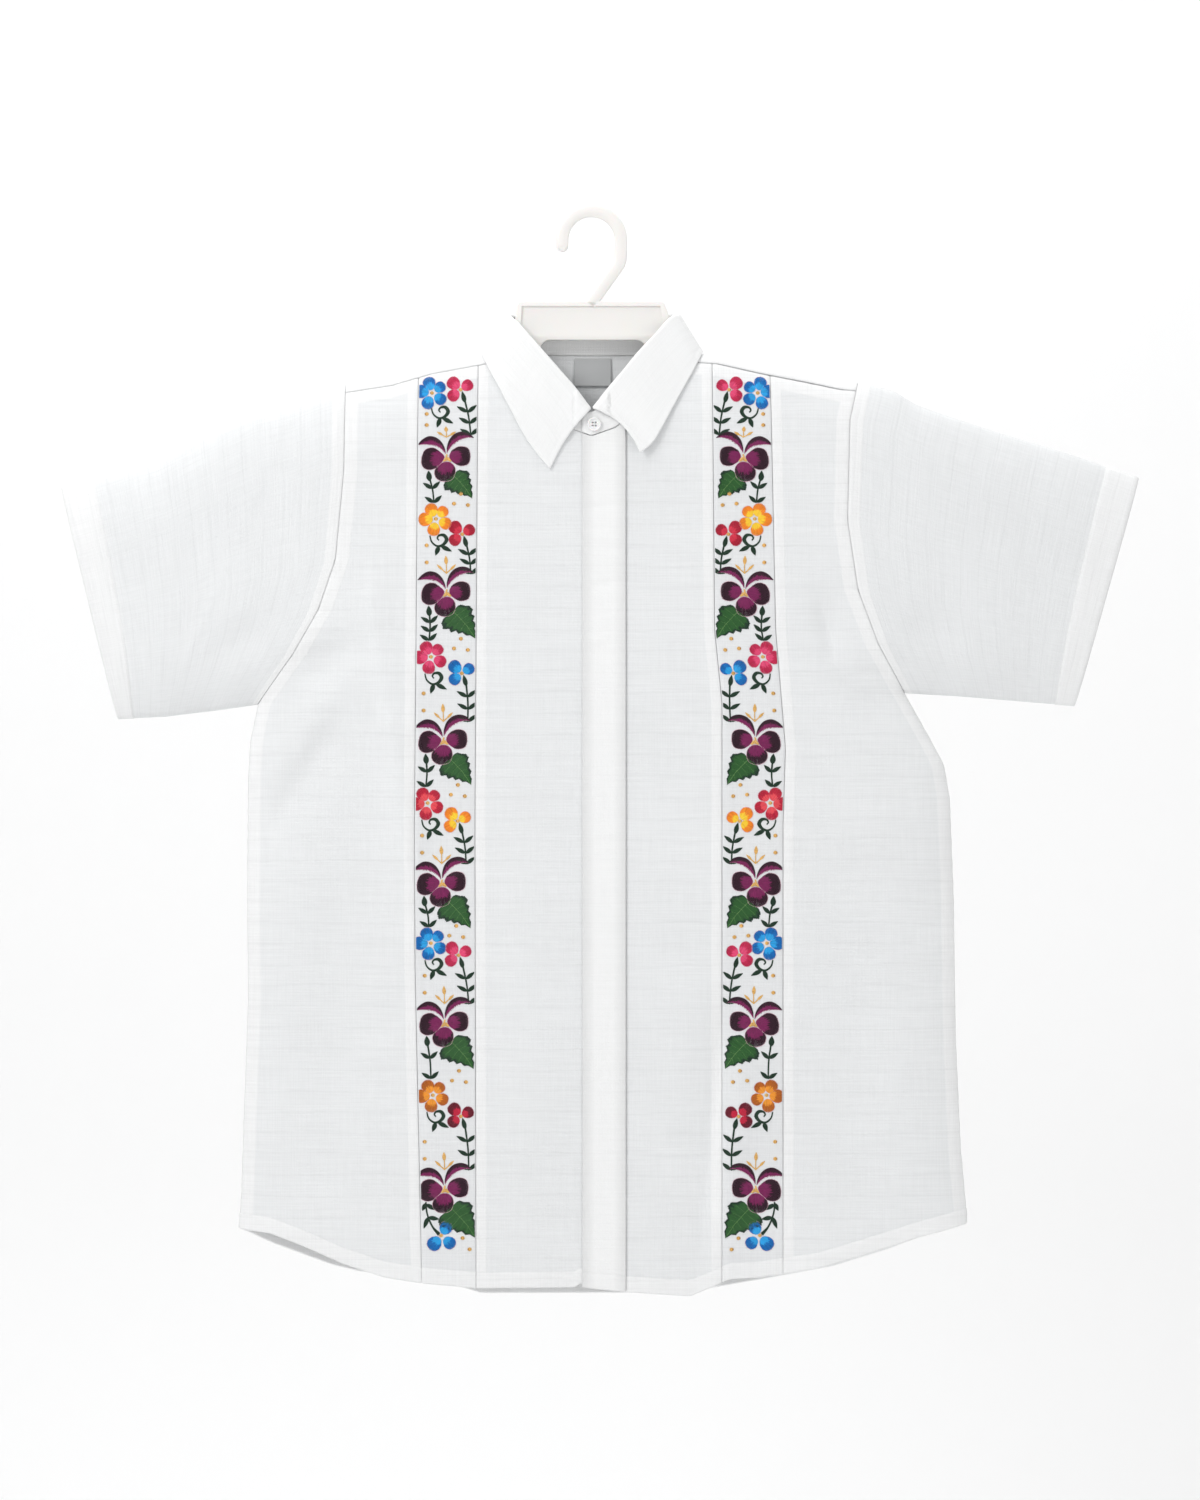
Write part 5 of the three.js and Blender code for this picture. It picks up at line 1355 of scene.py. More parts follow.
@dataclass(frozen=True)
class PlainFinish:
    """A plain finish with an even colour.

    Attributes:
        name: Name of the material.
        colour: Base colour.
        roughness: Roughness.
        coat: Weight of a clear coat.
        sheen: Weight of a soft sheen.
        subsurface: Weight of light spreading inside.
        one_sided: Whether it is clear from behind, for a backdrop that views from behind look through.
    """

    name: str
    colour: Colour
    roughness: float
    coat: float = 0.0
    sheen: float = 0.0
    subsurface: float = 0.0
    one_sided: bool = False

    def material(self) -> bpy.types.Material:
        """Builds the material.

        Returns:
            The material.
        """
        made = bpy.data.materials.new(self.name)
        made.use_nodes = True
        shader = made.node_tree.nodes["Principled BSDF"]
        shader.inputs["Base Color"].default_value = self.colour
        shader.inputs["Roughness"].default_value = self.roughness
        shader.inputs["Coat Weight"].default_value = self.coat
        shader.inputs["Coat Roughness"].default_value = 0.15
        shader.inputs["Sheen Weight"].default_value = self.sheen
        shader.inputs["Subsurface Weight"].default_value = self.subsurface
        shader.inputs["Subsurface Scale"].default_value = 0.004
        if self.one_sided:
            nodes = Nodes(made.node_tree)
            facing = nodes.add("ShaderNodeNewGeometry")
            nodes.feed(shader.inputs["Alpha"], nodes.math("SUBTRACT", 1.0, facing.outputs["Backfacing"]))
        return made


COTTON = ClothFinish("cotton", (0.82, 0.832, 0.84, 1), (0.88, 0.885, 0.888, 1), 0.5, 0.1)
BAND_GROUND = ClothFinish("band_cotton", (0.79, 0.8, 0.81, 1), (0.87, 0.876, 0.88, 1), 0.0, 0.12)
DOUBLED = ClothFinish("doubled_cotton", (0.9, 0.905, 0.905, 1), (0.91, 0.915, 0.915, 1), 0.25, 0.05)
LABEL = PlainFinish("label_satin", (0.52, 0.53, 0.535, 1), 0.38, sheen=0.3)
BUTTON = PlainFinish("button_white", (0.88, 0.88, 0.87, 1), 0.22, coat=0.5, subsurface=0.1)
HANGER = PlainFinish("hanger_white", (0.88, 0.865, 0.84, 1), 0.32, coat=0.25, subsurface=0.1)
FLOOR = PlainFinish("pale_ground", (0.93, 0.93, 0.93, 1), 0.9, one_sided=True)


class Thread(Enum):
    """Embroidery threads, by their colour on a screen."""

    PLUM_DARK = (0.2, 0.05, 0.14)
    PLUM = (0.5, 0.12, 0.35)
    ROSE_LINE = (0.9, 0.72, 0.78)
    GOLD = (0.9, 0.72, 0.42)
    GOLD_DARK = (0.7, 0.47, 0.2)
    STEM = (0.09, 0.21, 0.14)
    LEAF = (0.17, 0.37, 0.17)
    LEAF_LIGHT = (0.42, 0.6, 0.34)
    BLUE = (0.03, 0.45, 0.75)
    BLUE_LIGHT = (0.16, 0.65, 0.9)
    PINK = (0.8, 0.16, 0.34)
    PINK_LIGHT = (0.9, 0.3, 0.48)
    RED = (0.72, 0.1, 0.22)
    RED_LIGHT = (0.85, 0.2, 0.3)
    CORAL = (0.78, 0.13, 0.25)
    CORAL_LIGHT = (0.92, 0.32, 0.36)
    ORANGE = (0.98, 0.58, 0.16)
    YELLOW = (1.0, 0.82, 0.22)
    AMBER = (0.76, 0.42, 0.12)
    AMBER_LIGHT = (0.95, 0.62, 0.2)
    CRIMSON = (0.45, 0.06, 0.16)
    CRIMSON_LIGHT = (0.78, 0.12, 0.25)

    def linear(self) -> np.ndarray:
        """The colour as light.

        Returns:
            Red, green and blue.
        """
        shown = np.array(self.value)
        return np.where(shown <= 0.04045, shown / 12.92, ((shown + 0.055) / 1.055) ** 2.4)


def smooth_loop(points: Sequence, count: int = 90) -> np.ndarray:
    """A smooth closed line through points.

    Args:
        points: The points.
        count: Number of places on it.

    Returns:
        Places, (count, 2).
    """
    loop = np.array(points, float)
    ring = np.vstack([loop[-1:], loop, loop[:2]])
    span = len(ring) - 1
    return smooth_curve(ring, np.linspace(1 / span, (len(loop) + 1) / span, count, endpoint=False))


class Needle:
    """Gathers embroidery stitches flat, in the places of the wearer's right band."""

    SPACING = 0.4
    THICK = 0.27
    LONGEST = 6.5

    def __init__(self, seed: int) -> None:
        """Starts with no stitches.

        Args:
            seed: Seed of the small unevenness.
        """
        self.random = np.random.default_rng(seed)
        self.parts: list[np.ndarray] = []

    def stitch(self, a: np.ndarray, b: np.ndarray, thread: Thread, thick: float = THICK, lift: float = 0.2) -> None:
        """Adds straight stitches.

        Args:
            a: Their starts, (count, 2).
            b: Their ends, (count, 2).
            thread: Their thread.
            thick: Thread radius.
            lift: Height of their middle over the cloth.
        """
        a, b = np.atleast_2d(a), np.atleast_2d(b)
        count = len(a)
        tone = self.random.normal(1, 0.09, (count, 1))
        colour = np.clip(thread.linear() * tone, 0, 1)
        size = np.tile([thick, lift], (count, 1))
        size[:, 1] += self.random.uniform(-0.05, 0.05, count)
        self.parts.append(np.hstack([a, b, colour, size]))

    def _split(self, a: np.ndarray, b: np.ndarray, thread: Thread, thick: float, lift: float) -> None:
        """Adds stitches, the long ones as two.

        Args:
            a: Starts.
            b: Ends.
            thread: Thread.
            thick: Thread radius.
            lift: Height of their middle.
        """
        far = np.linalg.norm(b - a, axis=1) > self.LONGEST
        self.stitch(a[~far], b[~far], thread, thick, lift)
        if far.any():
            share = self.random.uniform(0.38, 0.62, (far.sum(), 1))
            middle = a[far] * (1 - share) + b[far] * share
            ahead = (b[far] - a[far]) * 0.05
            self.stitch(a[far], middle + ahead, thread, thick, lift)
            self.stitch(middle - ahead, b[far], thread, thick, lift)

    def satin(
        self, left: np.ndarray, right: np.ndarray, near: Thread, far: Thread | None = None, share: float = 0.5,
        slant: float = 0.0, thick: float = THICK, lift: float = 0.2, ragged: float = 0.0,
    ) -> None:
        """Fills between two lines with stitches across.

        Args:
            left: First line, (count, 2).
            right: Second line.
            near: Thread next to the first line.
            far: Thread next to the second line, or None.
            share: Where the two threads meet.
            slant: How much further along the second line each stitch ends.
            thick: Thread radius.
            lift: Height of their middle.
            ragged: Unevenness of the stitches' far ends.
        """
        length = max(np.linalg.norm(np.diff(line, axis=0), axis=1).sum() for line in (left, right))
        count = max(3, round(length / self.SPACING))
        at = np.linspace(0.01, 0.99, count)
        a, b = along_line(left, np.clip(at - slant / 2, 0, 1)), along_line(right, np.clip(at + slant / 2, 0, 1))
        b = a + (b - a) * (1 + ragged * self.random.uniform(-1, 1, (count, 1)))
        if far is None:
            self._split(a, b, near, thick, lift)
            return
        cut = np.clip(share + self.random.uniform(-0.13, 0.13, (count, 1)), 0.05, 0.95)
        middle, ahead = a + (b - a) * cut, (b - a) * 0.05
        self._split(a, middle + ahead, near, thick, lift)
        self._split(middle - ahead, b, far, thick, lift)

    def fan(
        self, outline: np.ndarray, pivot: np.ndarray, inner: Thread, outer: Thread, share: float,
        lift: float = 0.28, ragged: float = 0.25,
    ) -> None:
        """Fills a petal with stitches that spread from a point.

        Args:
            outline: The petal's closed outline.
            pivot: The point.
            inner: Thread near the point.
            outer: Thread near the rim.
            share: Where the two threads meet.
            lift: Height of the stitches' middle.
            ragged: Unevenness of the rim in millimetres.
        """
        spread = outline - pivot
        towards = math.atan2(*spread.mean(axis=0)[::-1])
        turned = (np.arctan2(spread[:, 1], spread[:, 0]) - towards + np.pi) % (2 * np.pi) - np.pi
        reach = 0.62 * np.linalg.norm(spread, axis=1).max()
        count = max(6, round((turned.max() - turned.min()) * reach / self.SPACING))
        ahead = np.roll(spread, -1, axis=0)
        inner_ends, outer_ends = [], []
        for number, turn in enumerate(np.linspace(turned.min(), turned.max(), count + 2)[1:-1]):
            ray = np.array([math.cos(towards + turn), math.sin(towards + turn)])
            side = spread[:, 0] * ray[1] - spread[:, 1] * ray[0]
            next_side = np.roll(side, -1)
            crossing = side * next_side < 0
            if not crossing.any():
                continue
            t = (side[crossing] / (side[crossing] - next_side[crossing]))[:, None]
            hits = np.sort(((1 - t) * spread[crossing] + t * ahead[crossing]) @ ray)
            hits = hits[hits > 0]
            if len(hits) % 2:
                hits = np.concatenate([[0], hits])
            for low, high in hits.reshape(-1, 2):
                skip = (0, 0.5, 0.25, 0.5)[number % 4] * reach
                high += self.random.uniform(-ragged, ragged)
                cut = low + (high - low) * np.clip(share + self.random.uniform(-0.1, 0.1), 0, 1)
                if max(low, skip) < cut:
                    inner_ends.append((pivot + ray * max(low, skip), pivot + ray * (cut + 0.3)))
                if high > max(cut, skip):
                    outer_ends.append((pivot + ray * (max(cut, skip) - 0.3), pivot + ray * high))
        for ends, thread in ((inner_ends, inner), (outer_ends, outer)):
            if ends:
                pairs = np.array(ends)
                self._split(pairs[:, 0], pairs[:, 1], thread, self.THICK, lift)

    def line(self, points: np.ndarray, thread: Thread, thick: float = 0.17, lift: float = 0.5) -> None:
        """Follows a line with small stitches.

        Args:
            points: The line.
            thread: The thread.
            thick: Its radius.
            lift: Its height.
        """
        length = np.linalg.norm(np.diff(points, axis=0), axis=1).sum()
        places = along_line(points, np.linspace(0, 1, max(2, round(length / 1.3)) + 1))
        places += self.random.normal(0, 0.05, places.shape)
        self.stitch(places[:-1], places[1:], thread, thick, lift)

    def leaflet(self, base: Sequence[float], tip: Sequence[float], width: float, thread: Thread) -> None:
        """A small pointed leaf.

        Args:
            base: Where it joins the stem.
            tip: Its point.
            width: Its greatest width.
            thread: Its thread.
        """
        base, tip = np.array(base, float), np.array(tip, float)
        along = tip - base
        across = np.array([-along[1], along[0]]) / np.linalg.norm(along)
        t = np.linspace(0, 1, 12)[:, None]
        half = width / 2 * np.sin(np.pi * t**0.8) ** 0.9
        self.satin(base + along * t + across * half, base + along * t - across * half, thread, slant=0.1)

    def stem(self, points: Sequence, widths: Sequence[float], thread: Thread) -> None:
        """A stem or tendril of changing width.

        Args:
            points: Places along it.
            widths: Its widths, spread evenly along it.
            thread: Its thread.
        """
        t = np.linspace(0, 1, 40)
        middle = smooth_curve(np.array(points, float), t)
        ahead = np.gradient(middle, axis=0)
        ahead /= np.linalg.norm(ahead, axis=1, keepdims=True)
        half = np.interp(t, np.linspace(0, 1, len(widths)), widths)[:, None] / 2
        across = np.stack([-ahead[:, 1], ahead[:, 0]], axis=1) * half
        self.satin(middle + across, middle - across, thread, slant=0.015)

    def dot(self, place: Sequence[float], size: float = 3.0) -> None:
        """A small gold knot.

        Args:
            place: Its middle.
            size: Its width.
        """
        offset = np.linspace(-0.42, 0.42, 5)[:, None] * size
        half = np.sqrt(np.maximum(0.02, (size / 2) ** 2 - offset**2))
        middle = np.array(place, float) + offset * [1.0, 0.0]
        up = half * [0.0, 1.0]
        self.stitch(middle[1:] - up[1:], middle[1:] + up[1:], Thread.GOLD, 0.34, 0.45)
        self.stitch(middle[:1] - up[:1], middle[:1] + up[:1], Thread.GOLD_DARK, 0.34, 0.4)


class Petals(Enum):
    """Thread pairs of the small flowers: towards the middle, and at the rim."""

    BLUE = (Thread.BLUE_LIGHT, Thread.BLUE)
    PINK = (Thread.PINK_LIGHT, Thread.PINK)
    RED = (Thread.RED_LIGHT, Thread.RED)
    CORAL = (Thread.CORAL_LIGHT, Thread.CORAL)
    YELLOW = (Thread.YELLOW, Thread.ORANGE)
    AMBER = (Thread.AMBER_LIGHT, Thread.AMBER)
    CRIMSON = (Thread.CRIMSON_LIGHT, Thread.CRIMSON)


class Unit(NamedTuple):
    """One repeat of the flowers: two small flowers above a pansy, with its leaf and dots below."""

    five: At
    five_petals: Petals
    three: At
    three_petals: Petals
    pansy: At
    sprig_pairs: int
    leaf_size: float
    dots_drop: float


UNITS = (
    Unit(At(-130.8, -145.6), Petals.BLUE, At(-107.4, -143), Petals.PINK, At(-118.5, -198.9), 2, 0.84, 29.5),
    Unit(At(-127.5, -248.9), Petals.YELLOW, At(-105.9, -261.5), Petals.RED, At(-118.5, -309.6), 3, 1.0, 37.5),
    Unit(At(-131.6, -362.0), Petals.PINK, At(-106.2, -375.5), Petals.BLUE, At(-121, -430.9), 2, 0.94, 36),
    Unit(At(-134.3, -481.8), Petals.CORAL, At(-109.6, -496.5), Petals.YELLOW, At(-122.3, -547.4), 2, 0.98, 35),
    Unit(At(-131.6, -596.6), Petals.BLUE, At(-109, -606.5), Petals.PINK, At(-120.1, -662.2), 2, 1.0, 39),
    Unit(At(-130, -721.2), Petals.AMBER, At(-107, -738.5), Petals.CRIMSON, At(-120.1, -798.3), 0, 1.1, 40),
)


class Pansy:
    """The large pansy with its toothed leaf."""

    PIVOT = (0.3, -0.3)
    SIDES = (
        ((-17.9, 6.5), (-11.4, 8.3), (-5.5, 4.8), (-2.0, 0.9), (-4.8, -4.6), (-9.4, -8.7), (-15.3, -9.8),
         (-19.9, -7.2), (-20.9, -0.7)),
        ((4.0, 5.9), (10.9, 9.5), (17.4, 7.8), (19.2, 2.4), (17.6, -4.8), (11.0, -6.6), (5.0, -3.6), (1.9, 0.5)),
    )
    LOWER = ((-1.2, -3.2), (2.6, -3.6), (6.2, -7.0), (7.0, -11.8), (5.2, -16.8), (1.0, -19.2), (-4.2, -19.2),
             (-8.6, -16.8), (-10.3, -11.6), (-8.2, -7.4), (-4.2, -4.2))
    LEFT_WING = (
        ((-1.2, 3.6), (-1.8, 7.6), (-4.4, 12.8), (-8.8, 16.6), (-14.6, 17.7), (-19.9, 15.2), (-24.0, 10.8)),
        ((-1.2, 3.6), (-3.2, 6.0), (-6.8, 8.9), (-11.0, 10.5), (-15.5, 11.0), (-20.0, 11.0), (-24.0, 10.8)),
    )
    RIGHT_WING = (
        ((0.2, 4.4), (0.2, 9.0), (2.2, 15.2), (6.6, 19.8), (12.4, 21.6), (18.1, 20.3), (22.0, 16.6)),
        ((0.2, 4.4), (3.2, 9.0), (6.4, 12.2), (10.4, 14.8), (14.4, 16.2), (18.4, 16.9), (22.0, 16.6)),
    )
    VEIN = ((5.0, -15.0), (10.5, -20.5), (16.5, -27.0), (23.3, -37.2))
    LEAF_LEFT = ((0.4, -19.4), (-3.0, -21.6), (-4.4, -25.0), (-3.0, -29.6), (1.6, -29.2), (3.4, -32.2), (7.2, -30.8),
                 (9.4, -33.4), (12.8, -32.2), (15.8, -35.0), (19.0, -34.6), (23.3, -37.2))
    LEAF_RIGHT = ((7.0, -11.6), (11.6, -9.6), (15.4, -10.6), (18.8, -10.6), (21.2, -13.6), (20.0, -17.0),
                  (22.6, -19.0), (21.4, -22.6), (23.8, -25.4), (22.4, -29.0), (23.9, -32.2), (23.3, -37.2))

    def __init__(self, needle: Needle) -> None:
        """Keeps the needle.

        Args:
            needle: Where the stitches go.
        """
        self.needle = needle

    def leaf(self, place: np.ndarray, size: float) -> None:
        """Sews the toothed leaf with its veins.

        Args:
            place: The pansy's middle.
            size: Its size, 1 for the common one.
        """
        root = np.array([6.0, -11.0])

        def at(points: Sequence) -> np.ndarray:
            return place + root + (np.array(points) - root) * size

        vein = at(self.VEIN)
        for edge in (self.LEAF_LEFT, self.LEAF_RIGHT):
            line = at(edge)
            self.needle.satin(vein, line, Thread.LEAF, Thread.STEM, share=0.8, slant=0.1, ragged=0.03)
            for share in (0.18, 0.36, 0.54, 0.72):
                rib = np.stack([along_line(vein, share * 0.9), along_line(line, share + 0.1)])
                rib[1] = rib[0] + (rib[1] - rib[0]) * 0.7
                self.needle.line(rib, Thread.LEAF_LIGHT, 0.14, 0.42)
        self.needle.line(vein, Thread.LEAF_LIGHT, 0.2, 0.5)

    def sew(self, place: np.ndarray, size: float) -> None:
        """Sews the pansy and its leaf.

        Args:
            place: Its middle.
            size: Size of its leaf.
        """
        needle = self.needle
        self.leaf(place, size)
        for upper, lower in (self.LEFT_WING, self.RIGHT_WING):
            top = place + smooth_curve(np.array(upper), np.linspace(0, 1, 40))
            low = place + smooth_curve(np.array(lower), np.linspace(0, 1, 40))
            needle.satin(top, low, Thread.PLUM_DARK, Thread.PLUM, share=0.52, slant=-0.1, ragged=0.1, lift=0.24)
            needle.line(low, Thread.ROSE_LINE, 0.15, 0.42)
        pivot = place + self.PIVOT
        for side in self.SIDES:
            outline = place + smooth_loop(side)
            needle.fan(outline, pivot, Thread.PLUM, Thread.PLUM_DARK, 0.56)
            needle.line(np.vstack([outline, outline[:1]]), Thread.ROSE_LINE, 0.15, 0.4)
        lower = place + smooth_loop(self.LOWER)
        needle.fan(lower, pivot + [0, 1.5], Thread.PLUM, Thread.PLUM_DARK, 0.6)
        needle.line(np.vstack([lower, lower[:1]]), Thread.ROSE_LINE, 0.17, 0.45)
        heart = place + np.array(((-2.6, -2.8), (-0.6, 0.4), (0.0, 2.8), (0.6, 0.4), (3.2, -2.8), (0.4, -1.6)))
        for start, end in ((0, 1), (1, 2), (3, 4), (5, 1), (0, 5), (5, 4)):
            spot = heart[[start, end]]
            needle.stitch(spot[0] + [[-0.3, 0], [0.3, 0.1]], spot[1] + [[-0.3, 0], [0.3, 0.1]], Thread.GOLD, 0.42, 0.7)


class SmallFlower:
    """A small flower of round petals, each filled from the flower's middle."""

    FIVE = ((112, 8.0, 5.2), (42, 7.8, 4.6), (-30, 8.2, 4.9), (-106, 8.6, 5.1), (178, 8.4, 5.5))
    THREE = ((132, 7.6, 5.3), (28, 6.4, 4.7), (214, 7.2, 4.9))
    END = ((58, 7.1, 5.3), (230, 8.4, 5.8), (-42, 8.8, 5.1))

    def __init__(self, needle: Needle) -> None:
        """Keeps the needle.

        Args:
            needle: Where the stitches go.
        """
        self.needle = needle

    def sew(self, place: np.ndarray, petals: Sequence[tuple], colours: Petals, turn: float = 0.0) -> None:
        """Sews one flower.

        Args:
            place: Its middle.
            petals: Angle, distance and radius of each petal.
            colours: Its threads.
            turn: Turn of the whole flower in degrees.
        """
        inner, outer = colours.value
        angles = np.linspace(0, 2 * np.pi, 40, endpoint=False)
        for degrees, distance, radius in petals:
            aim = math.radians(degrees + turn)
            ray = np.array([math.cos(aim), math.sin(aim)])
            across = np.array([-ray[1], ray[0]])
            pull = 1 + 0.16 * np.cos(angles)
            outline = (place + ray * distance + np.outer(radius * 1.08 * np.cos(angles), ray)
                       + np.outer(radius * pull * np.sin(angles), across))
            self.needle.fan(outline, place - ray * 0.6, inner, outer, 0.5)
            self.needle.line(np.vstack([outline, outline[:1]]), Thread.ROSE_LINE, 0.13, 0.34)
        self.needle.dot(place, 2.8)


class FlowerBands:
    """Both embroidered bands: the wearer's right one as drawn, the left one as its mirror image."""

    EDGE = 0.9
    TENDRIL = ((-5.0, -13.6), (-3.4, -19.0), (1.3, -22.4), (6.0, -21.1), (8.8, -16.9), (6.5, -13.4), (2.6, -13.6),
               (1.2, -15.9), (2.6, -17.6))
    TENDRIL_WIDTHS = (0.8, 1.0, 1.3, 2.0, 3.0, 2.6, 1.4, 1.1, 0.9)

    def __init__(self) -> None:
        """Starts one needle for each kind of motif."""
        self.pansies, self.flowers, self.greens = (Needle(seed) for seed in (11, 12, 13))

    def _tendril(self, place: np.ndarray) -> None:
        """Sews the curl under a five-petalled flower with its two leaflets.

        Args:
            place: The flower's middle.
        """
        self.greens.stem(place + np.array(self.TENDRIL), self.TENDRIL_WIDTHS, Thread.STEM)
        self.greens.leaflet(place + [2.6, -22.4], place + [-0.4, -29.8], 3.8, Thread.STEM)
        self.greens.leaflet(place + [4.2, -22.2], place + [12.8, -26.6], 3.6, Thread.STEM)

    def _twig(self, top: np.ndarray, foot: np.ndarray, pairs: int, reach: float) -> None:
        """Sews a straight twig with pairs of leaflets, its foot downwards.

        Args:
            top: Its upper end.
            foot: Its lower end.
            pairs: Number of pairs.
            reach: How far the leaflets reach sideways.
        """
        bend = (top + foot) / 2 + [0.8, 0]
        self.greens.stem((top, bend, foot), (1.4, 1.2, 1.1), Thread.STEM)
        for share in np.linspace(0.42 if pairs < 3 else 0.34, 0.97, pairs):
            root = top * (1 - share) + foot * share + [0.8 * math.sin(math.pi * share), 0.0]
            for side, rise in ((-1, 4.2), (1, 5.2)):
                tip = root + [side * reach * (1.0 if side < 0 else 0.86), rise]
                self.greens.leaflet(root + [side * 0.3, -0.4], tip, 3.3, Thread.STEM)

    def _spray(self, place: np.ndarray, squeeze: float) -> None:
        """Sews the gold spray over a pansy.

        Args:
            place: The pansy's middle.
            squeeze: Its height, 1 for the common one.
        """
        base = place + [-0.4, 15.8 + 2.6 * (1 - squeeze)]

        def up(x: float, z: float) -> np.ndarray:
            return base + [x, z * squeeze]

        needle = self.greens
        needle.stem((up(0, 0), up(0, 5), up(-0.2, 9.6)), (0.8, 0.6, 0.6), Thread.GOLD)
        needle.leaflet(up(-0.2, 7.6), up(-0.4, 14.6), 3.0, Thread.GOLD)
        for side in (-1, 1):
            needle.stem((up(0, 0.4), up(side * 2.6, 2.6), up(side * 4.0, 4.0)), (0.8, 0.8, 0.8), Thread.GOLD)
            needle.leaflet(up(side * 3.2, 3.2), up(side * 7.6, 7.4), 2.0, Thread.GOLD)

    def _unit(self, unit: Unit, below: Unit | None) -> None:
        """Sews one repeat.

        Args:
            unit: The repeat.
            below: The next one down, or None.
        """
        first = unit is UNITS[0]
        five, three, pansy = (np.array([p.x, p.z]) for p in (unit.five, unit.three, unit.pansy))
        flower = SmallFlower(self.flowers)
        self._tendril(five + ([4.5, 1.6] if first else [0, 0]))
        self.greens.leaflet(three + [3.6, -10.6], three + [1.4, -1.4], 3.8, Thread.STEM)
        self._twig(three + [3.4, -8.0], pansy + [19.6, 15.4 if not first else 18.6], 3, 8.6)
        flower.sew(five, SmallFlower.FIVE, unit.five_petals, 7.0 * math.sin(five[1]))
        flower.sew(three, SmallFlower.THREE, unit.three_petals, 5.0 * math.sin(three[1]))
        Pansy(self.pansies).sew(pansy, unit.leaf_size)
        self._spray(pansy, 0.6 if first else 1.0)
        for rise in (36.0, 26.9) if first else (39.0, 25.0):
            self.greens.dot(pansy + [-16.6, rise])
        for x, drop in ((11.5, 0.0), (5.8, 8.0), (17.2, 9.2)):
            if below is not None or x > 6:
                self.greens.dot(pansy + [x if below else x + 3, -unit.dots_drop - drop])
        if below is not None:
            foot = np.array([below.five.x, below.five.z]) + [-1.6, 13.2]
            self.greens.leaflet(pansy + [-14.4, -19.0], pansy + [-14.9, -10.6], 4.6, Thread.STEM)
            self._twig(pansy + [-14.4, -16.0], foot, unit.sprig_pairs, 7.4)

    def _end(self) -> None:
        """Sews the blue flower and the bent twig under the last pansy."""
        pansy = np.array([UNITS[-1].pansy.x, UNITS[-1].pansy.z])
        place = pansy + [-3.1, -37.8]
        bends = np.array(((-15.7, -10.5), (-14.6, -20.0), (-10.0, -31.0), (-4.7, -37.0)))
        self.greens.stem(pansy + bends, (1.2, 1.2, 1.4, 3.0), Thread.STEM)
        for base, tip in (((-15.4, -12.2), (-7.6, -17.0)), ((-15.6, -11.6), (-18.6, -17.4)),
                          ((-13.6, -23.0), (-4.8, -24.6)), ((-13.8, -23.0), (-17.4, -32.0))):
            self.greens.leaflet(pansy + base, pansy + tip, 3.6, Thread.STEM)
        SmallFlower(self.flowers).sew(place, SmallFlower.END, Petals.BLUE)

    @staticmethod
    def _edges(z: Scalars, side: int) -> tuple[Scalars, Scalars]:
        """Left and right edge of a band at each height.

        Args:
            z: Heights.
            side: -1 for the wearer's right band, 1 for the left one.

        Returns:
            Two arrays of x.
        """
        if side < 0:
            return x_on(RIGHT_BAND_OUTER, z), x_on(RIGHT_BAND_INNER, z)
        return x_on(LEFT_BAND_INNER, z), x_on(LEFT_BAND_OUTER, z)

    def _lay(self, name: str, needle: Needle, side: int, tree: bpy.types.NodeTree,
             material: bpy.types.Material) -> None:
        """Lays one needle's stitches on a band.

        Args:
            name: Name of the piece.
            needle: The stitches.
            side: -1 for the wearer's right band, 1 for the left one.
            tree: The thread's node tree.
            material: The thread's material.
        """
        rows = np.vstack(needle.parts)
        flat = rows[:, :4].reshape(-1, 2, 2).copy()
        if side > 0:
            own, other = self._edges(flat[..., 1], -1), self._edges(flat[..., 1], 1)
            flat[..., 0] = (other[0] + other[1]) / 2 - (flat[..., 0] - (own[0] + own[1]) / 2)
        low, high = self._edges(flat[..., 1], side)
        low, high = low.mean(axis=1) + self.EDGE, high.mean(axis=1) - self.EDGE
        inside = (flat[..., 0].max(axis=1) > low) & (flat[..., 0].min(axis=1) < high)
        flat, rows, low, high = flat[inside], rows[inside], low[inside], high[inside]
        run = flat[:, 1, 0] - flat[:, 0, 0]
        safe = np.where(np.abs(run) < 1e-6, 1e-6, run)
        bounds = np.sort(np.stack([(low - flat[:, 0, 0]) / safe, (high - flat[:, 0, 0]) / safe]), axis=0)
        first, last = np.clip(bounds[0], 0, 1)[:, None], np.clip(bounds[1], 0, 1)[:, None]
        start, ahead = flat[:, 0], flat[:, 1] - flat[:, 0]
        places = np.stack([start + ahead * first, start + ahead * (first + last) / 2, start + ahead * last], axis=1)
        lift = CLOTH_WALL / 2 + np.stack([rows[:, 8] * 0.25, rows[:, 8], rows[:, 8] * 0.25], axis=1)
        points, _ = CLOTH.points(places[..., 0], places[..., 1], Side.FRONT, lift)
        threads = ThreadPiece(points, np.repeat(rows[:, 4:7], 3, axis=0), np.repeat(rows[:, 7], 3))
        finished(threads.build(name, tree, material), "embroidery_thread")

    def build(self, tree: bpy.types.NodeTree, material: bpy.types.Material) -> None:
        """Sews all repeats and lays them on both bands.

        Args:
            tree: The thread's node tree.
            material: The thread's material.
        """
        for unit, below in zip(UNITS, (*UNITS[1:], None)):
            self._unit(unit, below)
        self._end()
        for side, place in ((-1, "right"), (1, "left")):
            self._lay(f"embroidered_pansies_{place}", self.pansies, side, tree, material)
            self._lay(f"embroidered_flowers_{place}", self.flowers, side, tree, material)
            self._lay(f"embroidered_greens_{place}", self.greens, side, tree, material)


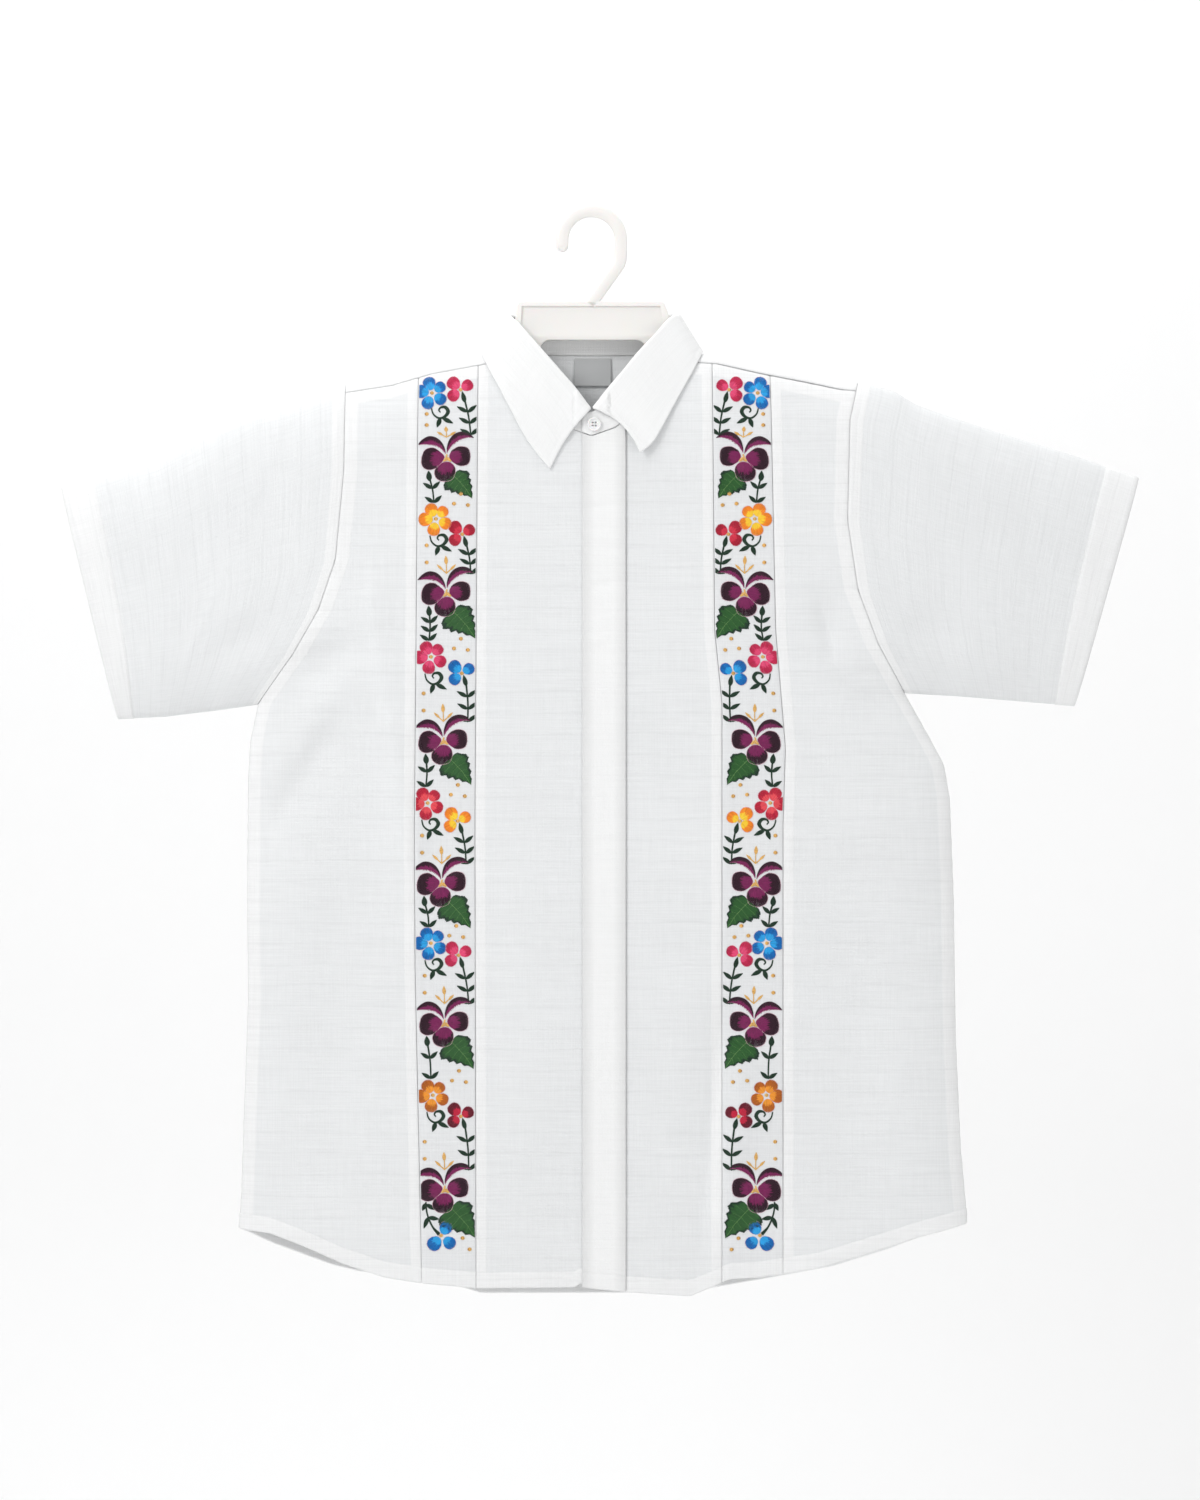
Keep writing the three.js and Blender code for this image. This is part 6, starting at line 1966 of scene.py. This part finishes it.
class ThreadPiece:
    """Short threads along polylines, turned into a mesh by Geometry Nodes."""

    def __init__(self, points: np.ndarray, colours: np.ndarray, radii: np.ndarray) -> None:
        """Keeps the threads.

        Args:
            points: Points in millimetres, (threads, points, 3).
            colours: Colour of each point.
            radii: Radius of each point in millimetres.
        """
        self.points, self.colours, self.radii = points, colours, radii

    def build(self, name: str, tree: bpy.types.NodeTree, material: bpy.types.Material) -> bpy.types.Object:
        """Makes the piece.

        Args:
            name: Its name.
            tree: The thread's node tree.
            material: The thread's material.

        Returns:
            The piece.
        """
        threads, count, _ = self.points.shape
        index = np.arange(threads * count).reshape(threads, count)
        edges = np.stack([index[:, :-1].ravel(), index[:, 1:].ravel()], axis=1)
        mesh = bpy.data.meshes.new(name)
        mesh.from_pydata((self.points.reshape(-1, 3) * MM).tolist(), edges.tolist(), [])
        tint = mesh.attributes.new("tint", "FLOAT_COLOR", "POINT")
        tint.data.foreach_set("color", np.hstack([self.colours, np.ones((len(self.colours), 1))]).ravel())
        thick = mesh.attributes.new("thick", "FLOAT", "POINT")
        thick.data.foreach_set("value", (self.radii * MM).astype(np.float32))
        piece = bpy.data.objects.new(name, mesh)
        bpy.context.scene.collection.objects.link(piece)
        set_tree(piece, tree, {"Sides": 4, "Material": material})
        bake(piece)
        return piece


def set_tree(piece: bpy.types.Object, tree: bpy.types.NodeTree, values: dict) -> None:
    """Adds a node tree to a piece and sets its named inputs.

    Args:
        piece: The piece.
        tree: The geometry node tree.
        values: Values by input name.
    """
    modifier = piece.modifiers.new(tree.name, "NODES")
    modifier.node_group = tree
    for item in tree.interface.items_tree:
        if item.item_type == "SOCKET" and item.in_out == "INPUT" and item.name in values:
            modifier[item.identifier] = values[item.name]


def thread_tree() -> bpy.types.NodeTree:
    """Turns edges with a thickness into threads.

    Returns:
        The geometry node tree, with inputs Sides and Material.
    """
    tree = bpy.data.node_groups.new("ThreadAlongEdges", "GeometryNodeTree")
    tree.interface.new_socket("Geometry", in_out="INPUT", socket_type="NodeSocketGeometry")
    tree.interface.new_socket("Sides", in_out="INPUT", socket_type="NodeSocketInt")
    tree.interface.new_socket("Material", in_out="INPUT", socket_type="NodeSocketMaterial")
    tree.interface.new_socket("Geometry", in_out="OUTPUT", socket_type="NodeSocketGeometry")
    nodes = Nodes(tree)
    source, out = tree.nodes.new("NodeGroupInput"), tree.nodes.new("NodeGroupOutput")
    curve = nodes.add("GeometryNodeMeshToCurve", Mesh=source.outputs["Geometry"])
    thick = nodes.add("GeometryNodeInputNamedAttribute", {"data_type": "FLOAT"}, Name="thick")
    ring = nodes.add("GeometryNodeCurvePrimitiveCircle", {"mode": "RADIUS"}, Resolution=source.outputs["Sides"],
                     Radius=1.0)
    body = nodes.add("GeometryNodeCurveToMesh", Curve=curve.outputs[0], Profile_Curve=ring.outputs[0],
                     Scale=thick.outputs[0])
    smooth = nodes.add("GeometryNodeSetShadeSmooth", in_0=body.outputs[0])
    dressed = nodes.add("GeometryNodeSetMaterial", in_0=smooth.outputs[0], Material=source.outputs["Material"])
    nodes.feed(out.inputs[0], dressed.outputs[0])
    return tree


@dataclass(frozen=True)
class ThreadFinish:
    """Shiny thread that takes its colour from the stitch.

    Attributes:
        name: Name of the material.
        roughness: Roughness.
        sheen: Weight of the sheen.
    """

    name: str
    roughness: float
    sheen: float

    def material(self) -> bpy.types.Material:
        """Builds the material.

        Returns:
            The material.
        """
        made = bpy.data.materials.new(self.name)
        made.use_nodes = True
        nodes = Nodes(made.node_tree)
        shader = made.node_tree.nodes["Principled BSDF"]
        tint = nodes.add("ShaderNodeAttribute", {"attribute_name": "tint"})
        nodes.feed(shader.inputs["Base Color"], tint.outputs["Color"])
        shader.inputs["Roughness"].default_value = self.roughness
        shader.inputs["Specular IOR Level"].default_value = 0.35
        shader.inputs["Sheen Weight"].default_value = self.sheen
        return made


EMBROIDERY = ThreadFinish("embroidery_rayon", 0.42, 0.1)


@dataclass(frozen=True)
class SheetSize:
    """The flat cut of one cloth piece, in metres.

    Attributes:
        width: Width of the cut's rectangle.
        length: Length of it.
        area: Area of the cut itself.
    """

    width: float
    length: float
    area: float


def finished(piece: bpy.types.Object, slot: str, *nodes: str) -> bpy.types.Object:
    """Fixes a piece to the frame and reports it.

    Args:
        piece: The piece.
        slot: Name of a material slot; not used.
        *nodes: CAD nodes that it stands for.

    Returns:
        The piece.
    """
    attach(piece, "root")
    if nodes:
        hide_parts(*nodes)
    LOG.info("%s: %d faces", piece.name, len(piece.data.polygons))
    return piece


class Shirt:
    """All sewn pieces of the shirt."""

    def __init__(self, cotton: bpy.types.Material, ground: bpy.types.Material, doubled: bpy.types.Material) -> None:
        """Keeps the materials.

        Args:
            cotton: Single cloth.
            ground: The bands' cloth.
            doubled: Doubled cloth.
        """
        self.cotton, self.ground, self.doubled = cotton, ground, doubled

    def _add(self, name: str, grid: Grid, material: bpy.types.Material, slot: str) -> None:
        """Builds and fixes one cloth piece.

        Args:
            name: CAD node it stands for.
            grid: Its points.
            material: Its material.
            slot: Name of a material slot, passed on; not used.
        """
        piece = finished(Shell(grid).build(f"{name}_cloth", material), slot, name)

    def build(self) -> None:
        """Makes every cloth piece."""
        for panel in PANELS:
            material = self.ground if "band" in panel.name else self.cotton
            self._add(panel.name, panel.grid(), material, "cotton")
        self._add(PLACKET.name, PLACKET.grid(), self.doubled, "cotton_doubled")
        self._add(Back.NAME, Back().grid(), self.cotton, "cotton")
        for sleeve in (RIGHT_SLEEVE, LEFT_SLEEVE):
            self._add(sleeve.name, sleeve.grid(), self.cotton, "cotton")
        collar = Collar()
        self._add("collar_stand", collar.stand(), self.doubled, "cotton_doubled")
        self._add("collar_leaf", collar.leaf(), self.doubled, "cotton_doubled")


@dataclass(frozen=True)
class Label:
    """The bare neck label inside the back.

    Attributes:
        left: Its left edge.
        right: Its right edge.
        top: Its sewn top edge.
        bottom: Its free bottom edge.
    """

    left: float = -14.3
    right: float = 16.2
    top: float = -115.2
    bottom: float = -138.0

    def build(self, material: bpy.types.Material) -> bpy.types.Object:
        """Makes the label.

        Args:
            material: Satin.

        Returns:
            The piece.
        """
        x = np.linspace(self.left, self.right, 24)[None, :] * np.ones((20, 1))
        z = np.linspace(self.top, self.bottom, 20)[:, None] * np.ones((1, 24))
        fallen = (self.top - z) / (self.top - self.bottom)
        lift = -(CLOTH_WALL / 2 + SEAM_GAP + 0.5 + 1.1 * fallen**2)
        points, normals = CLOTH.points(x, z, Side.BACK, lift)
        flat = np.full((*x.shape, 3), NO_STRIP)
        grid = Grid(points, normals, np.full(x.shape, 0.7), np.stack([x, z], axis=2) * MM, flat)
        piece = finished(Shell(grid).build("label_bare", material), "label", "neck_label")
        return piece


@dataclass(frozen=True)
class ButtonSizes:
    """Sizes of the collar button, in millimetres."""

    diameter: float = 11.5
    thickness: float = 2.2
    rim: float = 1.7
    dish: float = 0.7
    hole: float = 1.5
    spacing: float = 2.4


class Button:
    """The collar button with its four holes."""

    SEAT = At(2.3, -171.5)

    def __init__(self, sizes: ButtonSizes) -> None:
        """Keeps the sizes.

        Args:
            sizes: The button's sizes.
        """
        self.sizes = sizes

    def _profile(self) -> np.ndarray:
        """Radius and height of the turned profile, from the back's centre round to the front's.

        Returns:
            Rows of (radius, height).
        """
        s, r = self.sizes, self.sizes.diameter / 2
        rim = [(r - s.rim / 2 + s.rim / 2 * math.cos(a), s.thickness - 0.75 + 0.75 * math.sin(a))
               for a in np.linspace(0, math.pi, 9)]
        return np.array([(0.05, 0), (r - 0.8, 0), (r - 0.2, 0.3), (r, 0.8), *rim,
                         (r - s.rim - 0.3, s.thickness - s.dish), (0.05, s.thickness - s.dish)])

    def build(self, material: bpy.types.Material) -> bpy.types.Object:
        """Makes the button.

        Args:
            material: Its material.

        Returns:
            The piece.
        """
        profile = self._profile()
        turns = 48
        angles = np.linspace(0, 2 * math.pi, turns, endpoint=False)
        seat, _ = CLOTH.points(self.SEAT.x, self.SEAT.z, Side.FRONT, PLACKET_LIFT + COLLAR_WALL / 2 + SEAM_GAP)
        ring = np.array([[(r * math.cos(a), -h, r * math.sin(a)) for a in angles] for r, h in profile])
        vertices = (ring.reshape(-1, 3) + seat) * MM
        faces = []
        for row in range(len(profile) - 1):
            for k in range(turns):
                after = (k + 1) % turns
                faces.append([row * turns + k, row * turns + after, (row + 1) * turns + after, (row + 1) * turns + k])
        faces.append(list(range(turns - 1, -1, -1)))
        faces.append([(len(profile) - 1) * turns + k for k in range(turns)])
        mesh = bpy.data.meshes.new("collar_button_turned")
        mesh.from_pydata(vertices.tolist(), [], faces)
        piece = bpy.data.objects.new("collar_button_turned", mesh)
        bpy.context.scene.collection.objects.link(piece)
        for right in (-1, 1):
            for up in (-1, 1):
                self._drill(piece, seat, right, up)
        for polygon in piece.data.polygons:
            polygon.use_smooth = True
        piece.data.materials.append(material)
        return finished(piece, "button", "collar_button")

    def _drill(self, piece: bpy.types.Object, seat: np.ndarray, right: int, up: int) -> None:
        """Cuts one thread hole.

        Args:
            piece: The button.
            seat: Its seat on the stand.
            right: -1 or 1.
            up: -1 or 1.
        """
        offset = self.sizes.spacing / 2
        place = (seat + np.array([right * offset, -1, up * offset])) * MM
        made = bpy.data.meshes.new("drill")
        cutter = bmesh.new()
        bmesh.ops.create_cone(cutter, cap_ends=True, segments=16, radius1=self.sizes.hole / 2 * MM,
                              radius2=self.sizes.hole / 2 * MM, depth=8 * MM)
        bmesh.ops.rotate(cutter, verts=cutter.verts, matrix=Matrix.Rotation(math.pi / 2, 3, "X"))
        bmesh.ops.translate(cutter, verts=cutter.verts, vec=Vector(place))
        cutter.to_mesh(made)
        cutter.free()
        drill = bpy.data.objects.new("drill", made)
        bpy.context.scene.collection.objects.link(drill)
        cut = piece.modifiers.new("hole", "BOOLEAN")
        cut.object, cut.operation, cut.solver = drill, "DIFFERENCE", "EXACT"
        bake(piece)
        bpy.data.objects.remove(drill)


def bake(piece: bpy.types.Object) -> None:
    """Replaces a piece's mesh with its evaluated one and drops the modifiers.

    Args:
        piece: The piece.
    """
    bpy.context.view_layer.update()
    graph = bpy.context.evaluated_depsgraph_get()
    mesh = bpy.data.meshes.new_from_object(piece.evaluated_get(graph))
    piece.modifiers.clear()
    old, piece.data = piece.data, mesh
    bpy.data.meshes.remove(old)


@dataclass(frozen=True)
class HangerSizes:
    """Sizes of the moulded hanger, in millimetres."""

    thickness: float = 6.0
    bar: float = 10.2
    hook_radius: float = 19.0
    plate_top: float = -69.3
    rim: float = 4.0
    recess: float = 1.7
    slot_top: float = -101.3
    slot_corner: float = 8.0
    arm_end: float = 190.0
    arm_drop: float = 2.6
    arm_height: float = 11.0
    bevel: float = 0.9


class Hanger:
    """The moulded hanger: a recessed plate with two arms, and its hook."""

    def __init__(self, sizes: HangerSizes) -> None:
        """Keeps the sizes.

        Args:
            sizes: The hanger's sizes.
        """
        self.sizes = sizes

    def _corner(self, centre: At, start: float, end: float) -> list[At]:
        """A rounded corner of the slot.

        Args:
            centre: Centre of the corner's arc.
            start: First angle in degrees.
            end: Last angle in degrees.

        Returns:
            Places on the arc.
        """
        angles = np.radians(np.linspace(start, end, 7))
        radius = self.sizes.slot_corner
        return [At(centre.x + radius * math.cos(a), centre.z + radius * math.sin(a)) for a in angles]

    def _outline(self) -> list[At]:
        """The plate and arms with the slot's arch between them, as one loop.

        Returns:
            Places round the loop.
        """
        s = self.sizes

        def half(side: int) -> list[At]:
            plate, slant, slot = (60.7, 64.9, 44.7) if side > 0 else (-61.9, -62.8, -42.2)
            arm = [At(side * x, float(ridge_z(np.array(side * x))) - s.arm_drop)
                   for x in np.linspace(80, s.arm_end - 4, 12)]
            low = [At(side * x, float(ridge_z(np.array(side * x))) - s.arm_drop - s.arm_height)
                   for x in np.linspace(s.arm_end - 4, 82, 12)]
            tip = arm[-1]
            end = [At(side * s.arm_end, tip.z - 3), At(side * s.arm_end, tip.z - 8)]
            centre = At(slot - side * s.slot_corner, s.slot_top - s.slot_corner)
            arc = self._corner(centre, 0, 90) if side > 0 else self._corner(centre, 180, 90)
            top = [At(plate - side * 4, s.plate_top), At(plate - side * 1.2, s.plate_top - 1.2),
                   At(plate, s.plate_top - 4), At(slant, -84), At(side * 66, -104), At(side * 70, -113.5)]
            foot = [At(side * 58, -124), At(slot + side * 2, -118), At(slot, -114)]
            return [*top, *arm, *end, *low, *foot, *arc]

        return [*half(1), *half(-1)[::-1]]

    def _slab(self, name: str, outline: Sequence[At], thickness: float, y: float, bevel: float) -> bpy.types.Object:
        """A flat piece with an outline, standing in the X-Z plane.

        Args:
            name: Name of the object.
            outline: Its outline.
            thickness: Its thickness.
            y: Place of its middle along Y.
            bevel: Size of its rounded edges, or 0.

        Returns:
            The object.
        """
        shape = bmesh.new()
        front = [shape.verts.new((p.x * MM, (y - thickness / 2) * MM, p.z * MM)) for p in outline]
        face = shape.faces.new(front)
        grown = bmesh.ops.extrude_face_region(shape, geom=[face])
        moved = [v for v in grown["geom"] if isinstance(v, bmesh.types.BMVert)]
        bmesh.ops.translate(shape, verts=moved, vec=(0, thickness * MM, 0))
        if bevel:
            sides = [e for e in shape.edges if abs(e.verts[0].co.y - e.verts[1].co.y) < 1e-7]
            bmesh.ops.bevel(shape, geom=sides, offset=bevel * MM, segments=3, profile=0.5, affect="EDGES")
        bmesh.ops.recalc_face_normals(shape, faces=shape.faces)
        mesh = bpy.data.meshes.new(name)
        shape.to_mesh(mesh)
        shape.free()
        made = bpy.data.objects.new(name, mesh)
        bpy.context.scene.collection.objects.link(made)
        return made

    def _plate(self, material: bpy.types.Material) -> bpy.types.Object:
        """The plate and its arms with a recess in both faces.

        Args:
            material: Its material.

        Returns:
            The piece.
        """
        s = self.sizes
        plate = self._slab("hanger_plate", self._outline(), s.thickness, 0, s.bevel)
        top, low = s.plate_top - s.rim, s.slot_top + s.rim
        recess = [At(-57.4, top), At(56.4, top), At(60.2, low), At(-58.6, low)]
        for face in (-1, 1):
            pocket = self._slab("pocket", recess, 2 * s.recess, face * s.thickness / 2, 0)
            cut = plate.modifiers.new("recess", "BOOLEAN")
            cut.object, cut.operation, cut.solver = pocket, "DIFFERENCE", "EXACT"
            bake(plate)
            bpy.data.objects.remove(pocket)
        plate.data.materials.append(material)
        shade_by_angle(plate, 35)
        return finished(plate, "hanger", "hanger")

    def _hook(self, material: bpy.types.Material) -> bpy.types.Object:
        """The hook: an eight-sided bar along an open ring, ending round.

        Args:
            material: Its material.

        Returns:
            The piece.
        """
        s = self.sizes
        radius = s.hook_radius + s.bar / 2
        arc = [(radius * math.cos(a), -s.hook_radius + radius * math.sin(a)) for a in np.linspace(math.pi, 0, 44)]
        bend = [(radius, -31), (radius - 0.3, -35), (radius - 1.5, -38.8), (radius - 4, -42.4)]
        foot = [(radius - 4 - k * (radius - 3) / 5, -42.4 - k * 5.9) for k in range(1, 6)]
        path = np.array([(-radius, -s.hook_radius - 4.5), (-radius, -s.hook_radius - 2), *arc, *bend, *foot])
        ahead = np.gradient(path, axis=0)
        ahead /= np.linalg.norm(ahead, axis=1, keepdims=True)
        square = np.stack([-ahead[:, 1], ahead[:, 0]], axis=1)
        w, t = s.bar / 2, s.thickness / 2
        section = [(w, -t + 1.9), (w - 0.5, -t + 0.8), (w - 1.9, -t), (-w + 1.9, -t), (-w + 0.5, -t + 0.8),
                   (-w, -t + 1.9), (-w, t - 1.9), (-w + 0.5, t - 0.8), (-w + 1.9, t), (w - 1.9, t),
                   (w - 0.5, t - 0.8), (w, t - 1.9)]
        rings = []
        for angle in np.linspace(0, math.pi / 2, 6)[:-1]:
            back = math.cos(angle) * w
            rings.append((path[0] - ahead[0] * back, square[0], max(math.sin(angle), 0.04)))
        rings += [(p, n, 1.0) for p, n in zip(path, square)]
        vertices = [(p[0] + n[0] * a * size, b * (0.4 + 0.6 * size), p[1] + n[1] * a * size)
                    for p, n, size in rings for a, b in section]
        count = len(section)
        faces = [[r * count + k, r * count + (k + 1) % count, (r + 1) * count + (k + 1) % count, (r + 1) * count + k]
                 for r in range(len(rings) - 1) for k in range(count)]
        faces += [list(range(count)), [(len(rings) - 1) * count + k for k in range(count)]]
        mesh = bpy.data.meshes.new("hanger_hook")
        mesh.from_pydata((np.array(vertices) * MM).tolist(), [], faces)
        hook = bpy.data.objects.new("hanger_hook", mesh)
        bpy.context.scene.collection.objects.link(hook)
        tidy = bmesh.new()
        tidy.from_mesh(mesh)
        bmesh.ops.recalc_face_normals(tidy, faces=tidy.faces)
        tidy.to_mesh(mesh)
        tidy.free()
        hook.data.materials.append(material)
        shade_by_angle(hook, 30)
        return finished(hook, "hanger", "hanger")

    def build(self, material: bpy.types.Material) -> None:
        """Makes the plate and the hook.

        Args:
            material: Their material.
        """
        self._plate(material)
        self._hook(material)


def shade_by_angle(piece: bpy.types.Object, degrees: float) -> None:
    """Shades a piece smooth with sharp edges above an angle.

    Args:
        piece: The piece.
        degrees: The angle.
    """
    shape = bmesh.new()
    shape.from_mesh(piece.data)
    for edge in shape.edges:
        if len(edge.link_faces) == 2:
            edge.smooth = edge.calc_face_angle(0) < math.radians(degrees)
    for face in shape.faces:
        face.smooth = True
    shape.to_mesh(piece.data)
    shape.free()


class Studio:
    """Camera, lights and the pale ground."""

    VIEW_WIDTH = 0.984
    CENTRE = (0.00697, -0.4383)
    DISTANCE = 4.2

    def camera(self) -> None:
        """Sets the camera straight in front, with a long lens."""
        data = bpy.data.cameras.new("camera")
        data.sensor_fit = "HORIZONTAL"
        data.sensor_width = 36
        data.lens = 36 * self.DISTANCE / self.VIEW_WIDTH
        data.clip_end = 50
        eye = bpy.data.objects.new("camera", data)
        eye.location = (self.CENTRE[0], -self.DISTANCE - 0.014, self.CENTRE[1])
        eye.rotation_euler = (math.pi / 2, 0, 0)
        bpy.context.scene.collection.objects.link(eye)
        bpy.context.scene.camera = eye

    @staticmethod
    def _area(name: str, place: tuple, aim: tuple, size: float, power: float) -> None:
        """Adds a soft square light.

        Args:
            name: Its name.
            place: Where it stands.
            aim: What it points at.
            size: Its side.
            power: Its power in watts.
        """
        data = bpy.data.lights.new(name, "AREA")
        data.shape, data.size, data.energy = "SQUARE", size, power
        light = bpy.data.objects.new(name, data)
        light.location = place
        light.rotation_euler = (Vector(aim) - Vector(place)).to_track_quat("-Z", "Y").to_euler()
        bpy.context.scene.collection.objects.link(light)

    def lights(self) -> None:
        """Sets the lights and the world."""
        scene = bpy.context.scene
        world = bpy.data.worlds.new("studio")
        world.use_nodes = True
        world.node_tree.nodes["Background"].inputs["Color"].default_value = (1, 1, 1, 1)
        world.node_tree.nodes["Background"].inputs["Strength"].default_value = 0.62
        scene.world = world
        middle = (0, 0, -0.45)
        self._area("key", (-1.5, -1.6, 1.0), middle, 1.0, 26)
        self._area("fill", (1.8, -2.2, -0.3), middle, 1.6, 8)
        self._area("wall_wash", (0, 0.15, 2.2), (0, 1.4, -0.6), 1.8, 30)
        scene.view_settings.view_transform = "Standard"
        scene.view_settings.look = "None"

    def ground(self, material: bpy.types.Material) -> None:
        """Makes the floor that curves up into the wall behind.

        Args:
            material: Its material.
        """
        floor_z, wall_y, radius, reach = -1.5, 1.5, 0.6, 5.0
        bend = [(wall_y - radius + radius * math.sin(a), floor_z + radius - radius * math.cos(a))
                for a in np.linspace(0, math.pi / 2, 12)]
        line = [(-6.0, floor_z), *bend, (wall_y, 4.0)]
        vertices = [(x, y, z) for y, z in line for x in (-reach, reach)]
        faces = [[2 * k, 2 * k + 1, 2 * k + 3, 2 * k + 2] for k in range(len(line) - 1)]
        mesh_object("pale_floor", np.array(vertices), faces, material)


def main() -> None:
    """Builds the shirt, its hanger and the studio."""
    logging.basicConfig(level=logging.INFO, format="%(name)s %(message)s")
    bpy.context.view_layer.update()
    weave, strips = weave_group(), strip_group()
    shirt = Shirt(*(finish.material(weave, strips) for finish in (COTTON, BAND_GROUND, DOUBLED)))
    shirt.build()
    FlowerBands().build(thread_tree(), EMBROIDERY.material())
    Label().build(LABEL.material())
    Button(ButtonSizes()).build(BUTTON.material())
    Hanger(HangerSizes()).build(HANGER.material())
    studio = Studio()
    studio.ground(FLOOR.material())
    studio.lights()
    studio.camera()


if __name__ == "__main__":
    main()
